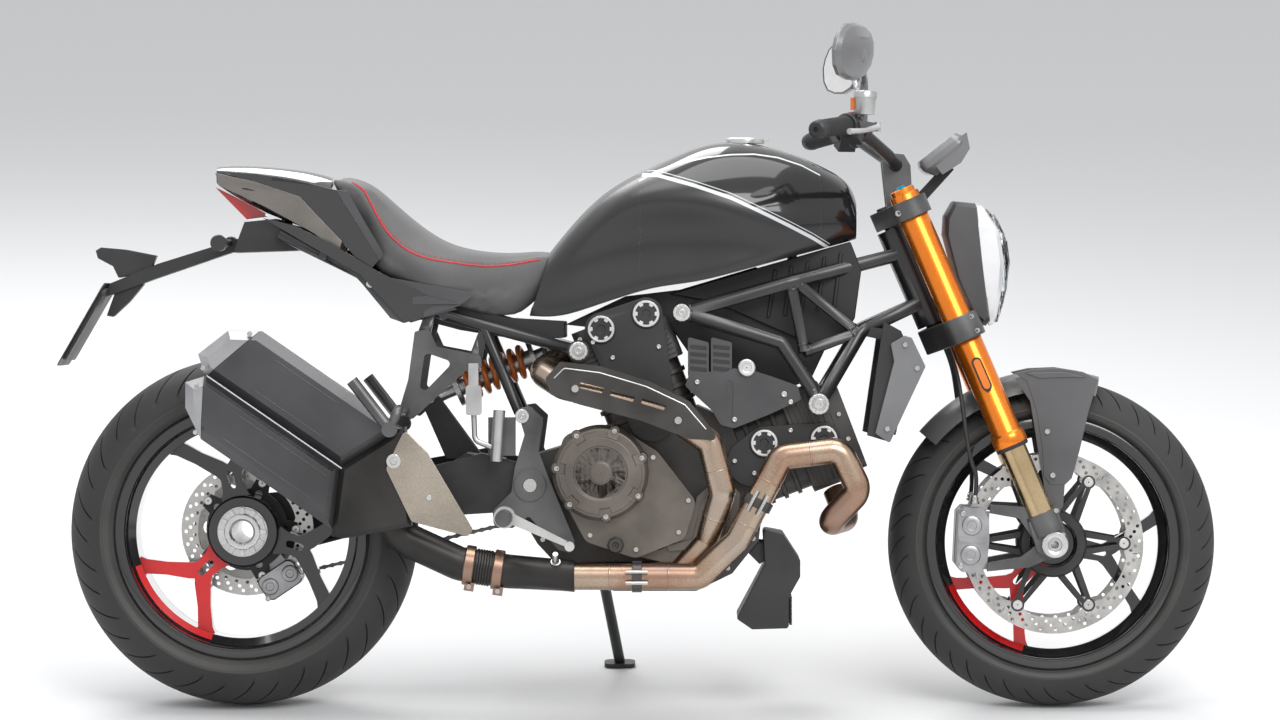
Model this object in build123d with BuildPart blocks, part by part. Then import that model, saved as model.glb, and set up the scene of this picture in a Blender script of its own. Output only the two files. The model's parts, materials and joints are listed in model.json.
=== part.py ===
from build123d import *
import os
from math import atan2, cos, degrees, radians, sin

# A naked V-twin road motorcycle, parked on its side stand.
# It is drawn upright: +X forward, +Z up, -Y its right-hand side, ground at Z = 0,
# and is leaned over onto the stand when each piece is written.

# ---------------------------------------------------------------- driving sizes
FRONT_AXLE_X = 742.5
FRONT_TYRE_R = 300.0
FRONT_TYRE_W = 120.0
REAR_TYRE_R = 320.0
REAR_TYRE_W = 190.0
BEAD_R = 218.5
FRONT_RIM_W = 89.0
REAR_RIM_W = 152.0

RAKE = 23.3
STEER_LOCK = 32.0
FORK_OFFSET = 39.2
FORK_SPREAD = 210.0
FORK_TUBE_R = 27.5
FORK_SLIDER_R = 24.0
FORK_LENGTH = 697.0
FRONT_AXLE_R = 12.5
FRONT_AXLE_HOLE_R = 7.0
FRONT_DISC_R = 165.0
DISC_T = 5.0
LOWER_CLAMP_S, LOWER_CLAMP_HALF = 428.0, 23.0
UPPER_CLAMP_S, UPPER_CLAMP_HALF = 666.0, 17.0
HEAD_TUBE_R = 31.0
STEM_R = 15.0

PIVOT_X, PIVOT_Z = -212.0, 408.0
SWINGARM_LENGTH = 530.5
REAR_DISC_R = 122.5
CHAIN_Y = 150.0
CHAIN_PITCH = 15.875
REAR_TEETH = 41
FRONT_TEETH = 15

CRANK_X, CRANK_Z = 60.0, 400.0
FRONT_CYLINDER_ANGLE = 21.0
CRANKCASE_HALF = 118.0
BORE_R = 82.0
FRAME_TUBE_R = 13.0
HEADER_R = 24.0
HEADER_WALL = 2.0

TANK_HALF = 165.0
SEAT_HALF = 140.0
BAR_HALF = 385.0
BAR_R = 11.0
GRIP_LENGTH = 125.0

LEAN = 10.0
STAND_FOOT_Y = 300.0
FIT = 0.3
SPIN_FIT = 0.5
RUN_CLEAR = 5.0

# ---------------------------------------------------------------- places worked out
REAR_AXLE_X = PIVOT_X - SWINGARM_LENGTH
FRONT_AXLE = Vector(FRONT_AXLE_X, 0, FRONT_TYRE_R)
REAR_AXLE = Vector(REAR_AXLE_X, 0, REAR_TYRE_R)
UP = Vector(-sin(radians(RAKE)), 0, cos(radians(RAKE)))
AHEAD = Vector(cos(radians(RAKE)), 0, sin(radians(RAKE)))
STEER = Plane(origin=FRONT_AXLE - AHEAD * FORK_OFFSET, x_dir=AHEAD, z_dir=UP)
CYLINDER = {
    "front": Vector(cos(radians(FRONT_CYLINDER_ANGLE)), 0, sin(radians(FRONT_CYLINDER_ANGLE))),
    "rear": Vector(-sin(radians(FRONT_CYLINDER_ANGLE)), 0, cos(radians(FRONT_CYLINDER_ANGLE))),
}
CRANK = Vector(CRANK_X, 0, CRANK_Z)


def crown_radius(radius, width, drop):
    """Radius of the tread arc of a tyre whose edges lie `drop` under its top."""
    return ((width / 2) ** 2 + drop ** 2) / (2 * drop)

FRONT_DROP = 50.0
REAR_DROP = 62.0
LIFT_FRONT = crown_radius(FRONT_TYRE_R, FRONT_TYRE_W, FRONT_DROP) * (1 - cos(radians(LEAN)))
LIFT_REAR = crown_radius(REAR_TYRE_R, REAR_TYRE_W, REAR_DROP) * (1 - cos(radians(LEAN)))
WHEELBASE = FRONT_AXLE_X - REAR_AXLE_X
NOSE_DOWN = degrees(atan2(LIFT_REAR - LIFT_FRONT, WHEELBASE))
PARK = (
    Location((0, 0, (LIFT_FRONT + LIFT_REAR) / 2), (0, NOSE_DOWN, 0))
    * Location((0, 0, 0), (-LEAN, 0, 0))
)

# ---------------------------------------------------------------- shared construction
def side(right=0.0):
    """A workplane seen from the right-hand side, that far to the right of the middle."""
    return Plane.XZ.offset(right)


def at(x, z, right=0.0):
    """A point by its place in the side view and its distance to the right."""
    return Vector(x, -right, z)


def fork_point(up, ahead=0.0, right=0.0):
    """A point by its height along the steering axis, in front of it and to its right."""
    return STEER.from_local_coords((ahead, -right, up))


def fork_plane(right=0.0):
    """A workplane along the fork: forward across the steering axis, then up along it."""
    return Plane(origin=fork_point(0, 0, right), x_dir=AHEAD, z_dir=(0, -1, 0))


def add_plate(outline, inner, outer, corner=0.0, mode=Mode.ADD):
    """Extrude a side-view outline between two distances to the right of the middle."""
    with BuildSketch(side(inner)) as face:
        with BuildLine():
            Polyline(*outline, close=True)
        make_face()
        if corner:
            fillet(face.vertices(), corner)
    extrude(face.sketch, amount=outer - inner, mode=mode)


def add_disc(x, z, radius, inner, outer, bore=0.0, mode=Mode.ADD):
    """A round boss whose axis runs from side to side."""
    with BuildSketch(side(inner).shift_origin(at(x, z, inner))) as face:
        Circle(radius)
        if bore:
            Circle(bore, mode=Mode.SUBTRACT)
    extrude(face.sketch, amount=outer - inner, mode=mode)


def add_tube(points, radius, bend=0.0, wall=0.0, mode=Mode.ADD):
    """A round tube or bar along straight runs joined by arcs."""
    with BuildLine() as path:
        if bend:
            FilletPolyline(*points, radius=bend)
        else:
            Polyline(*points)
    with BuildSketch(Plane(origin=path.line @ 0, z_dir=path.line % 0)) as section:
        Circle(radius)
        if wall:
            Circle(radius - wall, mode=Mode.SUBTRACT)
    sweep(section.sketch, path=path.line, mode=mode)


def add_rod(start, end, radius, bore=0.0, mode=Mode.ADD):
    """A straight round bar or bush between two points."""
    run = Vector(*end) - Vector(*start)
    with BuildSketch(Plane(origin=start, z_dir=run)) as section:
        Circle(radius)
        if bore:
            Circle(bore, mode=Mode.SUBTRACT)
    extrude(section.sketch, amount=run.length, mode=mode)


def body_section(x, low, high, foot, waist, waist_z):
    """A cross-section of the bodywork: flat floor, bowed flanks and a crowned top."""
    shoulder_z = waist_z + (high - waist_z) * 0.55
    shoulder = waist * 0.80
    with BuildSketch(Plane.YZ.offset(x)) as section:
        with BuildLine():
            Line((-foot, low), (foot, low))
            ThreePointArc((foot, low), (waist, waist_z), (shoulder, shoulder_z))
            ThreePointArc((shoulder, shoulder_z), (0, high), (-shoulder, shoulder_z))
            ThreePointArc((-shoulder, shoulder_z), (-waist, waist_z), (-foot, low))
        make_face()
    return section


def along(start, end, distance):
    """The point that lies that far from start on the way to end."""
    run = Vector(*end) - Vector(*start)
    return Vector(*start) + run.normalized() * distance


def cut_behind(body, top, bottom, keep_front):
    """Split a body along a slanting joint line of the side view."""
    run = Vector(bottom[0] - top[0], 0, bottom[1] - top[1])
    face = Plane(origin=at(*top), x_dir=(0, 1, 0), z_dir=Vector(-run.Z, 0, run.X))
    with BuildPart() as half:
        add(body.part)
        split(bisect_by=face, keep=Keep.TOP if keep_front else Keep.BOTTOM)
    return half


def both_sides(points):
    """The same run of points on the right and on the left."""
    return [[Vector(p.X, sign * p.Y, p.Z) for p in points] for sign in (1, -1)]

PIECES = {}


def keep(piece, name):
    """Remember a finished piece under its node's name."""
    piece.part.label = name
    PIECES[name] = piece.part

# ---------------------------------------------------------------- wheels
def wheel_section(axle):
    """Plane through a wheel's axle: across the wheel, then out from the axle."""
    return Plane(origin=axle, x_dir=(0, 1, 0), z_dir=(1, 0, 0))

FLANGE_R = BEAD_R + 12.5


def make_tyre(axle, radius, width, drop, rim_width):
    """A radial tyre: crowned tread, bowed walls and a bead that sits in the rim."""
    half = width / 2
    edge = radius - drop
    bead = rim_width / 2 - FIT
    bead_r, bead_top = BEAD_R + FIT, FLANGE_R + 1.5
    wall, heel = 9.0, 15.0
    outer_mid = ((half + bead) / 2 + 4, (edge + bead_top) / 2 - 1)
    inner_mid = (outer_mid[0] - wall - 2, (edge + bead_r) / 2 + 4)
    with BuildPart() as tyre:
        with BuildSketch(wheel_section(axle)):
            with BuildLine():
                ThreePointArc((-half, edge), (0, radius), (half, edge))
                ThreePointArc((half - wall, edge), (0, radius - wall), (wall - half, edge))
                for sign in (1, -1):
                    ThreePointArc(
                        (sign * half, edge), (sign * outer_mid[0], outer_mid[1]), (sign * bead, bead_top)
                    )
                    Line((sign * bead, bead_top), (sign * bead, bead_r))
                    Line((sign * bead, bead_r), (sign * (bead - heel), bead_r))
                    ThreePointArc(
                        (sign * (bead - heel), bead_r),
                        (sign * inner_mid[0], inner_mid[1]),
                        (sign * (half - wall), edge),
                    )
            make_face()
        revolve(axis=Axis(axle, (0, 1, 0)))
    return tyre

WELL_R = BEAD_R - 16.0
BARREL_IN_R = WELL_R - 7.0
SPOKE_SPREAD = 25.6


def add_barrel(axle, rim_width):
    """The rim's barrel: flanges, bead seats and a dropped well, turned in one piece."""
    flange = rim_width / 2 + 7.5
    half = [
        (flange, BEAD_R - 4),
        (flange, FLANGE_R - 3),
        (flange - 3, FLANGE_R),
        (flange - 7, FLANGE_R),
        (flange - 7.5, BEAD_R),
        (flange - 28, BEAD_R - 1.5),
        (flange - 38, WELL_R),
    ]
    inside = [
        (flange - 36, BARREL_IN_R),
        (flange - 25, BEAD_R - 9),
        (flange - 8, BEAD_R - 7),
    ]
    outline = half + [(-y, r) for y, r in reversed(half)]
    outline += [(-y, r) for y, r in reversed(inside)] + inside
    with BuildSketch(wheel_section(axle)) as section:
        with BuildLine():
            Polyline(*outline, close=True)
        make_face()
    revolve(section.sketch, axis=Axis(axle, (0, 1, 0)))


def wheel_face(axle, right=0.0):
    """A plane across the wheel, seen from the right, with its origin on the axle."""
    return Plane(origin=axle + Vector(0, -right, 0), x_dir=(1, 0, 0), z_dir=(0, -1, 0))


def add_y_spokes(axle, first_stem, half_depth, hub_r, fork_r):
    """Three spokes, each a stem from the hub that forks into two arms to the rim."""
    reach = (WELL_R + BARREL_IN_R) / 2
    spread = radians(SPOKE_SPREAD)
    tip = Vector(reach * cos(spread), reach * sin(spread), 0)
    root = Vector(fork_r - 14, 0, 0)
    along = (tip - root).normalized()
    across = Vector(-along.Y, along.X, 0)
    stem_w, arm_w = 19.0, 11.5
    with BuildSketch(wheel_face(axle)) as spokes:
        with PolarLocations(0, 3, start_angle=first_stem):
            Polygon(
                (hub_r - 6, -stem_w - 5),
                (fork_r, -stem_w),
                (fork_r + 10, 0),
                (fork_r, stem_w),
                (hub_r - 6, stem_w + 5),
                align=None,
            )
            for lean in (1, -1):
                corners = [
                    root + across * arm_w,
                    root - across * arm_w,
                    tip - across * (arm_w + 1),
                    tip + across * (arm_w + 1),
                ]
                Polygon(*[(c.X, lean * c.Y) for c in corners], align=None)
        with PolarLocations(0, 3, start_angle=first_stem):
            with Locations((hub_r + 34, 0)):
                SlotOverall(fork_r - hub_r - 18, 13, mode=Mode.SUBTRACT)
    extrude(spokes.sketch, amount=half_depth, both=True)


def make_front_rim():
    with BuildPart() as rim:
        add_barrel(FRONT_AXLE, FRONT_RIM_W)
        add_y_spokes(FRONT_AXLE, 228.0, 14.0, 38.0, 112.0)
        add_disc(FRONT_AXLE_X, FRONT_TYRE_R, 38.0, -56, 56)
        for near in (1, -1):
            add_disc(FRONT_AXLE_X, FRONT_TYRE_R, 58.0, near * 50, near * 56)
        add_disc(FRONT_AXLE_X, FRONT_TYRE_R, FRONT_AXLE_R + SPIN_FIT, -60, 60, mode=Mode.SUBTRACT)
    return rim

REAR_SHAFT_R = 35.0
REAR_HUB_R = 64.0
REAR_HOLE_R = 20.0
REAR_SHAFT_LENGTH = CHAIN_Y + 22 + 54 + FIT


def make_rear_rim():
    with BuildPart() as rim:
        add_barrel(REAR_AXLE, REAR_RIM_W)
        add_y_spokes(REAR_AXLE, 104.0, 19.0, REAR_HUB_R, 118.0)
        add_disc(REAR_AXLE_X, REAR_TYRE_R, REAR_HUB_R, -50, 44)
        add_disc(REAR_AXLE_X, REAR_TYRE_R, REAR_SHAFT_R + FIT, -60, 60, mode=Mode.SUBTRACT)
        add_disc(REAR_AXLE_X, REAR_TYRE_R, 46.0, 30, 44, mode=Mode.SUBTRACT)
    return rim


def make_rear_shaft():
    """The hub shaft that the wheel is bolted to: hollow, with the big nut at the right."""
    with BuildPart() as shaft:
        add_disc(REAR_AXLE_X, REAR_TYRE_R, REAR_SHAFT_R, -CHAIN_Y - 22, 30 - FIT, REAR_HOLE_R)
        with BuildSketch(wheel_face(REAR_AXLE, 30 + FIT)):
            RegularPolygon(44.0, 12)
            Circle(REAR_HOLE_R, mode=Mode.SUBTRACT)
        extrude(amount=24)
        add_disc(REAR_AXLE_X, REAR_TYRE_R, REAR_SHAFT_R, 28, 31, REAR_HOLE_R)
    return shaft


def make_disc(axle, radius, right, carrier_r, hub_r, bore, arms, thickness=DISC_T):
    """A floating brake disc: the drilled ring, its bobbins and the star that carries it."""
    ring_in = carrier_r + 6
    with BuildPart() as disc:
        add_disc(axle.X, axle.Z, radius, right - thickness / 2, right + thickness / 2, ring_in)
        with BuildSketch(wheel_face(axle, right - thickness / 2 + 0.5)):
            Circle(hub_r)
            Circle(bore, mode=Mode.SUBTRACT)
            with PolarLocations((carrier_r + hub_r) / 2, arms, start_angle=12):
                Rectangle(carrier_r - hub_r + 8, 22)
        extrude(amount=thickness - 1)
        with BuildSketch(wheel_face(axle, right - thickness / 2 - 1)):
            with PolarLocations(carrier_r + 4, arms, start_angle=12):
                Circle(9)
        extrude(amount=thickness + 2)
    return disc

CHAIN_IN = 0.5


def make_rear_sprocket():
    pitch_r = CHAIN_PITCH / (2 * sin(radians(180 / REAR_TEETH)))
    with BuildPart() as sprocket:
        with BuildSketch(wheel_face(REAR_AXLE, -CHAIN_Y - 2.5)):
            Circle(pitch_r + CHAIN_IN - FIT)
            Circle(REAR_SHAFT_R + FIT, mode=Mode.SUBTRACT)
            with PolarLocations(76, 6):
                Circle(14, mode=Mode.SUBTRACT)
        extrude(amount=5)
        add_disc(REAR_AXLE_X, REAR_TYRE_R, 52, -CHAIN_Y + 2.5, -CHAIN_Y + 10, REAR_SHAFT_R + FIT)
    return sprocket

keep(make_tyre(FRONT_AXLE, FRONT_TYRE_R, FRONT_TYRE_W, FRONT_DROP, FRONT_RIM_W), "front_tyre")
keep(make_tyre(REAR_AXLE, REAR_TYRE_R, REAR_TYRE_W, REAR_DROP, REAR_RIM_W), "rear_tyre")
keep(make_front_rim(), "front_rim")
keep(make_rear_rim(), "rear_rim")
keep(make_rear_shaft(), "rear_wheel_shaft")
FRONT_DISC_Y = 66.0
with BuildPart() as front_discs:
    add(make_disc(FRONT_AXLE, FRONT_DISC_R, FRONT_DISC_Y, 122.0, 58.0, 42.0, 6))
    add(make_disc(FRONT_AXLE, FRONT_DISC_R, -FRONT_DISC_Y, 122.0, 58.0, 42.0, 6))
    for near in (1, -1):
        add_disc(FRONT_AXLE_X, FRONT_TYRE_R, 56, near * 56, near * (FRONT_DISC_Y - 2), 42)
keep(front_discs, "front_discs")
REAR_DISC_Y = -58.0
with BuildPart() as rear_disc:
    add(make_disc(REAR_AXLE, REAR_DISC_R, REAR_DISC_Y, 84.0, 62.0, REAR_SHAFT_R + FIT, 5))
    add_disc(REAR_AXLE_X, REAR_TYRE_R, 60, -56, -50, REAR_SHAFT_R + FIT)
keep(rear_disc, "rear_disc")
keep(make_rear_sprocket(), "rear_sprocket")

# ---------------------------------------------------------------- steering and fork
LEG = FORK_SPREAD / 2
CLAMP_FRONT = FORK_OFFSET + 8
CLAMP_LEG_R = 38.0


def make_clamp(low, high, leg_r, stem_r, stem_hole=0.0):
    """A triple clamp: one plate that wraps both fork legs and the steering stem."""
    with BuildPart() as clamp:
        with BuildSketch(STEER.offset(low)):
            with BuildLine() as hull_edges:
                for y in (LEG, -LEG):
                    CenterArc((FORK_OFFSET, y), leg_r, 0, 360)
                CenterArc((0, 0), stem_r, 0, 360)
            make_hull(hull_edges.edges())
            with Locations((FORK_OFFSET, LEG), (FORK_OFFSET, -LEG)):
                Circle(FORK_TUBE_R + FIT, mode=Mode.SUBTRACT)
            if stem_hole:
                Circle(stem_hole, mode=Mode.SUBTRACT)
        extrude(amount=high - low)
        with BuildSketch(STEER.offset(low)):
            with Locations((CLAMP_FRONT + 28, 0)):
                SlotOverall(2 * LEG - 66, 56, rotation=90)
        extrude(amount=high - low, mode=Mode.SUBTRACT)
    return clamp

with BuildPart() as lower_clamp:
    add(make_clamp(LOWER_CLAMP_S - LOWER_CLAMP_HALF, LOWER_CLAMP_S + LOWER_CLAMP_HALF, CLAMP_LEG_R, 34))
    add_rod(fork_point(LOWER_CLAMP_S), fork_point(UPPER_CLAMP_S + 22), STEM_R)
keep(lower_clamp, "lower_clamp")
BAR_Y = 40.0
with BuildPart() as upper_clamp:
    add(make_clamp(UPPER_CLAMP_S - UPPER_CLAMP_HALF, UPPER_CLAMP_S + UPPER_CLAMP_HALF, 36, 30, STEM_R + FIT))
    for y in (BAR_Y, -BAR_Y):
        add_plate([(440, 906), (486, 925), (482, 992), (470, 1012), (446, 1014), (430, 998)], -y - 13, -y + 13)
    add_rod((455, -60, 992), (455, 60, 992), BAR_R + FIT, mode=Mode.SUBTRACT)
keep(upper_clamp, "upper_clamp")

SLIDER_TOP = 260.0
TUBE_FOOT = 197.0
with BuildPart() as fork_outer_tubes:
    for near in (1, -1):
        foot = fork_point(TUBE_FOOT, FORK_OFFSET, near * LEG)
        add_rod(foot, fork_point(FORK_LENGTH, FORK_OFFSET, near * LEG), FORK_TUBE_R)
        add_rod(foot, fork_point(TUBE_FOOT + 22, FORK_OFFSET, near * LEG), FORK_TUBE_R + 4.5)
        add_rod(
            fork_point(FORK_LENGTH, FORK_OFFSET, near * LEG),
            fork_point(FORK_LENGTH + 10, FORK_OFFSET, near * LEG),
            FORK_TUBE_R - 5,
        )
        add_rod(
            foot,
            fork_point(SLIDER_TOP + 5, FORK_OFFSET, near * LEG),
            FORK_SLIDER_R + FIT,
            mode=Mode.SUBTRACT,
        )
keep(fork_outer_tubes, "fork_outer_tubes")
SLIDER_FOOT = 40.0
with BuildPart() as fork_inner_tubes:
    for near in (1, -1):
        add_rod(
            fork_point(SLIDER_FOOT, FORK_OFFSET, near * LEG),
            fork_point(SLIDER_TOP, FORK_OFFSET, near * LEG),
            FORK_SLIDER_R,
        )
keep(fork_inner_tubes, "fork_inner_tubes")

CALIPER_R = 148.0
CALIPER_ANGLE = 177.3
CALIPER_DEPTH = 56.0
CALIPER_LENGTH = 118.0


def caliper_plane(right):
    """Plane across the front wheel: out from the axle to the caliper, then down across it."""
    angle = radians(CALIPER_ANGLE)
    return Plane(origin=FRONT_AXLE + Vector(0, -right, 0), x_dir=(cos(angle), 0, sin(angle)), z_dir=(0, -1, 0))

EAR_OUT = LEG + 8
FENDER_SKIN = 2.5
FENDER_R = FRONT_TYRE_R + 14
FENDER_HALF = FRONT_DISC_Y + DISC_T / 2 + 1 + RUN_CLEAR
FENDER_OUT = FENDER_HALF + 5.5
FENDER_BOLT = (745, 362)


def make_fork_bottom(near):
    """The cast foot of a fork leg: sleeve, axle clamp and two ears for the caliper."""
    lo, hi = LEG - 17, LEG + 17
    with BuildPart() as foot:
        add_rod(
            fork_point(22, FORK_OFFSET, near * LEG),
            fork_point(62, FORK_OFFSET, near * LEG),
            FORK_SLIDER_R + 6,
        )
        with BuildSketch(Plane(origin=FRONT_AXLE + Vector(0, -near * lo, 0), x_dir=AHEAD, z_dir=(0, -1, 0))):
            with BuildLine():
                Polyline((-28, 56), (28, 52), (27, 0), (18, -20), (-20, -22), (-34, 2), close=True)
            make_face()
            Circle(24)
        extrude(amount=near * (hi - lo))
        ear_end = CALIPER_R - CALIPER_DEPTH / 2 - FIT
        for ear in (
            [(10, -24), (48, -66), (ear_end, -66), (ear_end, -51), (66, -44), (30, 4)],
            [(0, 22), (44, 44), (ear_end, 55), (ear_end, 40), (60, 26), (20, -8)],
        ):
            with BuildSketch(caliper_plane(near * lo)) as face:
                with BuildLine():
                    Polyline(*ear, close=True)
                make_face()
            extrude(face.sketch, amount=near * (EAR_OUT - lo))
        add_disc(*FENDER_BOLT, 9, near * (FENDER_OUT + FIT), near * LEG)
        add_rod(
            fork_point(SLIDER_FOOT, FORK_OFFSET, near * LEG),
            fork_point(150, FORK_OFFSET, near * LEG),
            FORK_SLIDER_R + FIT,
            mode=Mode.SUBTRACT,
        )
        add_disc(
            FRONT_AXLE_X, FRONT_TYRE_R, FRONT_AXLE_R + FIT, near * (LEG - 40), near * (LEG + 40), mode=Mode.SUBTRACT
        )
    return foot

with BuildPart() as fork_bottoms:
    add(make_fork_bottom(1))
    add(make_fork_bottom(-1))
keep(fork_bottoms, "fork_bottoms")
with BuildPart() as front_axle:
    add_disc(FRONT_AXLE_X, FRONT_TYRE_R, FRONT_AXLE_R, -LEG - 20, LEG + 20, FRONT_AXLE_HOLE_R)
    for near in (1, -1):
        add_disc(FRONT_AXLE_X, FRONT_TYRE_R, 19, near * 72, near * (LEG - 17), FRONT_AXLE_R)
keep(front_axle, "front_axle")


def make_caliper(axle, right, radius, angle, length, depth, disc_r, half_width):
    """A brake caliper that straddles its disc: two halves and the bridge over the edge."""
    slot = DISC_T / 2 + 1 + RUN_CLEAR
    with BuildPart() as caliper:
        with BuildSketch(wheel_face(axle, right - half_width)):
            with PolarLocations(radius, 1, start_angle=angle):
                RectangleRounded(depth, length, 14)
        extrude(amount=2 * half_width)
        chamfer(caliper.edges().filter_by(GeomType.LINE).group_by(Axis.Y)[0], 2)
        add_disc(axle.X, axle.Z, disc_r + RUN_CLEAR, right - slot, right + slot, mode=Mode.SUBTRACT)
    return caliper

with BuildPart() as front_calipers:
    for near in (1, -1):
        add(
            make_caliper(
                FRONT_AXLE,
                near * FRONT_DISC_Y,
                CALIPER_R,
                CALIPER_ANGLE,
                CALIPER_LENGTH,
                CALIPER_DEPTH,
                FRONT_DISC_R,
                34,
            )
        )
keep(front_calipers, "front_calipers")


def make_front_fender():
    """The mudguard: a crowned arch over the tyre with a cheek down to each fork foot."""
    start, sweep_angle = 74.0, 66.0
    with BuildPart() as fender:
        with BuildSketch(wheel_section(FRONT_AXLE)):
            with BuildLine():
                ThreePointArc((-FENDER_HALF, FENDER_R - 34), (0, FENDER_R), (FENDER_HALF, FENDER_R - 34))
                Line((FENDER_HALF, FENDER_R - 34), (FENDER_HALF + FENDER_SKIN, FENDER_R - 34))
                ThreePointArc(
                    (FENDER_HALF + FENDER_SKIN, FENDER_R - 34),
                    (0, FENDER_R + FENDER_SKIN),
                    (-FENDER_HALF - FENDER_SKIN, FENDER_R - 34),
                )
                Line((-FENDER_HALF - FENDER_SKIN, FENDER_R - 34), (-FENDER_HALF, FENDER_R - 34))
            make_face()
        revolve(axis=Axis(FRONT_AXLE, (0, -1, 0)), revolution_arc=sweep_angle)
    return fender.part.rotate(Axis(FRONT_AXLE, (0, -1, 0)), start - 90)

with BuildPart() as front_fender:
    add(make_front_fender())
    for near in (1, -1):
        add_plate(
            [(672, 602), (705, 612), (745, 590), (745, 560), (764, 420), (760, 368), (745, 350), (731, 370), (700, 560)],
            near * FENDER_HALF,
            near * FENDER_OUT,
        )
keep(front_fender, "front_fender")

HOSE_R = 4.0
CALIPER_TOP = FRONT_AXLE + Vector(
    4 - CALIPER_R, 0, CALIPER_LENGTH / 2 + CALIPER_R * sin(radians(180 - CALIPER_ANGLE)) + 3 * FIT
)
with BuildPart() as front_hoses:
    for near in (1, -1):
        seat = CALIPER_TOP + Vector(0, -near * (FRONT_DISC_Y + 22), 0)
        run = [
            fork_point(LOWER_CLAMP_S - LOWER_CLAMP_HALF - FIT, 4, near * 66),
            fork_point(372, 4, near * 66),
            fork_point(320, -8, near * 99),
            fork_point(200, -42, near * 101),
            seat + Vector(6, 0, 52),
            seat + Vector(0, 0, 4),
        ]
        add_tube(run, HOSE_R, bend=16)
        add_rod(seat, seat + Vector(0, 0, 13), HOSE_R + 2.5)
keep(front_hoses, "front_hoses")

BAR_PATH = [
    (309, -BAR_HALF, 1048),
    (372, -235, 1062),
    (440, -112, 1008),
    (455, -60, 992),
    (455, 60, 992),
    (440, 112, 1008),
    (372, 235, 1062),
    (309, BAR_HALF, 1048),
]
with BuildPart() as handlebar:
    add_tube(BAR_PATH, BAR_R, bend=35)
keep(handlebar, "handlebar")

with BuildPart() as grips:
    for near in (0, -1):
        end, bend = BAR_PATH[near], BAR_PATH[1 if near == 0 else -2]
        add_rod(end, along(end, bend, GRIP_LENGTH), 17, BAR_R + FIT)
keep(grips, "grips")

with BuildPart() as controls:
    for near in (1, -1):
        end = (309, -near * BAR_HALF, 1048)
        bend = (372, -near * 235, 1062)
        hub = along(end, bend, GRIP_LENGTH + 4)
        add_rod(hub, along(end, bend, GRIP_LENGTH + 32), 20, BAR_R + FIT)
        add_rod(along(end, bend, 18) + Vector(52, 0, -6), hub + Vector(58, 0, -6), 5)
        add_rod(hub + Vector(58, 0, -6), along(end, bend, GRIP_LENGTH + 24) + Vector(16, 0, 0), 6)
    with BuildSketch(Plane(origin=(392, -258, 1076), x_dir=(1, 0, 0), z_dir=(0.1, 0, 1))):
        Circle(20)
    extrude(amount=42, taper=-3)
    add_rod((377, -258, 1076), (392, -258, 1080), 5)
keep(controls, "hand_controls")

with BuildPart() as mirrors:
    for near in (1, -1):
        face = Plane(origin=(352, -near * 345, 1187), x_dir=(0, -1, 0), z_dir=(1, 0, -0.12))
        with BuildSketch(face) as glass_side:
            Ellipse(78, 52)
        with BuildSketch(face.offset(26)) as back:
            Ellipse(46, 26)
        loft([glass_side.sketch, back.sketch])
        inner_end, outer_end = [(x, near * y, z) for x, y, z in BAR_PATH[2:0:-1]]
        clamp = along(outer_end, inner_end, 38)
        add_rod(along(outer_end, inner_end, 30), along(outer_end, inner_end, 46), BAR_R + 6)
        add_tube([clamp, clamp + Vector(4, -near * 6, 92), (382, -near * 345, 1182)], 6, bend=22)
        add_rod(along(outer_end, inner_end, 26), along(outer_end, inner_end, 50), BAR_R + FIT, mode=Mode.SUBTRACT)
keep(mirrors, "mirrors")

with BuildPart() as instrument:
    with BuildSketch(Plane(origin=(545, 0, 1008), x_dir=(0, 1, 0), z_dir=(-0.62, 0, 0.78))):
        RectangleRounded(158, 96, 22)
    extrude(amount=22)
    with BuildSketch(Plane(origin=(545, 0, 1008), x_dir=(0, 1, 0), z_dir=(-0.62, 0, 0.78))):
        RectangleRounded(120, 70, 18)
    extrude(amount=-18, taper=20)
    with BuildSketch(fork_plane(-12)) as arm:
        Polygon(
            (CLAMP_FRONT + FIT, UPPER_CLAMP_S - 11),
            (CLAMP_FRONT + FIT, UPPER_CLAMP_S + 11),
            (136, UPPER_CLAMP_S + 50),
            (146, UPPER_CLAMP_S + 34),
            align=None,
        )
    extrude(arm.sketch, amount=24)
keep(instrument, "instrument")

HEADLIGHT_SIDE = [(550, 930), (600, 922), (648, 885), (668, 815), (655, 740), (630, 704), (598, 716), (560, 790), (540, 870)]
LENS_JOINT = ((601, 930), (628, 700))
with BuildPart() as lamp_body:
    for sign in (1, -1):
        with BuildSketch(Plane(origin=(0, 0, 0), x_dir=(sign, 0, 0), z_dir=(0, -sign, 0))):
            with BuildLine():
                Polyline(*[(sign * x, z) for x, z in HEADLIGHT_SIDE], close=True)
            make_face()
        extrude(amount=92, taper=16)
with BuildPart() as headlight:
    add(cut_behind(lamp_body, *LENS_JOINT, False))
    with BuildSketch(fork_plane(-12)) as arm:
        Polygon(
            (CLAMP_FRONT + FIT, LOWER_CLAMP_S - 16),
            (CLAMP_FRONT + FIT, LOWER_CLAMP_S + 20),
            (92, LOWER_CLAMP_S + 42),
            (92, LOWER_CLAMP_S + 18),
            align=None,
        )
    extrude(arm.sketch, amount=24)
keep(headlight, "headlight_shell")
keep(cut_behind(lamp_body, *[(x + FIT, z) for x, z in LENS_JOINT], True), "headlight_lens")

# ---------------------------------------------------------------- engine
def engine_plane(which, distance):
    """Plane across a cylinder, that far from the crank: across the bike, then round the crank."""
    axis = CYLINDER[which]
    return Plane(origin=CRANK + axis * distance, x_dir=(0, 1, 0), z_dir=axis)

DECK = 130.0
HEAD_HALF = CRANKCASE_HALF - 13
HEAD_GASKET = 228.0
HEAD_TOP = 335.0
GEARBOX_HALF = 95.0


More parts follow.
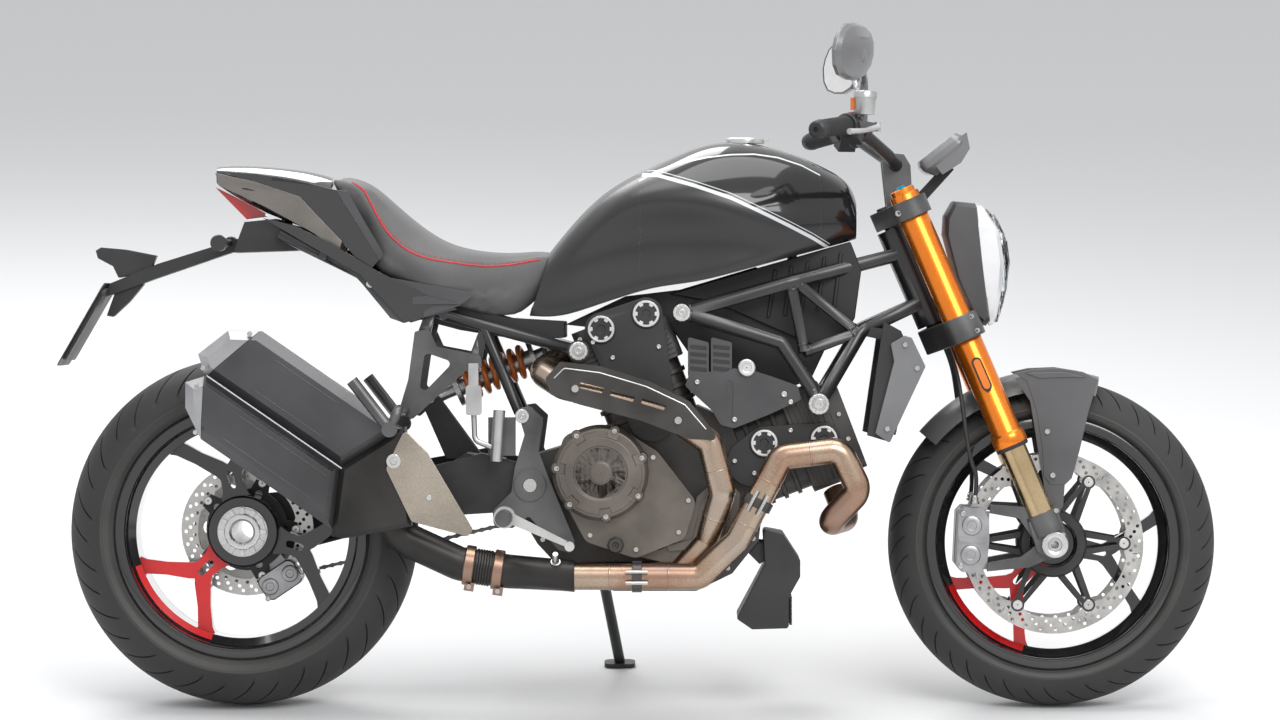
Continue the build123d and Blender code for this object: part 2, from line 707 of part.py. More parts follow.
def deck_corner(which, offset):
    """A side-view point on a cylinder's deck, that far round from its centre line."""
    axis = CYLINDER[which]
    spot = CRANK + axis * DECK + Vector(-axis.Z, 0, axis.X) * offset
    return (spot.X, spot.Z)

CRANKCASE_SIDE = [
    deck_corner("front", -BORE_R - 3),
    deck_corner("front", BORE_R + 3),
    deck_corner("rear", -BORE_R - 3),
    deck_corner("rear", BORE_R + 3),
    (-110, 492),
    (-205, 462),
    (PIVOT_X - 36, PIVOT_Z + 24),
    (PIVOT_X - 36, PIVOT_Z - 28),
    (-200, 300),
    (-140, 236),
    (-60, 214),
    (90, 214),
    (156, 246),
    (204, 306),
]
STAND_PIVOT = Vector(-92.0, 150.0, 262.0)
STAND_TILT = 28.0
STAND_SWING = 95.0
STAND_AXIS = Vector(0, cos(radians(STAND_TILT)), sin(radians(STAND_TILT)))
with BuildPart() as crankcase:
    add_plate(CRANKCASE_SIDE, -GEARBOX_HALF, GEARBOX_HALF)
    add_disc(PIVOT_X, PIVOT_Z, 12.5 + FIT, -GEARBOX_HALF, GEARBOX_HALF, mode=Mode.SUBTRACT)
    for low, high in ((-22, -13.5), (13.5, 22)):
        start, end = STAND_PIVOT + STAND_AXIS * low, STAND_PIVOT + STAND_AXIS * high
        with BuildSketch(Plane(origin=start, x_dir=(1, 0, 0), z_dir=STAND_AXIS)):
            Circle(16)
            with Locations((10, -18)):
                Rectangle(34, 36)
            Circle(6, mode=Mode.SUBTRACT)
        extrude(amount=high - low)
    add_rod(STAND_PIVOT - STAND_AXIS * 26, STAND_PIVOT + STAND_AXIS * 26, 6)
    add_plate([(-112, 268), (-60, 268), (-60, 320), (-112, 320)], -126, -96)
keep(crankcase, "crankcase")


def make_cylinder(which):
    """One cylinder with its water jacket ribs, its head and the cam cover, as one casting stack."""
    with BuildPart() as cylinder:
        for low, high, across, round_, corner in (
            (DECK, HEAD_GASKET, 2 * BORE_R + 16, 2 * BORE_R, 26),
            (HEAD_GASKET, HEAD_TOP - 30, 2 * HEAD_HALF, 2 * BORE_R + 22, 16),
            (HEAD_TOP - 30, HEAD_TOP, 2 * CRANKCASE_HALF - 40, 2 * BORE_R + 4, 22),
        ):
            with BuildSketch(engine_plane(which, low)):
                RectangleRounded(across, round_, corner)
            extrude(amount=high - low)
        for rib in range(3):
            with BuildSketch(engine_plane(which, DECK + 18 + 26 * rib)):
                RectangleRounded(2 * BORE_R + 26, 2 * BORE_R + 10, 28)
            extrude(amount=8)
    return cylinder

SHOCK_LOW, SHOCK_HIGH = at(-400, 561, -41), at(-180, 653, -41)
SHOCK_EYE_HALF = 12.0
with BuildPart() as cylinders:
    add(make_cylinder("front"))
    add(make_cylinder("rear"))
    for near in (1, -1):
        cheek = -SHOCK_HIGH.Y + near * (SHOCK_EYE_HALF + FIT)
        with BuildSketch(side(cheek)) as lug:
            with BuildLine() as edges:
                CenterArc((SHOCK_HIGH.X, SHOCK_HIGH.Z), 15, 0, 360)
                CenterArc((-122, 624), 24, 0, 360)
            make_hull(edges.edges())
            with Locations((SHOCK_HIGH.X, SHOCK_HIGH.Z)):
                Circle(6 + FIT, mode=Mode.SUBTRACT)
        extrude(lug.sketch, amount=near * 9)
keep(cylinders, "cylinders")

CLUTCH_X, CLUTCH_Z, CLUTCH_R = -83.0, 432.0, 87.0
with BuildPart() as clutch_cover:
    add_plate(
        [(-172, 420), (-150, 500), (-60, 520), (20, 470), (90, 380), (70, 312), (-20, 276), (-110, 306)],
        GEARBOX_HALF,
        150,
        corner=22,
    )
    add_disc(CLUTCH_X, CLUTCH_Z, CLUTCH_R, 150, 178)
    chamfer(clutch_cover.faces().sort_by(Axis.Y)[0].edges(), 9)
    add_disc(CLUTCH_X, CLUTCH_Z, CLUTCH_R * 0.55, 178, 184)
keep(clutch_cover, "clutch_cover")
with BuildPart() as generator_cover:
    add_disc(CRANK_X, CRANK_Z, 92, -158, -GEARBOX_HALF)
    chamfer(generator_cover.faces().sort_by(Axis.Y)[-1].edges(), 12)
    add_plate([(-30, 300), (0, 470), (60, 492), (140, 460), (160, 330), (60, 262)], -130, -GEARBOX_HALF, corner=20)
keep(generator_cover, "generator_cover")
SPROCKET_X, SPROCKET_Z = -128.0, 398.0
with BuildPart() as sprocket_cover:
    add_disc(SPROCKET_X, SPROCKET_Z, 50, -CHAIN_Y - 22, -CHAIN_Y - 10)
    add_plate([(-128, 446), (-60, 440), (-46, 380), (-70, 352), (-128, 350)], -CHAIN_Y - 22, -CHAIN_Y - 10)
    add_disc(-62, 428, 9, -CHAIN_Y - 10, -GEARBOX_HALF)
    add_disc(-66, 368, 9, -CHAIN_Y - 10, -GEARBOX_HALF)
keep(sprocket_cover, "sprocket_cover")

BELT_CAPS = {"front": [(214, 485), (323, 492)], "rear": [(-83, 692), (-1, 720)]}
BELT_CAP_R = 27.0


def make_belt_cover(which):
    """The moulded cover of one cylinder's timing belt, with a round cap over each pulley."""
    axis = CYLINDER[which]
    base = CRANK + axis * 140
    inner = CRANKCASE_HALF - 12
    with BuildPart() as cover:
        with BuildSketch(side(inner)):
            with BuildLine() as edges:
                for cap in BELT_CAPS[which]:
                    CenterArc(cap, BELT_CAP_R + 3, 0, 360)
                CenterArc((base.X, base.Z), 44, 0, 360)
            make_hull(edges.edges())
        extrude(amount=11)
        for x, z in BELT_CAPS[which]:
            add_disc(x, z, BELT_CAP_R, inner + 11, inner + 13)
    return cover

with BuildPart() as belt_covers:
    add(make_belt_cover("front"))
    add(make_belt_cover("rear"))
keep(belt_covers, "belt_covers")

# ---------------------------------------------------------------- frame
HEAD_LOW, HEAD_HIGH = LOWER_CLAMP_S + LOWER_CLAMP_HALF + 4, UPPER_CLAMP_S - UPPER_CLAMP_HALF - 4
NODE_REAR = at(64, 722, 126)
NODE_MOUNT = at(313, 556, 134)
FRONT_RUN = [NODE_MOUNT, at(392, 690, 92), fork_point(HEAD_LOW + 45, 0, 10)]
PEG_R = 8.0
TANK_PEGS = [(266, 60, 842)]
SEAT_PEGS = [(-370, 60, 758)]
TAIL_PEGS = [(-664, 30, 906)]


def cut_sockets(pegs):
    """Sockets for the rubber pegs that a piece of bodywork sits on."""
    for x, y, z in pegs:
        for sign in (1, -1):
            add_rod((x, sign * y, z - 80), (x, sign * y, z + FIT), PEG_R + FIT, mode=Mode.SUBTRACT)

with BuildPart() as trellis:
    add_rod(fork_point(HEAD_LOW), fork_point(HEAD_HIGH), HEAD_TUBE_R)
    for run in both_sides([NODE_REAR, at(266, 779, 112), fork_point(HEAD_HIGH - 50, 0, 10)]):
        add_tube(run, FRAME_TUBE_R, bend=60)
    for run in both_sides([NODE_REAR, at(245, 668, 132), at(300, 585, 134), NODE_MOUNT]):
        add_tube(run, FRAME_TUBE_R, bend=12)
    for run in both_sides(FRONT_RUN):
        add_tube(run, FRAME_TUBE_R, bend=30)
    for start, end in (
        (at(262, 778, 112), at(286, 650, 132)),
        (at(270, 779, 112), at(384, 686, 94)),
        (at(286, 650, 132), at(384, 686, 94)),
    ):
        for run in both_sides([start, end]):
            add_rod(run[0], run[1], FRAME_TUBE_R - 3)
    for spot in (NODE_REAR, at(266, 779, 112)):
        add_rod(spot, Vector(spot.X, -spot.Y, spot.Z), FRAME_TUBE_R - 2)
    for near in (1, -1):
        add_disc(NODE_MOUNT.X, NODE_MOUNT.Z, 19, near * HEAD_HALF, near * 150)
    for x, y, z in TANK_PEGS:
        for sign in (1, -1):
            add_rod((x, sign * y, 779), (x, sign * y, z), PEG_R)
    add_rod(fork_point(HEAD_LOW), fork_point(HEAD_HIGH), STEM_R + SPIN_FIT, mode=Mode.SUBTRACT)
keep(trellis, "trellis_frame")

COVER_IN, COVER_T = 132.0, 4.0
with BuildPart() as electrics_cover:
    add_plate(
        [
            (78, 613), (115, 615), (135, 611), (159, 621), (200, 615), (237, 603), (275, 589),
            (281, 564), (220, 536), (159, 512), (135, 518), (119, 544), (70, 589),
        ],
        COVER_IN,
        COVER_IN + COVER_T,
        corner=5,
    )
    with BuildSketch(side(COVER_IN + 2)):
        with Locations((151, 565)):
            SlotOverall(68, 12, rotation=90)
    extrude(amount=COVER_T, mode=Mode.SUBTRACT)
    add_disc(182, 622, 16, COVER_IN - 10, COVER_IN + COVER_T + 3)
    for x, z in ((262, 560), (240, 574)):
        add_disc(x, z, 6, HEAD_HALF + FIT, COVER_IN + COVER_T)
    for x in (94, 136):
        add_plate([(x - 19, 606), (x + 19, 600), (x + 19, 668), (x - 19, 678)], COVER_IN - 26, COVER_IN + FIT, corner=4)
keep(electrics_cover, "electrics_cover")

SUBFRAME_MOUNT = at(-124, 652, HEAD_HALF + 13)
BRACKET_IN, BRACKET_T = 132.0, 8.0
HANGER_IN, HANGER_T = 122.0, 10.0
HANGER_BOLTS = [(-408, 676), (-314, 633)]
PANEL_IN = 119.0
with BuildPart() as subframe:
    for run in both_sides([SUBFRAME_MOUNT, at(-370, 718, 108), at(-560, 812, 84), at(-672, 866, 66)]):
        add_tube(run, 11, bend=70)
    for run in both_sides([at(-300, 699, 110), at(-232, 540, 118), at(-222, 528, BRACKET_IN - FIT)]):
        add_rod(run[0], run[1], 10)
    for near in (1, -1):
        for x, z in HANGER_BOLTS:
            with BuildSketch(side(near * 104)) as lug:
                with BuildLine() as edges:
                    CenterArc((x, z), 12, 0, 360)
                    CenterArc((x + 14, z + 46), 9, 0, 360)
                make_hull(edges.edges())
            extrude(lug.sketch, amount=near * (PANEL_IN - FIT - 104))
            add_disc(x, z, 12, near * 110, near * (HANGER_IN - FIT))
        add_disc(-226, 534, 12, near * 110, near * (BRACKET_IN - FIT))
    for x, z, right in ((-370, 718, PANEL_IN - FIT), (-560, 812, 80), (-664, 862, 62)):
        add_rod(at(x, z, right), at(x, z, -right), 9)
    for x, y, z in SEAT_PEGS + TAIL_PEGS:
        for sign in (1, -1):
            add_rod((x, sign * y, 718 if x > -500 else 862), (x, sign * y, z), PEG_R)
    for near in (1, -1):
        add_disc(SUBFRAME_MOUNT.X, SUBFRAME_MOUNT.Z, 20, near * HEAD_HALF, near * (HEAD_HALF + 26))
        add_rod(at(-590, 826, near * 76), at(-590, 826, near * (PANEL_IN - FIT)), 7)
keep(subframe, "rear_subframe")

# ---------------------------------------------------------------- swingarm and chain
ARM_IN, ARM_OUT = REAR_TYRE_W / 2 + 6, 136.0
SWINGARM_HUB_IN = 70.0
with BuildPart() as swingarm:
    add_plate(
        [
            (PIVOT_X + 34, PIVOT_Z + 10),
            (PIVOT_X, PIVOT_Z + 38),
            (-300, 470),
            (-420, 448),
            (-640, 392),
            (REAR_AXLE_X + 20, REAR_TYRE_R + 64),
            (REAR_AXLE_X + 20, REAR_TYRE_R - 60),
            (-640, 282),
            (-420, 340),
            (PIVOT_X, PIVOT_Z - 40),
            (PIVOT_X + 34, PIVOT_Z - 12),
        ],
        -ARM_OUT,
        -ARM_IN,
    )
    add_plate(
        [
            (PIVOT_X + 34, PIVOT_Z + 10),
            (PIVOT_X, PIVOT_Z + 36),
            (-300, 466),
            (-400, 440),
            (-396, 350),
            (-270, 358),
            (PIVOT_X, PIVOT_Z - 38),
            (PIVOT_X + 34, PIVOT_Z - 12),
        ],
        GEARBOX_HALF + 5,
        GEARBOX_HALF + 27,
    )
    add_plate([(-262, 452), (-262, 362), (-396, 350), (-404, 420), (-330, 466)], -ARM_IN, GEARBOX_HALF + 5)
    for near in (1, -1):
        cheek = -SHOCK_LOW.Y + near * (SHOCK_EYE_HALF + FIT)
        add_plate(
            [(-300, 450), (-372, 452), (-416, 552), (-412, 576), (-392, 578), (-378, 556)], cheek, cheek + near * 10
        )
    add_disc(REAR_AXLE_X, REAR_TYRE_R, 68, -ARM_OUT, -SWINGARM_HUB_IN)
    add_disc(REAR_AXLE_X, REAR_TYRE_R, REAR_SHAFT_R + SPIN_FIT, -ARM_OUT - 5, -60, mode=Mode.SUBTRACT)
    add_disc(PIVOT_X, PIVOT_Z, 12.5 + FIT, -160, 160, mode=Mode.SUBTRACT)
    add_disc(-400, 561, 6 + FIT, -80, 0, mode=Mode.SUBTRACT)
keep(swingarm, "swingarm")
with BuildPart() as pivot_pin:
    add_disc(PIVOT_X, PIVOT_Z, 12.5, -CHAIN_Y - 34, GEARBOX_HALF + 48)
keep(pivot_pin, "swingarm_pin")


def make_chain():
    """The final chain as one closed band round both sprockets."""
    big = CHAIN_PITCH / (2 * sin(radians(180 / REAR_TEETH)))
    small = CHAIN_PITCH / (2 * sin(radians(180 / FRONT_TEETH)))
    with BuildPart() as chain:
        with BuildSketch(side(-CHAIN_Y - 5)) as band:
            for grow, mode in ((CHAIN_IN + 14.5, Mode.ADD), (CHAIN_IN, Mode.SUBTRACT)):
                with BuildLine(mode=Mode.PRIVATE) as edges:
                    CenterArc((REAR_AXLE_X, REAR_TYRE_R), big + grow, 0, 360)
                    CenterArc((SPROCKET_X, SPROCKET_Z), small + grow, 0, 360)
                make_hull(edges.edges(), mode=mode)
        extrude(amount=10)
    return chain

keep(make_chain(), "chain")
with BuildPart() as front_sprocket:
    small_r = CHAIN_PITCH / (2 * sin(radians(180 / FRONT_TEETH)))
    add_disc(SPROCKET_X, SPROCKET_Z, small_r + CHAIN_IN - FIT, -CHAIN_Y - 3, -CHAIN_Y + 3)
    add_disc(SPROCKET_X, SPROCKET_Z, 14, -CHAIN_Y + 3, -GEARBOX_HALF)
keep(front_sprocket, "front_sprocket")

with BuildPart() as shock:
    add_rod(along(SHOCK_LOW, SHOCK_HIGH, 10), along(SHOCK_HIGH, SHOCK_LOW, 12), 11)
    add_rod(along(SHOCK_LOW, SHOCK_HIGH, 48), along(SHOCK_HIGH, SHOCK_LOW, 30), 16)
    add_rod(along(SHOCK_LOW, SHOCK_HIGH, 48), along(SHOCK_LOW, SHOCK_HIGH, 56), 33)
    add_rod(along(SHOCK_HIGH, SHOCK_LOW, 30), along(SHOCK_HIGH, SHOCK_LOW, 38), 33)
    for eye in (SHOCK_LOW, SHOCK_HIGH):
        add_disc(eye.X, eye.Z, 14, -eye.Y - SHOCK_EYE_HALF, -eye.Y + SHOCK_EYE_HALF)
        add_disc(eye.X, eye.Z, 6, -eye.Y - 26, -eye.Y + 26)
keep(shock, "rear_shock")
SPRING_WIRE = 5.5
SHOCK_RUN = SHOCK_HIGH - SHOCK_LOW
SPRING_LENGTH = SHOCK_RUN.length - 56 - 38 - 2 * SPRING_WIRE - 2 * FIT
with BuildPart() as spring:
    with BuildLine() as coil:
        Helix(
            pitch=SPRING_LENGTH / 7,
            height=SPRING_LENGTH,
            radius=27,
            center=along(SHOCK_LOW, SHOCK_HIGH, 56 + SPRING_WIRE + FIT),
            direction=SHOCK_RUN,
        )
    with BuildSketch(Plane(origin=coil.line @ 0, z_dir=coil.line % 0)) as wire:
        Circle(SPRING_WIRE)
    sweep(wire.sketch, path=coil.line, is_frenet=True)
keep(spring, "shock_spring")

# ---------------------------------------------------------------- exhaust
INNER_PIPE, OUTER_PIPE = 123.0, 176.0
REAR_HEADER_RUN = [
    at(-155, 640, 66),
    at(-194, 614, 130),
    at(-150, 588, OUTER_PIPE),
    at(30, 548, OUTER_PIPE + 4),
    at(116, 486, OUTER_PIPE),
    at(138, 395, OUTER_PIPE - 4),
]
with BuildPart() as headers:
    add_tube(
        [
            at(346, 396, 34),
            at(366, 346, 60),
            at(330, 340, 150),
            at(386, 400, 176),
            at(350, 474, 176),
            at(245, 462, 176),
            at(165, 310, 176),
            at(96, 244, OUTER_PIPE),
            at(-130, 244, OUTER_PIPE),
        ],
        HEADER_R,
        bend=26,
        wall=HEADER_WALL,
    )
    add_tube(
        [
            *REAR_HEADER_RUN,
            at(112, 305, INNER_PIPE + 6),
            at(58, 246, INNER_PIPE),
            at(-130, 244, INNER_PIPE),
        ],
        HEADER_R,
        bend=26,
        wall=HEADER_WALL,
    )
keep(headers, "exhaust_headers")
with BuildPart() as heat_shield:
    add_plate(
        [(-182, 604), (-155, 634), (-83, 626), (7, 598), (79, 562), (122, 508), (128, 492), (79, 494), (-11, 528), (-119, 556), (-172, 574)],
        OUTER_PIPE + 34,
        OUTER_PIPE + 37,
        corner=6,
    )
    for x, z in ((-128, 585), (58, 528)):
        add_disc(x, z, 7, OUTER_PIPE + 10, OUTER_PIPE + 41)
    for k in range(3):
        add_plate(
            [(-118 + 56 * k, 596 - 14 * k), (-76 + 56 * k, 586 - 16 * k), (-80 + 56 * k, 577 - 16 * k), (-122 + 56 * k, 587 - 14 * k)],
            OUTER_PIPE + 30,
            OUTER_PIPE + 41,
            mode=Mode.SUBTRACT,
        )
    add_tube(REAR_HEADER_RUN, HEADER_R + FIT, bend=26, mode=Mode.SUBTRACT)
keep(heat_shield, "heat_shield")

SILENCER_SLOPE = 34.5
SILENCER_TOP = (-492.0, 546.0)
SILENCER_IN, SILENCER_OUT = 116.0, 214.0


def silencer_plane(right):
    """Plane along the silencers: up and back from their front end, then down across them."""
    slope = radians(SILENCER_SLOPE)
    return Plane(origin=at(*SILENCER_TOP, right), x_dir=(-cos(slope), 0, sin(slope)), z_dir=(0, -1, 0))


def make_silencer(outline):
    with BuildPart() as silencer:
        with BuildSketch(silencer_plane(SILENCER_IN)) as face:
            with BuildLine():
                Polyline(*outline, close=True)
            make_face()
        extrude(face.sketch, amount=SILENCER_OUT - SILENCER_IN)
        chamfer(silencer.faces().filter_by(Axis.Y).edges(), 16)
    return silencer

MUFFLER_JOIN = 119.0
UPPER_MUFFLER = [(-60, 0), (251, 0), (299, 31), (320, 97), (292, MUFFLER_JOIN), (-9, MUFFLER_JOIN)]
LOWER_MUFFLER = [
    (-9, MUFFLER_JOIN + FIT),
    (285, MUFFLER_JOIN + FIT),
    (310, 152),
    (284, 190),
    (229, 221),
    (-60, 221),
]
with BuildPart() as silencers:
    add(make_silencer(UPPER_MUFFLER))
    add(make_silencer(LOWER_MUFFLER))
keep(silencers, "silencers")
LINK_R = 31.0
LINK_RIGHT = (INNER_PIPE + OUTER_PIPE) / 2
LINK_PATH = [
    at(-250, 252, LINK_RIGHT),
    at(-340, 266, LINK_RIGHT),
    at(-440, 312, LINK_RIGHT),
    at(-478, 372, LINK_RIGHT),
]
JOINT_BOX_OUT = SILENCER_OUT - 6
with BuildPart() as joint_box:
    add_plate([(-437, 520), (-424, 336), (-545, 314), (-640, 330), (-600, 480)], SILENCER_IN, JOINT_BOX_OUT)
    with BuildSketch(silencer_plane(SILENCER_IN - 10)) as cut:
        with BuildLine():
            Polyline(
                (-9 - FIT - 51 / MUFFLER_JOIN * (MUFFLER_JOIN + 30), -30),
                (400, -30),
                (400, 300),
                (-9 - FIT - 0.5 * (300 - MUFFLER_JOIN), 300),
                (-9 - FIT, MUFFLER_JOIN),
                close=True,
            )
        make_face()
    extrude(cut.sketch, amount=SILENCER_OUT, mode=Mode.SUBTRACT)
    chamfer(joint_box.faces().sort_by(Axis.Y)[0].edges(), 8)
with BuildPart() as link_pipe:
    add(joint_box.part)
    with BuildSketch(Plane(origin=at(-130.5, 244, LINK_RIGHT), x_dir=(0, 1, 0), z_dir=(-1, 0, 0))) as twin:
        SlotCenterToCenter(OUTER_PIPE - INNER_PIPE, 2 * HEADER_R + 8)
    with BuildSketch(Plane(origin=LINK_PATH[0], x_dir=(0, 1, 0), z_dir=LINK_PATH[0] - LINK_PATH[1])) as single:
        Circle(LINK_R)
    loft([twin.sketch, single.sketch])
    add_tube(LINK_PATH, LINK_R, bend=50)
keep(link_pipe, "link_pipe")
with BuildPart() as silencer_guard:
    add_plate([(-437, 512), (-395, 470), (-312, 330), (-322, 318), (-424, 345), (-470, 440)], JOINT_BOX_OUT + FIT, JOINT_BOX_OUT + 4, corner=8)
keep(silencer_guard, "silencer_guard")

# ---------------------------------------------------------------- cooling
RADIATOR_HALF = 150.0
with BuildPart() as radiator:
    add_plate([(448, 690), (488, 672), (452, 500), (414, 506)], -RADIATOR_HALF, RADIATOR_HALF)
    for near in (1, -1):
        add_plate([(430, 706), (478, 680), (440, 488), (400, 500)], near * RADIATOR_HALF, near * (RADIATOR_HALF + 22))
        add_plate([(394, 698), (450, 690), (450, 668), (394, 680)], near * 84, near * 98)
    for run in both_sides(FRONT_RUN):
        add_tube(run, FRAME_TUBE_R + FIT, bend=30, mode=Mode.SUBTRACT)
    lock = radians(STEER_LOCK)
    swept_back = FORK_OFFSET * cos(lock) - LEG * sin(lock) - CLAMP_LEG_R - RUN_CLEAR
    with BuildSketch(fork_plane(-RADIATOR_HALF - 30)) as swept:
        with BuildLine():
            Polyline(
                (swept_back, LOWER_CLAMP_S - LOWER_CLAMP_HALF - RUN_CLEAR),
                (swept_back + 200, LOWER_CLAMP_S - LOWER_CLAMP_HALF - RUN_CLEAR),
                (swept_back + 200, UPPER_CLAMP_S),
                (swept_back, UPPER_CLAMP_S),
                close=True,
            )
        make_face()
    extrude(swept.sketch, amount=2 * RADIATOR_HALF + 60, mode=Mode.SUBTRACT)
keep(radiator, "radiator")
with BuildPart() as radiator_covers:
    for near in (1, -1):
        add_plate(
            [(468, 681), (442, 666), (448, 634), (414, 504), (440, 486), (505, 625), (480, 677)],
            near * (RADIATOR_HALF + 22 + FIT),
            near * (RADIATOR_HALF + 34),
            corner=4,
        )
keep(radiator_covers, "radiator_covers")
with BuildPart() as oil_cooler:
    add_plate(
        [(212, 325), (249, 318), (280, 270), (280, 240), (259, 203), (259, 146), (192, 144), (163, 164), (190, 215), (215, 262)],
        -100,
        100,
        corner=6,
    )
    case_low, case_high = [at(x, z) for x, z in CRANKCASE_SIDE[-2:]]
    run = (case_high - case_low).normalized()
    off = Vector(run.Z, 0, -run.X) * FIT
    seat_low, seat_high = along(case_high, case_low, 30) + off, along(case_high, case_low, 4) + off
    for near in (1, -1):
        add_plate(
            [(seat_low.X, seat_low.Z), (206, 262), (220, 272), (218, 300), (seat_high.X, seat_high.Z)],
            near * 60,
            near * 84,
        )
keep(oil_cooler, "oil_cooler")

# ---------------------------------------------------------------- tank, seat and tail
def make_body(sections):
    with BuildPart() as body:
        profiles = [body_section(*row).sketch for row in sections]
        loft(profiles)
    return body

TANK_JOINT = ((-151, 832), (-213, 716))
tank_body = make_body(
    [
        (-222, 706, 850, 70, 96, 770),
        (-130, 724, 884, 96, 116, 792),
        (-34, 750, 972, 116, 142, 850),
        (60, 776, 1014, 126, TANK_HALF - 6, 900),
        (150, 796, 1036, 126, TANK_HALF, 906),
        (240, 820, 1026, 108, TANK_HALF - 3, 914),
        (320, 846, 989, 80, TANK_HALF - 30, 918),
        (382, 862, 925, 44, 78, 898),
    ]
)
FILLER_X = 180.0
CAP_HINGE = (FILLER_X + 44, 1041.0)
KNUCKLE_HALF, KNUCKLE_R, CAP_PIN_R = 11.0, 3.4, 1.3
with BuildPart() as tank:
    add(cut_behind(tank_body, *TANK_JOINT, True))
    add_rod((FILLER_X, 0, 1012), (FILLER_X, 0, 1060), 37, mode=Mode.SUBTRACT)
    add_rod((FILLER_X, 0, 1012), (FILLER_X, 0, 1030), 34)
    for sign in (1, -1):
        ear = [(CAP_HINGE[0] - 3, 1018), (CAP_HINGE[0] + 3, 1018), (CAP_HINGE[0] + 3, 1041), (CAP_HINGE[0] - 3, 1041)]
        add_plate(ear, sign * (KNUCKLE_HALF + FIT), sign * (KNUCKLE_HALF + 6))
        add_disc(*CAP_HINGE, KNUCKLE_R, sign * (KNUCKLE_HALF + FIT), sign * (KNUCKLE_HALF + 6))
    add_disc(*CAP_HINGE, CAP_PIN_R, -KNUCKLE_HALF - 3, KNUCKLE_HALF + 3)
    cut_sockets(TANK_PEGS)
keep(tank, "fuel_tank")
with BuildPart() as fuel_cap:
    add_rod((FILLER_X, 0, 1033), (FILLER_X, 0, 1043), 35.5)
    chamfer(fuel_cap.faces().sort_by(Axis.Z)[-1].edges(), 2)
    add_rod((FILLER_X, 0, 1030.5), (FILLER_X, 0, 1033), 20)
    add_plate(
        [(FILLER_X + 30, 1037.6), (CAP_HINGE[0], 1037.6), (CAP_HINGE[0], 1041), (FILLER_X + 30, 1041)],
        -KNUCKLE_HALF,
        KNUCKLE_HALF,
    )
    add_disc(*CAP_HINGE, KNUCKLE_R, -KNUCKLE_HALF, KNUCKLE_HALF)
    add_disc(*CAP_HINGE, CAP_PIN_R + FIT, -KNUCKLE_HALF, KNUCKLE_HALF, mode=Mode.SUBTRACT)
keep(fuel_cap, "fuel_cap")

SEAT_END = -578.0
seat_body = make_body(
    [
        (-140, 796, 838, 60, 84, 815),
        (-215, 728, 837, 70, 98, 780),
        (-250, 716, 829, 78, 108, 785),
        (-300, 722, 829, 90, 126, 790),
        (-360, 744, 842, 100, SEAT_HALF, 806),
        (-420, 768, 884, 100, SEAT_HALF, 832),
        (-480, 794, 936, 92, 128, 868),
        (-535, 830, 968, 80, 112, 904),
        (SEAT_END, 852, 972, 72, 100, 918),
    ]
)
SEAT_JOINT = [(x - 2 * FIT, z) for x, z in TANK_JOINT]
with BuildPart() as seat:
    add(cut_behind(seat_body, *SEAT_JOINT, False))
    cut_sockets(SEAT_PEGS)
keep(seat, "rider_seat")
tail_body = make_body(
    [
        (SEAT_END - FIT, 854, 972, 70, 99, 918),
        (-640, 882, 986, 62, 90, 938),
        (-700, 906, 992, 54, 78, 954),
        (-760, 938, 994, 44, 64, 968),
        (-790, 958, 992, 32, 50, 976),
    ]
)
with BuildPart() as tail_panels:
    add(tail_body)
    cut_sockets(TAIL_PEGS)
    for near in (1, -1):
        add_plate(
            [(-344, 728), (-442, 704), (-520, 790), (-700, 895), (-640, 880), (-578, 850), (-480, 792), (-400, 756)],
            near * PANEL_IN,
            near * (PANEL_IN + 5),
        )
keep(tail_panels, "tail_panels")
with BuildPart() as tail_light:
    add_plate([(-793, 952), (-735, 893), (-703, 897), (-700, 904), (-756, 934)], -46, 46)
keep(tail_light, "tail_light")
with BuildPart() as plate_hanger:
    add_plate([(-670, 878), (-752, 858), (-900, 812), (-988, 776), (-1000, 750), (-900, 786), (-760, 834), (-670, 850)], -22, 22)
    add_disc(-664, 862, 17, -22, 22)
    add_disc(-664, 862, 9 + FIT, -22, 22, mode=Mode.SUBTRACT)
    for near in (1, -1):
        add_rod(at(-770, 850, near * 20), at(-778, 848, near * 120), 7)
        add_rod(at(-778, 848, near * 112), at(-778, 848, near * 150), 14)
    with BuildSketch(Plane(origin=(-1034, 0, 700), x_dir=(0, -1, 0), z_dir=Vector(-151, 0, 87))):
        RectangleRounded(190, 174, 12)
    extrude(amount=2)
    with BuildSketch(Plane(origin=(-1032, 0, 702), x_dir=(0, -1, 0), z_dir=Vector(-151, 0, 87))):
        RectangleRounded(160, 150, 12)
    extrude(amount=-6)
keep(plate_hanger, "plate_hanger")

# ---------------------------------------------------------------- pegs, pedals and brakes
PEG_X, PEG_Z = -258.0, 350.0
LEFT_BRACKET_IN = CHAIN_Y + 24
PEG_R_OUT = 15.0
PEG_STUB_R = 11.0
HUB_HALF = 6.0


def bracket(near, inner):
    """The rider's footrest plate of one side: two lugs above, a pivot boss, a toe and the peg."""
    outer = inner + BRACKET_T
    with BuildPart() as plate:
        add_plate(
            [(-236, 548), (-212, 552), (-188, 530), (-196, 470), (-176, 418), (-130, 306), (-138, 284), (-160, 290),
             (-214, 352), (-244, 330), (-278, 336), (-280, 362), (-246, 396), (-240, 440), (-222, 500)],
            near * inner,
            near * outer,
            corner=5,
        )
        add_disc(PIVOT_X, PIVOT_Z, 29, near * inner, near * (outer + 4))
        add_disc(PEG_X, PEG_Z, PEG_STUB_R, near * outer, near * (outer + 30))
        add_disc(PEG_X, PEG_Z, PEG_R_OUT, near * (outer + 2 * HUB_HALF + 2 * FIT), near * (outer + 84))
        add_disc(PIVOT_X, PIVOT_Z, 12.5 + FIT, near * (inner - 12), near * (outer + 12), mode=Mode.SUBTRACT)
    return plate


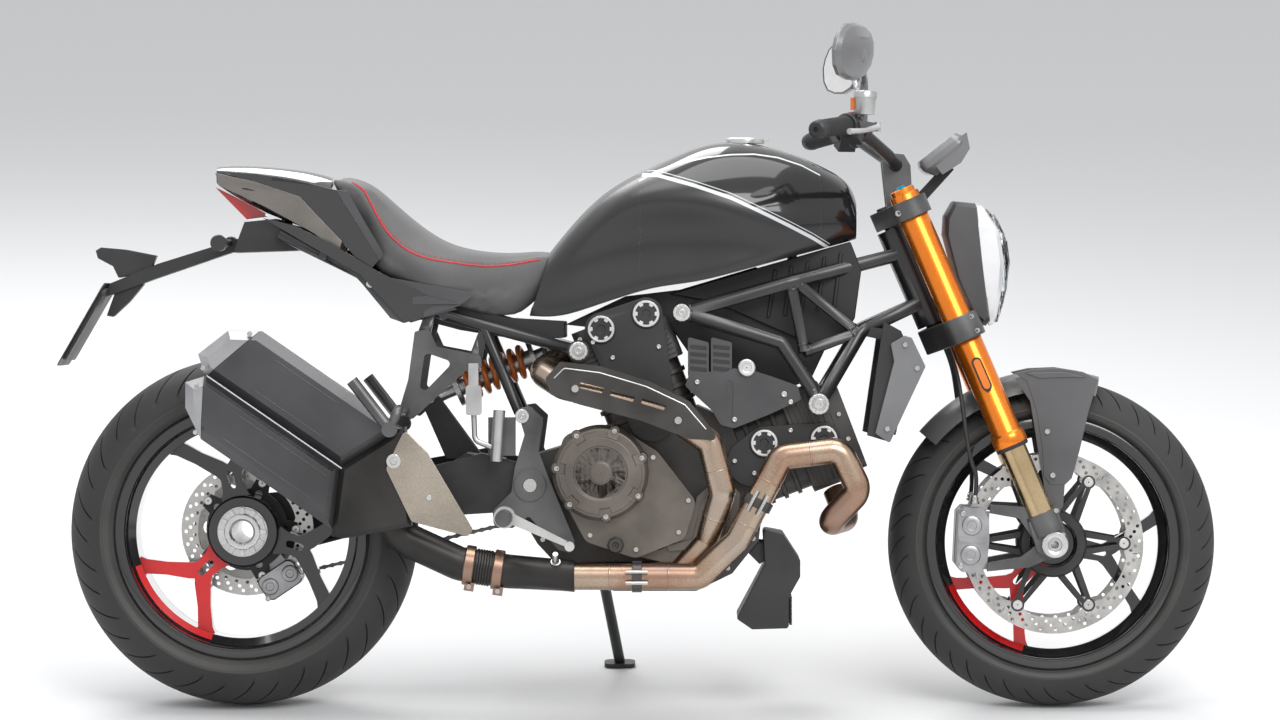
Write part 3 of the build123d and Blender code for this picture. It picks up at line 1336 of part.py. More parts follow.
def pedal(near, inner, arm, toe):
    """A foot lever whose hub turns on the root of the peg, with a round toe piece."""
    hub = inner + BRACKET_T + FIT + HUB_HALF
    with BuildPart() as lever:
        add_disc(PEG_X, PEG_Z, 20, near * (hub - HUB_HALF), near * (hub + HUB_HALF))
        with BuildSketch(side(near * (hub - 4))) as blade:
            with BuildLine() as edges:
                CenterArc((PEG_X + 8, PEG_Z), 10, 0, 360)
                CenterArc(arm, 5, 0, 360)
            make_hull(edges.edges())
        extrude(blade.sketch, amount=near * 8)
        add_disc(*arm, 9, near * (hub - 4), near * (hub - 4 + toe))
        add_disc(PEG_X, PEG_Z, PEG_STUB_R + FIT, near * inner, near * (hub + 20), mode=Mode.SUBTRACT)
    return lever

PUMP_X, PUMP_RIGHT = -273.0, BRACKET_IN + BRACKET_T + FIT + 11
with BuildPart() as footrests:
    add(bracket(1, BRACKET_IN))
    add_plate([(-238, 532), (-288, 532), (-288, 462), (-238, 462)], BRACKET_IN, BRACKET_IN + BRACKET_T)
    add(bracket(-1, LEFT_BRACKET_IN))
    add_disc(PIVOT_X, PIVOT_Z, 20, -LEFT_BRACKET_IN, -ARM_OUT - 1)
    add_disc(PIVOT_X, PIVOT_Z, 12.5 + FIT, -LEFT_BRACKET_IN, -ARM_OUT - 1, mode=Mode.SUBTRACT)
    add_disc(-226, 534, 9, -LEFT_BRACKET_IN, -BRACKET_IN)
keep(footrests, "footrests")
with BuildPart() as foot_pedals:
    add(pedal(1, BRACKET_IN, (-139, 299), 46))
    add(pedal(-1, LEFT_BRACKET_IN, (-112, 306), 52))
keep(foot_pedals, "foot_pedals")


def passenger_hanger(near):
    """The open bracket that carries a folded passenger footrest outside the silencers."""
    root = at(-462, 512, near * 232)
    with BuildPart() as hanger:
        add_plate(
            [(-422, 688), (-396, 692), (-382, 660), (-330, 650), (-302, 644), (-300, 622), (-330, 616),
             (-426, 528), (-452, 540), (-434, 600)],
            near * HANGER_IN,
            near * (HANGER_IN + HANGER_T),
            corner=5,
        )
        add_plate(
            [(-404, 650), (-352, 632), (-416, 566)],
            near * HANGER_IN,
            near * (HANGER_IN + HANGER_T),
            corner=8,
            mode=Mode.SUBTRACT,
        )
        add_tube([at(-440, 544, near * 130), at(-446, 548, near * 232), root], 9, bend=14)
        add_disc(root.X, root.Z, 14, near * 220, near * 244)
        add_rod(root, at(-530, 600, near * 232), 11)
    return hanger

with BuildPart() as passenger_hangers:
    add(passenger_hanger(1))
    add(passenger_hanger(-1))
keep(passenger_hangers, "passenger_hangers")
TAB_LOW = HANGER_IN + HANGER_T + FIT
with BuildPart() as rear_pump:
    add_rod(at(PUMP_X, 452, PUMP_RIGHT), at(PUMP_X + 6, 545, PUMP_RIGHT), 11)
    add_plate([(-328, 536), (-300, 536), (-300, 590), (-328, 590)], TAB_LOW, TAB_LOW + 26, corner=5)
    add_plate([(-324, 585), (-306, 585), (-306, 630), (-324, 630)], TAB_LOW, TAB_LOW + 4)
    add_tube([at(-314, 540, TAB_LOW + 12), at(-312, 490, TAB_LOW + 14), at(PUMP_X, 474, PUMP_RIGHT)], 5, bend=14)
keep(rear_pump, "rear_brake_pump")
REAR_CALIPER_R, REAR_CALIPER_ANGLE = 112.0, -56.0
with BuildPart() as rear_caliper:
    add(make_caliper(REAR_AXLE, REAR_DISC_Y, REAR_CALIPER_R, REAR_CALIPER_ANGLE, 78, 50, REAR_DISC_R, 28))
    with BuildSketch(wheel_face(REAR_AXLE, FIT - SWINGARM_HUB_IN)):
        Circle(66)
        with PolarLocations(74, 1, start_angle=REAR_CALIPER_ANGLE):
            Rectangle(60, 50)
        Circle(REAR_SHAFT_R + RUN_CLEAR, mode=Mode.SUBTRACT)
    extrude(amount=3)
keep(rear_caliper, "rear_caliper")

# ---------------------------------------------------------------- side stand
GROUND = Plane(PARK.inverse())
FOOT_T = 8.0
foot_spot = GROUND.to_local_coords(Vector(STAND_PIVOT.X + 36, STAND_FOOT_Y, 52))
foot_top = GROUND.from_local_coords((foot_spot.X, foot_spot.Y, FOOT_T))
with BuildPart() as side_stand:
    add_rod(STAND_PIVOT - STAND_AXIS * 13, STAND_PIVOT + STAND_AXIS * 13, 16, 6 + FIT)
    add_rod(STAND_PIVOT + (foot_top - STAND_PIVOT).normalized() * 13, foot_top, 10)
    with BuildSketch(GROUND):
        with Locations((foot_spot.X, foot_spot.Y)):
            RectangleRounded(58, 42, 14)
    extrude(amount=FOOT_T)
keep(side_stand, "side_stand")

# ---------------------------------------------------------------- park and write
os.makedirs("parts", exist_ok=True)
parked = {name: PARK * piece for name, piece in PIECES.items()}
box = Compound(children=[piece for piece in parked.values()]).bounding_box()
TO_CENTRE = Location((-box.center().X, -box.center().Y, 0))
PLACE = TO_CENTRE * PARK
for name, piece in PIECES.items():
    placed = PLACE * piece
    placed.label = name
    export_step(placed, f"parts/{name}.step")
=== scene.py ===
import json
from math import asin, atan2, ceil, cos, degrees, pi, radians, sin, tan

import bmesh
import bpy
import numpy as np
from mathutils import Matrix, Vector
from mathutils.bvhtree import BVHTree
from mathutils.geometry import tessellate_polygon


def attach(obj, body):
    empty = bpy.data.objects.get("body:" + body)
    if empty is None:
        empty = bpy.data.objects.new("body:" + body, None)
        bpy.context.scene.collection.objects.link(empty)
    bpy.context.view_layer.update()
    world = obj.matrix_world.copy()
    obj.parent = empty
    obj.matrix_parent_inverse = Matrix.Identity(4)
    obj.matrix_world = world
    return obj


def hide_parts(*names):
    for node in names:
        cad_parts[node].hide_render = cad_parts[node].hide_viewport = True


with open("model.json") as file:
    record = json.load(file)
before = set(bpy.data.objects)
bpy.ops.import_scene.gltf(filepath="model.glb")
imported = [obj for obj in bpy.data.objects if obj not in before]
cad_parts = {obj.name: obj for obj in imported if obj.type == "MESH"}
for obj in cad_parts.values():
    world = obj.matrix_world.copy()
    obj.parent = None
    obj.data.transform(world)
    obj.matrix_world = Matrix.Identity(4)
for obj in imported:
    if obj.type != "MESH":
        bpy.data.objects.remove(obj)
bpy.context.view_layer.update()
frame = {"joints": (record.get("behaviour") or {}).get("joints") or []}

# ------------------------------------------------------------ how it is parked
# The motorcycle leans on its side stand. Each piece is drawn upright in
# millimetres, +X forward and +Z up from the ground midway between the axles,
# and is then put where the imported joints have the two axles.
joints = {joint["name"]: joint for joint in frame["joints"]}
front_axle = Vector(joints["front_wheel_spin"]["pos_m"])
rear_axle = Vector(joints["rear_wheel_spin"]["pos_m"])
left = Vector(joints["rear_wheel_spin"]["axis"]).normalized()
WHEELBASE = 1485.0
FRONT_RADIUS, REAR_RADIUS = 300.0, 320.0
axle_line = (front_axle - rear_axle).normalized()
dip = atan2(REAR_RADIUS - FRONT_RADIUS, WHEELBASE)
ahead = axle_line * cos(dip) + axle_line.cross(left) * sin(dip)
parked = (
    Matrix.Translation(rear_axle)
    @ Matrix((ahead, left, ahead.cross(left))).transposed().to_4x4()
    @ Matrix.Scale(0.001, 4)
    @ Matrix.Translation((WHEELBASE / 2, 0, -REAR_RADIUS))
)


def put_in(name, data):
    """A new object of this data, linked into the scene."""
    made = bpy.data.objects.new(name, data)
    bpy.context.scene.collection.objects.link(made)
    return made


def worked_out(piece):
    """The piece with its modifiers worked out."""
    return piece.evaluated_get(bpy.context.evaluated_depsgraph_get())


def face_outward(mesh):
    drawn = bmesh.new()
    drawn.from_mesh(mesh)
    bmesh.ops.recalc_face_normals(drawn, faces=drawn.faces)
    drawn.to_mesh(mesh)
    drawn.free()


def break_edges(piece, width, angle, rounds):
    """Round off the edges that are sharper than an angle, by a width in millimetres."""
    broken = piece.modifiers.new("broken_edges", "BEVEL")
    broken.width, broken.segments = width / 1000, rounds
    broken.limit_method, broken.angle_limit = "ANGLE", radians(angle)
    broken.harden_normals = True


def declare(piece, body, slot, *nodes):
    """Say which body a piece rides on and hide the CAD nodes that it stands in for. Its slot is not used."""
    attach(piece, body)
    if nodes:
        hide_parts(*nodes)
    return piece


def wire(tree, pairs):
    for here, there in pairs:
        tree.links.new(here, there)


# ------------------------------------------------------------ camera
# A long lens square to the right-hand side, level with the tank.
STAND_AT, LOOK_AT = Vector((122, -10300, 745)), Vector((-13.8, 0, 634.6))
lens = bpy.data.cameras.new("long_lens")
lens.lens = 157.3
lens.clip_end = 100
camera = put_in("camera", lens)
camera.location = parked @ STAND_AT
aim = parked @ LOOK_AT
toward = (camera.location - aim).normalized()
side_on = ahead.cross(left).cross(toward).normalized()
camera.rotation_euler = Matrix((side_on, toward.cross(side_on), toward)).transposed().to_euler()
bpy.context.scene.camera = camera

# ------------------------------------------------------------ finishes and drawing
# Every finish varies its colour and gloss with noise, from one ramp to another.
GRAIN_SHARE = 0.35
TINT_SPAN, GLOSS_SPAN = (0.45, 0.9), (0.4, 0.95)


def surface(name, dark, light, rough, metal=0.0, patch=14.0, grain=600.0, relief=0.0, stretch=(1, 1, 1), **fixed):
    """A finish whose colour, gloss and relief all vary, broadly and at the size of its grain."""
    made = bpy.data.materials.new(name)
    made.use_nodes = True
    nodes, links = made.node_tree.nodes, made.node_tree.links
    shade = nodes["Principled BSDF"]
    shade.inputs["Metallic"].default_value = metal
    for socket, value in fixed.items():
        shade.inputs[socket.replace("_", " ")].default_value = value
    place = nodes.new("ShaderNodeTexCoord")
    turn = nodes.new("ShaderNodeMapping")
    turn.inputs["Scale"].default_value = stretch
    links.new(place.outputs["Object"], turn.inputs["Vector"])
    broad, fine = nodes.new("ShaderNodeTexNoise"), nodes.new("ShaderNodeTexNoise")
    for noise, scale, detail in ((broad, patch, 3), (fine, grain, 2)):
        noise.inputs["Scale"].default_value = scale
        noise.inputs["Detail"].default_value = detail
        links.new(turn.outputs["Vector"], noise.inputs["Vector"])
    both = nodes.new("ShaderNodeMath")
    both.operation = "MULTIPLY_ADD"
    both.inputs[1].default_value = GRAIN_SHARE
    links.new(fine.outputs["Fac"], both.inputs[0])
    links.new(broad.outputs["Fac"], both.inputs[2])
    tint = nodes.new("ShaderNodeValToRGB")
    for stop, position, colour in zip(tint.color_ramp.elements, TINT_SPAN, (dark, light)):
        stop.position, stop.color = position, (*colour, 1)
    links.new(both.outputs["Value"], tint.inputs["Fac"])
    links.new(tint.outputs["Color"], shade.inputs["Base Color"])
    gloss = nodes.new("ShaderNodeMapRange")
    gloss.inputs["From Min"].default_value, gloss.inputs["From Max"].default_value = GLOSS_SPAN
    gloss.inputs["To Min"].default_value, gloss.inputs["To Max"].default_value = rough
    links.new(both.outputs["Value"], gloss.inputs["Value"])
    links.new(gloss.outputs["Result"], shade.inputs["Roughness"])
    if relief:
        bump = nodes.new("ShaderNodeBump")
        bump.inputs["Strength"].default_value = 1.0
        bump.inputs["Distance"].default_value = relief / 1000
        links.new(fine.outputs["Fac"], bump.inputs["Height"])
        links.new(bump.outputs["Normal"], shade.inputs["Normal"])
    return made


def hang(name, parts, finishes, body, slot, *nodes, edge=0.0, smooth=38, rounds=2):
    """Join drawn parts into one parked piece that rides on its body, in place of its CAD nodes.
    A part is its points, its faces and the number of its finish."""
    mesh = bpy.data.meshes.new(name)
    points, faces, numbers = [], [], []
    for some_points, some_faces, number in parts:
        start = len(points)
        points += [tuple(p) for p in some_points]
        faces += [[start + i for i in face] for face in some_faces]
        numbers += list(number) if isinstance(number, (list, np.ndarray)) else [number] * len(some_faces)
    mesh.from_pydata(points, [], faces)
    mesh.polygons.foreach_set("material_index", np.array(numbers, dtype=np.int32))
    face_outward(mesh)
    mesh.transform(parked)
    mesh.shade_smooth()
    mesh.set_sharp_from_angle(angle=radians(smooth))
    for finish in finishes:
        mesh.materials.append(finish)
    piece = put_in(name, mesh)
    if edge:
        break_edges(piece, edge, smooth, rounds)
    return declare(piece, body, slot, *nodes)


def grid(rows, columns, closed_rows=False, closed_columns=True):
    """Faces of a grid whose points are listed column by column."""
    return [
        (
            c * rows + r,
            c * rows + (r + 1) % rows,
            (c + 1) % columns * rows + (r + 1) % rows,
            (c + 1) % columns * rows + r,
        )
        for c in range(columns if closed_columns else columns - 1)
        for r in range(rows if closed_rows else rows - 1)
    ]


def end_faces(rows, columns):
    """The first and the last column of a grid, each as one face."""
    return [tuple(range(rows)), tuple(range((columns - 1) * rows, columns * rows))]


# ------------------------------------------------------------ tyres
# Radial road tyres, moulded in black rubber: a crowned tread with slanting
# rain grooves, and side walls with ribs that guard the rim.
tread_rubber = surface(
    "tread_rubber", (0.017, 0.017, 0.018), (0.036, 0.035, 0.034), (0.55, 0.8), grain=1500, relief=0.05, patch=9
)
wall_rubber = surface(
    "wall_rubber", (0.028, 0.027, 0.026), (0.06, 0.058, 0.055), (0.45, 0.62), grain=900, relief=0.03, patch=6
)
GROOVE_DEPTH = 3.4
GROOVE_STEPS = [-0.5, -0.34, 0.34, 0.5]
TREAD_STEPS, WALL_STEPS = 45, 22
RIM_SEAT, BEAD_FOOT, WALL_THICK = 232.5, 219.0, 10
RIBS = [(0.12, 0.17), (0.5, 0.56), (0.62, 0.66), (0.78, 0.98)]


def draw_tyre(name, x, radius, width, drop, bead, grooves, sweep, groove_width, body):
    half = width / 2
    crown = (half**2 + drop**2) / (2 * drop)
    reach = asin(half / crown)
    top = radius - crown
    tread = [(crown * sin(a), top + crown * cos(a)) for a in np.linspace(-reach, reach, TREAD_STEPS)]
    wall = []
    bow = ((half + bead) / 2 + 4, (radius - drop + RIM_SEAT) / 2 - 1)
    control = (2 * bow[0] - (half + bead) / 2, 2 * bow[1] - (radius - drop + RIM_SEAT) / 2)
    for t in np.linspace(0.05, 1, WALL_STEPS):
        rib = 0.7 if any(start < t < end for start, end in RIBS) else 0.0
        wall.append(
            (
                (1 - t) ** 2 * half + 2 * t * (1 - t) * control[0] + t * t * bead + rib,
                (1 - t) ** 2 * (radius - drop) + 2 * t * (1 - t) * control[1] + t * t * RIM_SEAT,
            )
        )
    wall += [(bead, BEAD_FOOT), (bead - 14, BEAD_FOOT), (bow[0] - WALL_THICK, bow[1]),
             (half - WALL_THICK, radius - drop - 4)]
    inside = [(y, r - 9) for y, r in tread[6:-6:6]]
    ring = [(-y, r) for y, r in reversed(wall)] + tread + wall + inside[::-1]
    first = len(wall)
    points, columns = [], []
    pitch = 360 / grooves
    cut = degrees(groove_width / radius)
    for g in range(grooves):
        columns += [(g * pitch + cut * step, g % 2, abs(step) < 0.4) for step in GROOVE_STEPS]
        columns += [(g * pitch + cut / 2 + (pitch - cut) * f, g % 2, False) for f in (0.25, 0.5, 0.75)]
    for angle, longer, sunk in columns:
        for row, (y, r) in enumerate(ring):
            across = min(abs(y) / half, 1) if row < first + TREAD_STEPS + len(wall) else 1
            lean = radians(angle + sweep * across**1.25)
            start, end = (0.1, 0.86) if longer else (0.42, 0.93)
            deep = 0.0
            if sunk and first <= row < first + TREAD_STEPS and start < across < end:
                deep = GROOVE_DEPTH * min(1, (across - start) / 0.07, (end - across) / 0.07)
            out = Vector((y, r - top)).normalized() * deep
            y, r = y - out.x, r - out.y
            points.append((x + r * cos(lean), y, radius + r * sin(lean)))
    rows = len(ring)
    faces = grid(rows, len(columns), closed_rows=True)
    numbers = [0 if first <= i % rows < first + TREAD_STEPS - 1 else 1 for i in range(len(faces))]
    return hang(name, [(points, faces, numbers)], [tread_rubber, wall_rubber], body, "tyre", name, smooth=50)


FRONT_X, REAR_X = WHEELBASE / 2, -WHEELBASE / 2
draw_tyre("front_tyre", FRONT_X, FRONT_RADIUS, width=120, drop=50, bead=44.2, grooves=44, sweep=-13, groove_width=4.4,
          body="front_wheel")
draw_tyre("rear_tyre", REAR_X, REAR_RADIUS, width=190, drop=62, bead=75.7, grooves=36, sweep=17, groove_width=4.8,
          body="rear_wheel")

# ------------------------------------------------------------ wheels
# Cast alloy wheels, three spokes that fork into a Y, enamelled gloss black.
# One Y is red on its outer face, with a red arc on the rim between its arms.
def lathe(profile, x, z, segments=144, start=0.0, turn=360.0):
    """Turn a closed profile of (left, radius) points round an axle."""
    whole = turn == 360.0
    steps = segments if whole else segments + 1
    points = []
    for k in range(steps):
        angle = radians(start + turn * k / segments)
        points += [(x + r * cos(angle), y, z + r * sin(angle)) for y, r in profile]
    faces = grid(len(profile), steps, closed_rows=True, closed_columns=whole)
    if not whole:
        faces += end_faces(len(profile), steps)
    return points, faces


def plate(outline, holes, inner, outer, place=lambda a, b, right: (a, -right, b)):
    """A flat plate with its outline and holes, between two distances to the right."""
    loops = [[Vector((a, b, 0)) for a, b in loop] for loop in (outline, *holes)]
    flat = [p for loop in loops for p in loop]
    caps = tessellate_polygon(loops)
    count = len(flat)
    points = [place(p.x, p.y, inner) for p in flat] + [place(p.x, p.y, outer) for p in flat]
    faces = [tuple(t) for t in caps] + [tuple(count + i for i in reversed(t)) for t in caps]
    start = 0
    for loop in loops:
        size = len(loop)
        faces += [
            (start + i, start + (i + 1) % size, count + start + (i + 1) % size, count + start + i) for i in range(size)
        ]
        start += size
    return points, faces


def side_plate(outline, near, low, high):
    """A plate between two distances out from the middle, on the right where near is 1 and the left where it is -1."""
    return plate(outline, [], *sorted((near * low, near * high)))


def slot_outline(a, b, length, width, turn=0.0, steps=7):
    """The outline of a slot with round ends, centred on (a, b)."""
    outline = []
    for side in (1, -1):
        for k in range(steps):
            angle = radians(-90 + 180 * k / (steps - 1)) + (0 if side == 1 else pi)
            outline.append((side * (length - width) / 2 + width / 2 * cos(angle), width / 2 * sin(angle)))
    return [
        (a + p * cos(radians(turn)) - q * sin(radians(turn)), b + p * sin(radians(turn)) + q * cos(radians(turn)))
        for p, q in outline
    ]


def circle(a, b, radius, steps=24):
    return [(a + radius * cos(2 * pi * k / steps), b + radius * sin(2 * pi * k / steps)) for k in range(steps)]


gloss_black = surface(
    "gloss_black", (0.008, 0.008, 0.009), (0.014, 0.014, 0.015), (0.1, 0.2), grain=220, relief=0.01, Coat_Weight=0.8,
    Coat_Roughness=0.06,
)
signal_red = surface(
    "signal_red", (0.62, 0.004, 0.006), (0.74, 0.008, 0.01), (0.25, 0.36), grain=300, relief=0.01, Coat_Weight=0.5,
    Coat_Roughness=0.1,
)
SPOKE_TIP = 204.0
ARM_SPREAD = radians(25.6)


def y_outline(hub, fork, stem, arm):
    """One forked spoke along its stem: a waisted stem, and arms that flare into the rim."""
    tip = Vector((SPOKE_TIP * cos(ARM_SPREAD), SPOKE_TIP * sin(ARM_SPREAD)))
    root = Vector((fork - 14, 0))
    run = (tip - root).normalized()
    side = Vector((-run.y, run.x))
    inner = root - side * arm
    crotch = inner + run * (-inner.y / run.y)
    halfway = root.lerp(tip, 0.55)
    upper = [
        Vector((hub - 4, stem + 7)),
        Vector((hub + 12, stem + 1)),
        Vector((fork - 22, stem - 1)),
        root + run * 18 + side * (arm + 3),
        halfway + side * arm,
        root.lerp(tip, 0.88) + side * (arm + 1.5),
        tip + side * (arm + 6),
        tip - side * (arm + 5),
        root.lerp(tip, 0.88) - side * (arm + 0.5),
        halfway - side * (arm - 1),
        crotch + Vector((9, 7)),
        crotch + Vector((2, 0)),
    ]
    return [tuple(p) for p in upper] + [(p.x, -p.y) for p in reversed(upper[:-1])]


def draw_wheel(name, x, z, rim_width, first, hub, fork, stem, arm, depth, barrel_hub, red_spoke, red_arc, body, node):
    """A three-spoke wheel whose first spoke stands at an angle; one spoke and one arc of its rim are red."""
    flange = rim_width / 2 + 7.5
    outside = [
        (flange, 214.5), (flange, 228), (flange - 1.2, 230.4), (flange - 3, 231), (flange - 7, 231),
        (flange - 7.5, 218.5), (flange - 28, 217), (flange - 38, 202.5),
    ]
    inside = [(flange - 36, 195.5), (flange - 25, 209.5), (flange - 8, 211.5), (flange - 3, 212.5)]
    profile = outside + [(-y, r) for y, r in reversed(outside)]
    profile += [(-y, r) for y, r in reversed(inside)] + inside
    parts = [(*lathe(profile, x, z, 180), 0)]
    for k in range(3):
        angle = radians(first + 120 * k)
        place = lambda a, b, right: (
            x + a * cos(angle) - b * sin(angle), -right, z + a * sin(angle) + b * cos(angle)
        )
        window = slot_outline(hub + (fork - hub) * 0.56, 0, (fork - hub) * 0.62, stem * 0.62)
        spoke = plate(y_outline(hub, fork, stem, arm), [window], -depth, depth, place)
        caps = sum(len(face) == 3 for face in spoke[1]) // 2
        numbers = [0] * caps + [1 if k == red_spoke else 0] * caps + [0] * (len(spoke[1]) - 2 * caps)
        parts.append((*spoke, numbers))
    left_hub, right_hub, hub_r, bore = barrel_hub
    parts.append(
        (*lathe([(left_hub, hub_r - 4), (left_hub - 4, hub_r), (-right_hub + 4, hub_r), (-right_hub, hub_r - 4),
                 (-right_hub, bore), (left_hub, bore)], x, z, 96), 0)
    )
    for side in (1, -1):
        strip = [(side * (flange - 34), 195.8), (side * (flange - 26), 206.6), (side * (flange - 25.4), 206.2),
                 (side * (flange - 33.4), 195.2)]
        parts.append((*lathe(strip, x, z, 40, *red_arc), 1))
    return hang(name, parts, [gloss_black, signal_red], body, "wheel_black", node, edge=1.6, rounds=2)


draw_wheel("front_wheel_casting", FRONT_X, FRONT_RADIUS, rim_width=89, first=228, hub=40, fork=112, stem=17, arm=10,
           depth=14, barrel_hub=(56, 56, 42, 13), red_spoke=0, red_arc=(203, 52), body="front_wheel", node="front_rim")
draw_wheel("rear_wheel_casting", REAR_X, REAR_RADIUS, rim_width=152, first=104, hub=66, fork=122, stem=20, arm=12.5,
           depth=19, barrel_hub=(50, 44, 66, 36), red_spoke=1, red_arc=(198, 56), body="rear_wheel", node="rear_rim")

# ------------------------------------------------------------ brake discs
# Drilled steel rings that float on silver bobbins round a black carrier. The
# front ones are on a star of thin arms, the rear one on a lobed plate.
def node_tree(name, inputs):
    """A Geometry Nodes tree with a mesh coming in and going out, and named inputs for its sizes."""
    tree = bpy.data.node_groups.new(name, "GeometryNodeTree")
    tree.interface.new_socket("Mesh", in_out="INPUT", socket_type="NodeSocketGeometry")
    for label, kind in inputs:
        tree.interface.new_socket(label, in_out="INPUT", socket_type=kind)
    tree.interface.new_socket("Mesh", in_out="OUTPUT", socket_type="NodeSocketGeometry")
    return tree, tree.nodes.new("NodeGroupInput"), tree.nodes.new("NodeGroupOutput")


def grown(points, faces, tree, **values):
    """The points and faces that a Geometry Nodes tree makes of a small mesh."""
    mesh = bpy.data.meshes.new("seed")
    mesh.from_pydata([tuple(p) for p in points], [], faces)
    for label, kind, rows in values.pop("attributes", ()):
        layer = mesh.attributes.new(label, kind, "POINT")
        layer.data.foreach_set("vector" if kind == "FLOAT_VECTOR" else "value", np.array(rows, np.float32).ravel())
    seed = put_in("seed", mesh)
    maker = seed.modifiers.new("maker", "NODES")
    maker.node_group = tree
    for item in tree.interface.items_tree:
        if item.in_out == "INPUT" and item.name in values:
            maker[item.identifier] = values[item.name]
    made = bpy.data.meshes.new_from_object(worked_out(seed))
    seed.modifiers.remove(maker)
    result = [v.co.copy() for v in made.vertices], [tuple(p.vertices) for p in made.polygons]
    for spent in (seed, *[v for v in values.values() if isinstance(v, bpy.types.Object)]):
        spent_mesh = spent.data
        bpy.data.objects.remove(spent)
        bpy.data.meshes.remove(spent_mesh)
    bpy.data.meshes.remove(made)
    return result


plain = bpy.data.materials.new("plain")
ring_tree, comes_in, goes_out = node_tree(
    "repeat_round_axle", [("Count", "NodeSocketInt"), ("Step", "NodeSocketFloat"), ("Finish", "NodeSocketMaterial")]
)
spots = ring_tree.nodes.new("GeometryNodePoints")
index = ring_tree.nodes.new("GeometryNodeInputIndex")
angle_of = ring_tree.nodes.new("ShaderNodeMath")
angle_of.operation = "MULTIPLY"
turned = ring_tree.nodes.new("FunctionNodeAxisAngleToRotation")
turned.inputs["Axis"].default_value = (0, -1, 0)
copies = ring_tree.nodes.new("GeometryNodeInstanceOnPoints")
real = ring_tree.nodes.new("GeometryNodeRealizeInstances")
weld = ring_tree.nodes.new("GeometryNodeMergeByDistance")
weld.inputs["Distance"].default_value = 0.02
coat = ring_tree.nodes.new("GeometryNodeSetMaterial")
wire(ring_tree, (
    (comes_in.outputs["Count"], spots.inputs["Count"]),
    (index.outputs[0], angle_of.inputs[0]),
    (comes_in.outputs["Step"], angle_of.inputs[1]),
    (angle_of.outputs[0], turned.inputs["Angle"]),
    (spots.outputs[0], copies.inputs["Points"]),
    (comes_in.outputs["Mesh"], copies.inputs["Instance"]),
    (turned.outputs[0], copies.inputs["Rotation"]),
    (copies.outputs[0], real.inputs[0]),
    (real.outputs[0], weld.inputs[0]),
    (weld.outputs[0], coat.inputs[0]),
    (comes_in.outputs["Finish"], coat.inputs["Material"]),
    (coat.outputs[0], goes_out.inputs[0]),
))


def moved(part, x=0.0, right=0.0, z=0.0):
    points, faces = part
    return [(p[0] + x, p[1] - right, p[2] + z) for p in points], faces


def round_axle(part, count, x, z):
    """Repeat a part, drawn about a wheel's own centre, round its axle."""
    return moved(grown(*part, ring_tree, Count=count, Step=2 * pi / count, Finish=plain), x, 0, z)


def sector(outline, holes, inner, outer, walls):
    """A plate whose side walls run only along the first edges of its outline and round its holes."""
    points, faces = plate(outline, holes, inner, outer)
    caps = sum(len(face) == 3 for face in faces)
    sides = faces[caps:]
    return points, faces[:caps] + [f for i, f in enumerate(sides) if i >= len(outline) or i in walls]


disc_steel = surface(
    "disc_steel", (0.38, 0.37, 0.36), (0.6, 0.59, 0.57), (0.22, 0.38), metal=1.0, grain=420, relief=0.02, patch=25
)
bobbin_silver = surface("bobbin_silver", (0.55, 0.55, 0.54), (0.75, 0.75, 0.74), (0.25, 0.4), metal=1.0, grain=500)
carrier_black = surface(
    "carrier_black", (0.016, 0.016, 0.017), (0.034, 0.034, 0.035), (0.35, 0.5), grain=900, relief=0.02, patch=20
)


def draw_rotor(radius, inside, arms, rows, hole_r, inner, outer, x, z):
    """A drilled ring with a lobe for each arm; a row of holes is its radius, count and shift."""
    half = pi / arms
    arc = [(radius * cos(a), radius * sin(a)) for a in np.linspace(-half, half, 17)]
    back = []
    for a in np.linspace(half, -half, 17):
        depth = inside - 6 * max(0.0, 1 - (abs(a) / (half * 0.34)) ** 4)
        back.append((depth * cos(a), depth * sin(a)))
    holes = []
    for row, (r, count, shift) in enumerate(rows):
        for k in range(count):
            a = (k + 0.5 + shift) / count * 2 * half - half
            holes.append(circle(r * cos(a), r * sin(a), hole_r, 10))
    walls = set(range(16)) | set(range(17, 33))
    return round_axle(sector(arc + back, holes, inner, outer, walls), arms, x, z)


BOBBIN_AT = 129.5


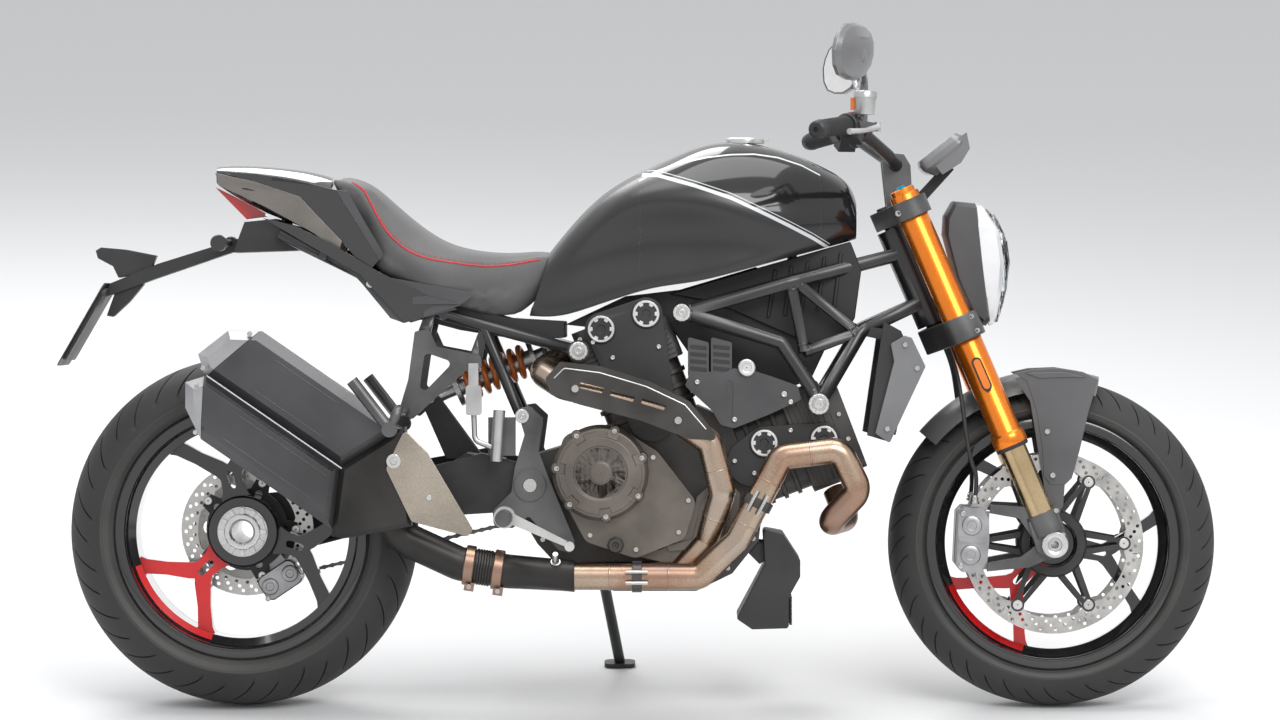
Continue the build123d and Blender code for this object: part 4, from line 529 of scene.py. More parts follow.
def draw_front_disc(name, side):
    """A front disc with its bobbins, star and hub, on the right where side is 1 and the left where it is -1."""
    near, far = side * 63.5, side * 68.5
    inner, outer = sorted((near, far))
    rotor = draw_rotor(radius=165, inside=136, arms=6, rows=((142.5, 6, 0.0), (150, 6, 0.33), (157.5, 6, -0.33)),
                       hole_r=3.3, inner=inner, outer=outer, x=FRONT_X, z=FRONT_RADIUS)
    mid = (near + far) / 2
    bobbin = lathe([(-3.8, 1.5), (-3.8, 8.2), (-2.8, 9.2), (2.8, 9.2), (3.8, 8.2), (3.8, 1.5)], BOBBIN_AT, 0, 20)
    arms = []
    for lean in (-1, 1):
        root = Vector((50 * cos(radians(21)), lean * 50 * sin(radians(21))))
        tip = Vector((124, lean * 5))
        run = (tip - root).normalized()
        across = Vector((-run.y, run.x)) * 4.2
        outline = [tuple(root - across * 1.3), tuple(tip - across), tuple(tip + across), tuple(root + across * 1.3)]
        arms.append(plate(outline, [], -2.6, 2.6))
    eye = plate(circle(BOBBIN_AT, 0, 12.5, 20), [circle(BOBBIN_AT, 0, 7.5, 14)], -2.8, 2.8)
    star = [round_axle(part, 6, FRONT_X, FRONT_RADIUS) for part in (*arms, eye)]
    hub = lathe([(side * 3, 44), (side * 3, 60), (side * -3, 62), (side * -10, 58), (side * -10, 44)], 0, 0, 60)
    bolt = lathe([(-side * 6.5, 0.5), (-side * 6.5, 5.5), (-side * 5, 6.5), (0, 6.5), (0, 0.5)], 51, 0, 12)
    parts = [(*rotor, 0)]
    parts += [(*moved(part, right=mid), 2) for part in star]
    parts.append((*moved(hub, FRONT_X, mid, FRONT_RADIUS), 2))
    parts.append((*moved(round_axle(bobbin, 6, FRONT_X, FRONT_RADIUS), right=mid), 1))
    parts.append((*moved(round_axle(bolt, 5, FRONT_X, FRONT_RADIUS), right=mid), 1))
    return hang(name, parts, [disc_steel, bobbin_silver, carrier_black], "front_wheel", "disc_steel",
                *(["front_discs"] if side == 1 else []), edge=0.4, rounds=1)


draw_front_disc("front_disc_right", 1)
draw_front_disc("front_disc_left", -1)

rear_rotor = draw_rotor(radius=122.5, inside=92, arms=5, rows=((98, 6, 0.0), (106, 6, 0.33), (114, 6, -0.33)),
                        hole_r=3.4, inner=-60.5, outer=-55.5, x=REAR_X, z=REAR_RADIUS)
lobe = [
    (r * cos(a), r * sin(a))
    for r, start, end, steps in ((76, -36, -13, 5), (94, -8, 8, 5), (76, 13, 36, 5), (58, 36, -36, 9))
    for a in np.linspace(radians(start), radians(end), steps)
]
rear_carrier = round_axle(
    sector(lobe, [circle(69, 0, 7, 14)], -62, -54, set(range(14)) | set(range(15, 23))), 5, REAR_X, REAR_RADIUS
)
rear_bobbin = lathe([(52.5, 1.5), (52.5, 7), (53.5, 8), (62.5, 8), (63.5, 7), (63.5, 1.5)], 90, 0, 16)
hang(
    "rear_disc_ring",
    [(*rear_rotor, 0), (*rear_carrier, 2), (*round_axle(rear_bobbin, 5, REAR_X, REAR_RADIUS), 1)],
    [disc_steel, bobbin_silver, carrier_black], "rear_wheel", "disc_steel", "rear_disc", edge=0.4, rounds=1,
)

# ------------------------------------------------------------ axles and hub nut
# Hollow steel axles. The rear one is a wide shaft through the arm, held by one
# big ringed nut of anodised aluminium; the front one has a plain collar at each end.
nut_silver = surface("nut_silver", (0.5, 0.5, 0.5), (0.72, 0.72, 0.71), (0.22, 0.36), metal=1.0, grain=350, relief=0.02)
bright_steel = surface("bright_steel", (0.45, 0.44, 0.43), (0.66, 0.65, 0.63), (0.2, 0.34), metal=1.0, grain=300)


def finished(node, finish, body, slot, edge=0.7, smooth=32, rounds=2):
    """A carried-over node with its triangles joined and its edges broken, in its own finish."""
    mesh = bpy.data.objects[node].data.copy()
    mesh.name = node + "_finished"
    joined = bmesh.new()
    joined.from_mesh(mesh)
    bmesh.ops.remove_doubles(joined, verts=joined.verts, dist=2e-6)
    bmesh.ops.dissolve_degenerate(joined, edges=joined.edges, dist=5e-6)
    bmesh.ops.dissolve_limit(joined, angle_limit=radians(0.6), verts=joined.verts, edges=joined.edges)
    joined.to_mesh(mesh)
    joined.free()
    mesh.materials.clear()
    mesh.materials.append(finish)
    mesh.shade_smooth()
    mesh.set_sharp_from_angle(angle=radians(smooth))
    piece = put_in(node + "_finished", mesh)
    if edge:
        break_edges(piece, edge, smooth, rounds)
    return declare(piece, body, slot, node)


finished("rear_wheel_shaft", nut_silver, "rear_wheel", "bright_aluminium")
finished("front_axle", bright_steel, "steering", "bright_steel")
finished("rear_sprocket", disc_steel, "rear_wheel", "disc_steel", edge=0.4, rounds=1)
notch = plate([(33, -4.6), (44.5, -3.6), (44.5, 3.6), (33, 4.6)], [], 52, 62)
nut = [
    (*lathe([(-44, 20.4), (-44, 46), (-50, 47), (-52, 46), (-52, 34), (-60, 33), (-61.5, 31), (-61.5, 24), (-58, 20.4)],
            REAR_X, REAR_RADIUS, 72), 0),
    (*round_axle(notch, 12, REAR_X, REAR_RADIUS), 0),
    (*lathe([(-47, 45), (-47, 62), (-44, 65), (-40, 65), (-40, 45)], REAR_X, REAR_RADIUS, 72), 1),
]
hang("rear_hub_nut", nut, [nut_silver, gloss_black], "rear_wheel", "bright_aluminium", edge=0.5)

# ------------------------------------------------------------ fork
# Upside-down fork: orange anodised tubes in two cast aluminium clamps, bronze
# coated sliders, and cast feet that carry the axle and the calipers.
orange_anodised = surface(
    "orange_anodised", (0.72, 0.16, 0.006), (0.86, 0.24, 0.02), (0.2, 0.3), metal=0.85, grain=260, relief=0.006,
    patch=7, stretch=(1, 1, 0.3), Coat_Weight=0.3, Coat_Roughness=0.12,
)
bronze_slider = surface(
    "bronze_slider", (0.42, 0.3, 0.16), (0.6, 0.46, 0.28), (0.12, 0.22), metal=1.0, grain=260, patch=9
)
cast_grey = surface(
    "cast_grey", (0.075, 0.075, 0.076), (0.15, 0.15, 0.152), (0.32, 0.46), metal=0.75, grain=1300, relief=0.06, patch=12
)
cast_silver = surface(
    "cast_silver", (0.36, 0.36, 0.36), (0.58, 0.58, 0.58), (0.3, 0.44), metal=0.9, grain=1200, relief=0.06, patch=14
)
cast_black = surface(
    "cast_black", (0.02, 0.02, 0.021), (0.045, 0.045, 0.046), (0.36, 0.5), metal=0.4, grain=1200, relief=0.06, patch=12
)
plain_black = surface(
    "plain_black", (0.014, 0.014, 0.015), (0.03, 0.03, 0.031), (0.42, 0.58), grain=1400, relief=0.03, patch=10
)
hose_rubber = surface("hose_rubber", (0.015, 0.015, 0.016), (0.032, 0.032, 0.033), (0.4, 0.55), grain=2200, relief=0.03)
sky_blue = surface("sky_blue", (0.0, 0.3, 0.46), (0.02, 0.42, 0.6), (0.2, 0.3), metal=0.8, grain=300)
amber_lens = surface(
    "amber_lens", (0.62, 0.13, 0.005), (0.78, 0.2, 0.01), (0.08, 0.16), grain=900, relief=0.1, Coat_Weight=0.6,
    Coat_Roughness=0.05,
)
RAKE_UP = Vector((-0.395546, 0, 0.918446))
RAKE_AHEAD = Vector((0.918446, 0, 0.395546))
STEM_FOOT = Vector((706.497, 0, 284.495))
FORK_AHEAD, LEG = 39.2, 105.0


def fork_point(s, forward=0.0, right=0.0):
    """A point in the fork: up along the stem, forward of it and to the right."""
    return STEM_FOOT + RAKE_UP * s + RAKE_AHEAD * forward + Vector((0, -right, 0))


def turned_on(start, along, profile, segments=48):
    """Turn a closed profile of (distance along, radius) points round any line."""
    along = Vector(along).normalized()
    across = along.orthogonal().normalized()
    other = along.cross(across)
    points = []
    for k in range(segments):
        angle = 2 * pi * k / segments
        out = across * cos(angle) + other * sin(angle)
        points += [Vector(start) + along * d + out * r for d, r in profile]
    return points, grid(len(profile), segments, closed_rows=True)


def rod(length, radius):
    """The profile of a plain rod, closed but for a pinhole down its middle."""
    return [(0, 0.5), (0, radius), (length, radius), (length, 0.5)]


screw_tree, comes_in, goes_out = node_tree(
    "set_screws", [("Head", "NodeSocketObject"), ("Finish", "NodeSocketMaterial")]
)
head = screw_tree.nodes.new("GeometryNodeObjectInfo")
facing, size_of = (screw_tree.nodes.new("GeometryNodeInputNamedAttribute") for _ in range(2))
for reader, kind, label in ((facing, "FLOAT_VECTOR", "facing"), (size_of, "FLOAT", "size")):
    reader.data_type = kind
    reader.inputs["Name"].default_value = label
aim_it = screw_tree.nodes.new("FunctionNodeAlignRotationToVector")
aim_it.axis = "Z"
set_down = screw_tree.nodes.new("GeometryNodeInstanceOnPoints")
real = screw_tree.nodes.new("GeometryNodeRealizeInstances")
coat = screw_tree.nodes.new("GeometryNodeSetMaterial")
wire(screw_tree, (
    (comes_in.outputs["Head"], head.inputs["Object"]),
    (head.outputs["Geometry"], set_down.inputs["Instance"]),
    (comes_in.outputs["Mesh"], set_down.inputs["Points"]),
    (facing.outputs[0], aim_it.inputs["Vector"]),
    (aim_it.outputs[0], set_down.inputs["Rotation"]),
    (size_of.outputs[0], set_down.inputs["Scale"]),
    (set_down.outputs[0], real.inputs[0]),
    (real.outputs[0], coat.inputs[0]),
    (comes_in.outputs["Finish"], coat.inputs["Material"]),
    (coat.outputs[0], goes_out.inputs[0]),
))


def rows_of_faces(count, rows):
    """Faces between closed rings whose points are listed ring by ring."""
    return [(r * count + k, r * count + (k + 1) % count, (r + 1) * count + (k + 1) % count, (r + 1) * count + k)
            for r in range(rows) for k in range(count)]


def socket_head():
    """A socket screw of one millimetre radius: a round head with a chamfer and a round recess in it."""
    count = 18
    points = [(cos(2 * pi * k / count) * r, sin(2 * pi * k / count) * r, z)
              for r, z in ((1, -0.3), (1, 0.75), (0.86, 0.95), (0.55, 0.95), (0.5, 0.4)) for k in range(count)]
    return points, rows_of_faces(count, 4) + [tuple(range(count))[::-1], tuple(range(4 * count, 5 * count))]


def screws(spots):
    """Socket screws at (x, right, z, facing, radius) places."""
    shape = bpy.data.meshes.new("screw_head")
    points, faces = socket_head()
    shape.from_pydata(points, [], faces)
    screw = put_in("screw_head", shape)
    return grown([(x, -right, z) for x, right, z, _, _ in spots], [], screw_tree, Head=screw, Finish=plain,
                 attributes=[("facing", "FLOAT_VECTOR", [tuple(f) for *_, f, _ in spots]),
                             ("size", "FLOAT", [r for *_, r in spots])])


def hang_screws(name, spots, body):
    return hang(name, [(*screws(spots), 0)], [bright_steel], body, "bright_steel")


RIGHTWARD, LEFTWARD = Vector((0, -1, 0)), Vector((0, 1, 0))
OUTER_TUBE = [(0, 24.4), (0, 31), (1.5, 32), (20, 32), (22, 30.5), (26, 27.6), (495, 27.6), (497, 26.4), (497, 22.6),
              (499, 22.6), (506, 22.4), (508, 20), (508, 12), (504, 11), (504, 6), (60, 6), (60, 24.4)]
ADJUSTER = [(0, 0.5), (0, 9), (8, 9), (10, 7.5), (10, 0.5)]
DUST_SEAL = [(0, 24.3), (0, 29), (2, 30.4), (7, 30.4), (7, 24.3)]
SEAL_AT, TUBE_AT, REFLECTOR_AT, ADJUSTER_AT = 190, 197, 338, 700
tubes = []
for near in (1, -1):
    on_leg = lambda s, near=near: fork_point(s, FORK_AHEAD, near * LEG)
    tubes.append((*turned_on(on_leg(TUBE_AT), RAKE_UP, OUTER_TUBE), 0))
    tubes.append((*turned_on(on_leg(ADJUSTER_AT), RAKE_UP, ADJUSTER, 6), 1))
    tubes.append((*turned_on(on_leg(SEAL_AT), RAKE_UP, DUST_SEAL), 2))
    place = lambda a, b, right, near=near: tuple(fork_point(REFLECTOR_AT + a, FORK_AHEAD + b, near * right))
    tubes.append((*plate(slot_outline(0, 0, 66, 19), [], LEG + 26, LEG + 32, place), 2))
    tubes.append((*plate(slot_outline(0, 0, 58, 13), [], LEG + 31.8, LEG + 34.5, place), 3))
hang("fork_tubes", tubes, [orange_anodised, sky_blue, plain_black, amber_lens], "steering", "gold_anodised",
     "fork_outer_tubes", edge=0.5)
finished("fork_inner_tubes", bronze_slider, "steering", "bright_steel", edge=0)
finished("lower_clamp", cast_grey, "steering", "satin_black_metal", edge=2.2, rounds=3)
finished("upper_clamp", cast_grey, "steering", "satin_black_metal", edge=2.0, rounds=3)
finished("fork_bottoms", cast_grey, "steering", "satin_black_metal", edge=2.0, rounds=3)
FOOT_SCREWS = ((745, 362), (728, 292), (757, 318))
clamp_screws = []
for near in (1, -1):
    for s in (414, 442):
        clamp_screws.append((*fork_point(s, FORK_AHEAD + 33, near * 82), RAKE_AHEAD, 6.5))
        clamp_screws.append((*fork_point(s, FORK_AHEAD + 24, near * (LEG + 27)), RIGHTWARD * near, 5))
    clamp_screws.append((*fork_point(666, FORK_AHEAD - 24, near * (LEG + 24)), RIGHTWARD * near, 6))
    for x, z in FOOT_SCREWS:
        clamp_screws.append((x, -near * (LEG + 16.5), z, RIGHTWARD * near, 5))
clamp_screws = [(x, -y, z, f, r) for x, y, z, f, r in clamp_screws]
hang_screws("fork_screws", clamp_screws, "steering")
COLLAR = [(0, 12.6), (0, 22), (3, 24), (8, 24), (9.5, 22.5), (9.5, 15), (8, 12.6)]
collars = [(*turned_on((FRONT_X, -near * 121, FRONT_RADIUS), RIGHTWARD * near, COLLAR), 0) for near in (1, -1)]
hang("axle_collars", collars, [nut_silver], "steering", "bright_steel", edge=0.4)

# ------------------------------------------------------------ front calipers
# Forged aluminium four-piston calipers, bolted to the fork feet: a ribbed body
# with two round piston bosses on each face, a bleed nipple and a pad pin.
caliper_silver = surface(
    "caliper_silver", (0.26, 0.26, 0.27), (0.48, 0.48, 0.49), (0.28, 0.42), metal=0.9, grain=1200, relief=0.06, patch=16
)


CALIPER_LENGTH, CALIPER_DEPTH, CALIPER_HALF = 118, 56, 34
CALIPER_AT, CALIPER_TILT, CALIPER_OUT = (594.6, 307), 177.3, 66


def draw_caliper(name, centre, tilt, right, half_width, body, slot, finish, *nodes):
    """A caliper body with bosses on both faces, centred in the side view and turned by its tilt."""
    turn = radians(tilt)
    along, out = Vector((-sin(turn), 0, cos(turn))), Vector((cos(turn), 0, sin(turn)))
    hub = Vector((centre[0], 0, centre[1]))

    def place(a, b, distance):
        spot = hub + out * a + along * b
        return (spot.x, -distance, spot.z)

    half_l, half_d = CALIPER_LENGTH / 2, CALIPER_DEPTH / 2
    body_line = [(-half_d, -half_l + 20), (-half_d + 12, -half_l), (half_d - 10, -half_l), (half_d, -half_l + 12),
                 (half_d, half_l - 12), (half_d - 10, half_l), (-half_d + 12, half_l), (-half_d, half_l - 20),
                 (-half_d - 2, 0)]
    parts = []
    for side in (1, -1):
        low, high = sorted((right + side * 9.2, right + side * half_width))
        parts.append((*plate(body_line, [], low, high, place), 0))
        for b in (-27, 27):
            start = Vector(place(3, b, right + side * (half_width - 1)))
            parts.append((*turned_on(start, RIGHTWARD * side, [(0, 0.5), (0, 19), (3, 18), (4.5, 16), (4.5, 9),
                                                               (3.5, 8), (3.5, 0.5)], 32), 0))
        rib = [(-half_d + 4, -4), (half_d - 2, -4), (half_d - 2, 4), (-half_d + 4, 4)]
        low, high = sorted((right + side * (half_width - 1), right + side * (half_width + 4)))
        parts.append((*plate(rib, [], low, high, place), 0))
    for b in (-44, 0, 44):
        bridge = [(-half_d - 1, b - 9), (-half_d + 9, b - 9), (-half_d + 9, b + 9), (-half_d - 1, b + 9)]
        parts.append((*plate(bridge, [], right - 10, right + 10, place), 0))
    parts.append((*turned_on(place(-half_d + 16, half_l - 4, right + half_width - 12), along,
                             [(0, 0.5), (0, 5), (7, 5), (7, 3), (14, 3), (14, 0.5)], 6), 1))
    pins = [(*place(half_d - 8, b, 0), b) for b in (-48, 48)]
    heads = [(x, right + side * half_width, z, RIGHTWARD * side, 5.5) for x, _, z, _ in pins for side in (1, -1)]
    parts.append((*screws(heads), 1))
    return hang(name, parts, [finish, bright_steel], body, slot, *nodes, edge=1.6, rounds=3)


for near, label in ((1, "right"), (-1, "left")):
    draw_caliper(f"front_caliper_{label}", CALIPER_AT, CALIPER_TILT, near * CALIPER_OUT, CALIPER_HALF, "steering",
                 "caliper_grey", caliper_silver, *(["front_calipers"] if near == 1 else []))

# ------------------------------------------------------------ brake hoses
# Rubber hoses from under the lower clamp down behind each leg to a banjo bolt
# on its caliper.
BANJO = [(0, 0.5), (0, 8.5), (5, 8.5), (6, 7), (12, 7), (13, 5.5), (16, 5), (16, 0.5)]
for near, label in ((1, "right"), (-1, "left")):
    seat_at = Vector((598.5, -near * 88, 373.9))
    route = [
        fork_point(404.7, 4, near * 66),
        fork_point(372, 4, near * 66),
        fork_point(320, -8, near * 99),
        fork_point(200, -42, near * 101),
        seat_at + Vector((6, 0, 52)),
        seat_at + Vector((0, 0, 4)),
    ]
    line = bpy.data.curves.new(f"brake_hose_{label}", "CURVE")
    line.dimensions = "3D"
    path = line.splines.new("NURBS")
    path.points.add(len(route) - 1)
    for point, spot in zip(path.points, route):
        point.co = (*(parked @ spot), 1)
    path.order_u = 3
    path.use_endpoint_u = True
    path.resolution_u = 12
    line.bevel_depth = 0.004
    line.bevel_resolution = 5
    line.use_fill_caps = True
    line.materials.append(hose_rubber)
    hose = declare(put_in(f"brake_hose_{label}", line), "steering", "soft_rubber",
                   *(["front_hoses"] if near == 1 else []))
    banjo = turned_on(seat_at + Vector((0, 0, -1)), (0, 0, 1), BANJO, 18)
    hang(f"banjo_bolt_{label}", [(*banjo, 0)], [bright_steel], "steering", "bright_steel", edge=0.3)

# ------------------------------------------------------------ front fender
# Moulded plastic in satin dark grey, with a raised centre and a cheek that is
# screwed to each fork foot.
satin_grey_plastic = surface(
    "satin_grey_plastic", (0.07, 0.07, 0.073), (0.11, 0.11, 0.114), (0.3, 0.42), grain=1600, relief=0.012, patch=6,
    Coat_Weight=0.15, Coat_Roughness=0.3,
)
CHEEK = [(672, 612), (704, 619), (752, 621), (796, 614), (824, 600), (806, 540), (790, 470), (776, 420), (764, 408),
         (736, 408), (724, 424), (722, 470), (712, 540), (694, 596)]
RIDGE = [(690, 612), (760, 614), (802, 604), (764, 604), (716, 602)]
cheeks = [(*side_plate(outline, near, low, high), 0)
          for near in (1, -1) for outline, low, high in ((CHEEK, 78.0, 81.0), (RIDGE, 80.5, 83.5))]
hang("fender_cheeks", cheeks, [satin_grey_plastic], "steering", "satin_black_plastic", edge=1.2)
finished("front_fender", satin_grey_plastic, "steering", "satin_black_plastic", edge=1.0)
fender_bolts = [(x, near * 80, z, RIGHTWARD * near, 5.5) for near in (1, -1) for x, z in ((731, 505), (741, 425))]
hang_screws("fender_screws", fender_bolts, "steering")

# ------------------------------------------------------------ handlebar
# A tapered steel bar in black, with ribbed rubber grips, cast switch blocks,
# forged levers and a brake reservoir on its own stalk.
def tube_along(route, radius, bend=20.0, around=20):
    """A round tube that follows straight runs with rounded corners. Its radius may change with the share walked."""
    route = [Vector(p) for p in route]
    line = [route[0]]
    for before, corner, after in zip(route, route[1:], route[2:]):
        into, out = (corner - before).normalized(), (after - corner).normalized()
        turn = into.angle(out, 0.0)
        if turn < 0.02:
            continue
        back = min(bend * tan(turn / 2), (corner - before).length * 0.48, (after - corner).length * 0.48)
        start, end = corner - into * back, corner + out * back
        for t in np.linspace(0, 1, max(3, ceil(degrees(turn) / 9))):
            line.append(start * (1 - t) ** 2 + corner * 2 * t * (1 - t) + end * t * t)
    line.append(route[-1])
    across = (line[1] - line[0]).orthogonal().normalized()
    points = []
    radii = radius if callable(radius) else (lambda _: radius)
    total = sum((b - a).length for a, b in zip(line, line[1:]))
    walked = 0.0
    for i, spot in enumerate(line):
        if i:
            walked += (spot - line[i - 1]).length
        way = (line[min(i + 1, len(line) - 1)] - line[max(i - 1, 0)]).normalized()
        across = (across - way * across.dot(way)).normalized()
        other = way.cross(across)
        r = radii(walked / total)
        points += [spot + (across * cos(2 * pi * k / around) + other * sin(2 * pi * k / around)) * r
                   for k in range(around)]
    faces = grid(around, len(line), closed_rows=True, closed_columns=False)
    return points, faces + end_faces(around, len(line))


def block(a, b, width, height, along_shape=(1.0, 1.0)):
    """A bar of oblong section between two points, each end scaled by its share."""
    a, b = Vector(a), Vector(b)
    way = (b - a).normalized()
    side = way.cross(Vector((0, 0, 1)))
    side = side.normalized() if side.length > 0.01 else Vector((0, 1, 0))
    up = side.cross(way)
    points = []
    for spot, share in ((a, along_shape[0]), (b, along_shape[1])):
        for p, q in ((-1, -1), (1, -1), (1, 1), (-1, 1)):
            points.append(spot + side * p * width / 2 * share + up * q * height / 2 * share)
    return points, grid(4, 2, closed_rows=True, closed_columns=False) + [(0, 1, 2, 3), (4, 5, 6, 7)]


finished("handlebar", cast_black, "steering", "satin_black_metal", edge=0)
BAR_END, BAR_BEND = Vector((309, -385, 1048)), Vector((372, -235, 1062))
BAR_PLUG = [(-1, 1), (-1, 15.5), (5, 16.5), (13, 15.5), (16, 12), (16, 5), (12, 4), (12, 1)]
CLAMP_BAND = [(0, 11.4), (0, 16), (1, 17), (17, 17), (18, 16), (18, 11.4)]
RESERVOIR = [(0, 1), (0, 17), (2, 18), (30, 19.5), (30, 21), (40, 21), (42, 19.5), (42, 8), (43.5, 7), (43.5, 1)]
grip_rubber = surface(
    "grip_rubber", (0.013, 0.013, 0.014), (0.03, 0.03, 0.03), (0.6, 0.8), grain=2400, relief=0.08, patch=18
)
mirror_grey = surface(
    "mirror_grey", (0.13, 0.13, 0.134), (0.22, 0.22, 0.225), (0.24, 0.34), metal=0.3, grain=1500, relief=0.01, patch=5,
    Coat_Weight=0.3, Coat_Roughness=0.2,
)
accent_red = surface("accent_red", (0.5, 0.01, 0.015), (0.7, 0.02, 0.03), (0.3, 0.4), grain=600)
grips, controls = [], []
for near in (1, -1):
    end = Vector((BAR_END.x, near * BAR_END.y, BAR_END.z))
    bend = Vector((BAR_BEND.x, near * BAR_BEND.y, BAR_BEND.z))
    way = (bend - end).normalized()
    ribs = [(0, 11.4), (0, 15), (2, 17), (8, 17)]
    for k in range(26):
        start = 10 + k * 4.0
        ribs += [(start, 15.2), (start + 0.5, 16.4), (start + 2.4, 16.4), (start + 2.9, 15.2)]
    ribs += [(116, 17), (122, 17), (124, 16), (125, 11.4)]
    grips.append((*turned_on(end, way, ribs, 40), 0))
    grips.append((*turned_on(end, -way, BAR_PLUG), 1))
    hub = end + way * 129
    controls.append((*turned_on(hub, way, [(0, 11.4), (0, 19), (2, 21), (26, 21), (28, 19), (28, 11.4)]), 0))
    controls.append((*turned_on(hub + way * 32, way, CLAMP_BAND), 0))
    controls.append((*block(hub + Vector((6, 0, -12)) + way * 4, hub + Vector((6, 0, -26)) + way * 26, 34, 26), 0))
    perch = hub + way * 20 + Vector((22, 0, -2))
    controls.append((*block(hub + way * 20 + Vector((8, 0, 0)), perch + Vector((24, 0, -2)), 24, 15, (1.1, 0.8)), 2))
    lever = [perch + Vector((28, 0, -3)), hub + Vector((56, 0, -5)), end + way * 70 + Vector((54, 0, -7)),
             end + way * 14 + Vector((48, 0, -5))]
    controls.append((*tube_along(lever, lambda t: 6.2 - 2.4 * t if t < 0.95 else 5.4, 22, 14), 1))
    controls.append((*turned_on(perch + Vector((28, 0, 6)), (0, 0, -1), rod(17, 5.5), 12), 3))
    if near == 1:
        controls.append((*tube_along([perch + Vector((0, 10, 4)), Vector((377, -258, 1076)), Vector((392, -258, 1084))],
                                     6, 12, 14), 2))
        controls.append((*turned_on((392, -258, 1078), (0.05, 0, 1), RESERVOIR, 40), 4))
        controls.append((*turned_on(hub + way * 31, way, [(0, 17), (0, 21.8), (3.5, 21.8), (3.5, 17)], 40), 5))
        controls.append((*block((373, -258, 1086), (373, -258, 1108), 8, 12), 6))
hang("bar_grips", grips, [grip_rubber, cast_black], "steering", "soft_rubber", "grips", edge=0)
hang("levers_and_switches", controls,
     [plain_black, bobbin_silver, cast_grey, bright_steel, cast_silver, accent_red, amber_lens],
     "steering", "satin_black_metal", "hand_controls", edge=1.2, rounds=2)

# ------------------------------------------------------------ mirrors
# Cast grey heads with a creased back and a ball joint, on forged stems that
# clamp to the bar. The glass faces the rider.
mirror_glass = surface("mirror_glass", (0.7, 0.7, 0.71), (0.82, 0.82, 0.83), (0.02, 0.05), metal=1.0, grain=60)
MIRROR_RIM = [(78, 0), (74, 20), (62, 38), (40, 49), (8, 52), (-28, 49), (-56, 38), (-73, 20), (-78, -2), (-72, -24),
              (-52, -42), (-22, -51), (16, -50), (48, -43), (68, -26)]
MIRROR_YAW, MIRROR_LEAN, MIRROR_OUT = radians(26), 0.12, 345
MIRROR_RINGS = [(0.94, -1), (1.0, 0), (1.0, 7), (0.9, 15), (0.5, 24)]
BALL_JOINT = [(-14, 0.5), (-14, 8), (-8, 11), (6, 11), (12, 8), (12, 0.5)]
STEM_CLAMP = [(0, 11.3), (0, 16), (1.5, 17.5), (14.5, 17.5), (16, 16), (16, 11.3)]
for near, label in ((1, "right"), (-1, "left")):
    centre = Vector((364, -near * MIRROR_OUT, 1187))
    ball = Vector((382, -near * MIRROR_OUT, 1182))
    forward = Vector((cos(MIRROR_YAW), -near * sin(MIRROR_YAW), -MIRROR_LEAN)).normalized()
    across = Vector((-sin(MIRROR_YAW), -near * cos(MIRROR_YAW), 0))
    up = Vector((MIRROR_LEAN, 0, 1)).normalized()
    shell = []
    for share, depth in MIRROR_RINGS:
        shell += [centre + forward * depth + across * a * share + up * (b * share + 6 - 6 * share)
                  for a, b in MIRROR_RIM]
    count, rings = len(MIRROR_RIM), len(MIRROR_RINGS)
    faces = rows_of_faces(count, rings - 1) + end_faces(count, rings)[1:]
    glass = [centre - forward * 0.2 + across * a * 0.94 + up * b * 0.94 for a, b in MIRROR_RIM]
    parts = [
        (shell, faces, 0),
        (glass, [tuple(range(count))], 1),
        (*turned_on(ball, (-0.2, 0, 1), BALL_JOINT, 24), 0),
    ]
    inner = Vector((372, -near * 235, 1062))
    outer = Vector((440, -near * 112, 1008))
    way = (outer - inner).normalized()
    clamp = inner + way * 38
    parts.append((*turned_on(clamp - way * 8, way, STEM_CLAMP), 2))
    stem = [clamp + Vector((2, 0, 8)), clamp + Vector((4, -near * 6, 92)), ball]
    parts.append((*tube_along(stem, lambda t: 8.2 - 3 * t, 22, 16), 0))
    hang(f"mirror_{label}", parts, [mirror_grey, mirror_glass, cast_black], "steering", "matte_plastic",
         *(["mirrors"] if near == 1 else []), edge=0.8, smooth=24)

# ------------------------------------------------------------ instrument
# A slim display in a faceted silver-grey case over the lamp, on a cast arm.
INSTRUMENT = Matrix(((0, 1, 0), (0.78, 0, 0.62), (-0.62, 0, 0.78))).transposed().to_4x4()
INSTRUMENT.translation = Vector((545, 0, 1008))
display_glass = surface(
    "display_glass", (0.004, 0.004, 0.005), (0.01, 0.01, 0.012), (0.03, 0.06), grain=80, Coat_Weight=1.0,
    Coat_Roughness=0.02,
)


def rounded_box(width, height, corner, steps=6):
    outline = []
    for sx, sy, first in ((1, 1, 0), (-1, 1, 90), (-1, -1, 180), (1, -1, 270)):
        for k in range(steps):
            angle = radians(first + 90 * k / (steps - 1))
            outline.append((sx * (width / 2 - corner) + corner * cos(angle),
                            sy * (height / 2 - corner) + corner * sin(angle)))
    return outline


def stacked(layers, frame_at):
    """A closed shell through a stack of like outlines, each at its own height."""
    points = [tuple(frame_at @ Vector((a, b, level))) for outline, level in layers for a, b in outline]
    count = len(layers[0][0])
    faces = grid(count, len(layers), closed_rows=True, closed_columns=False)
    return points, faces + end_faces(count, len(layers))


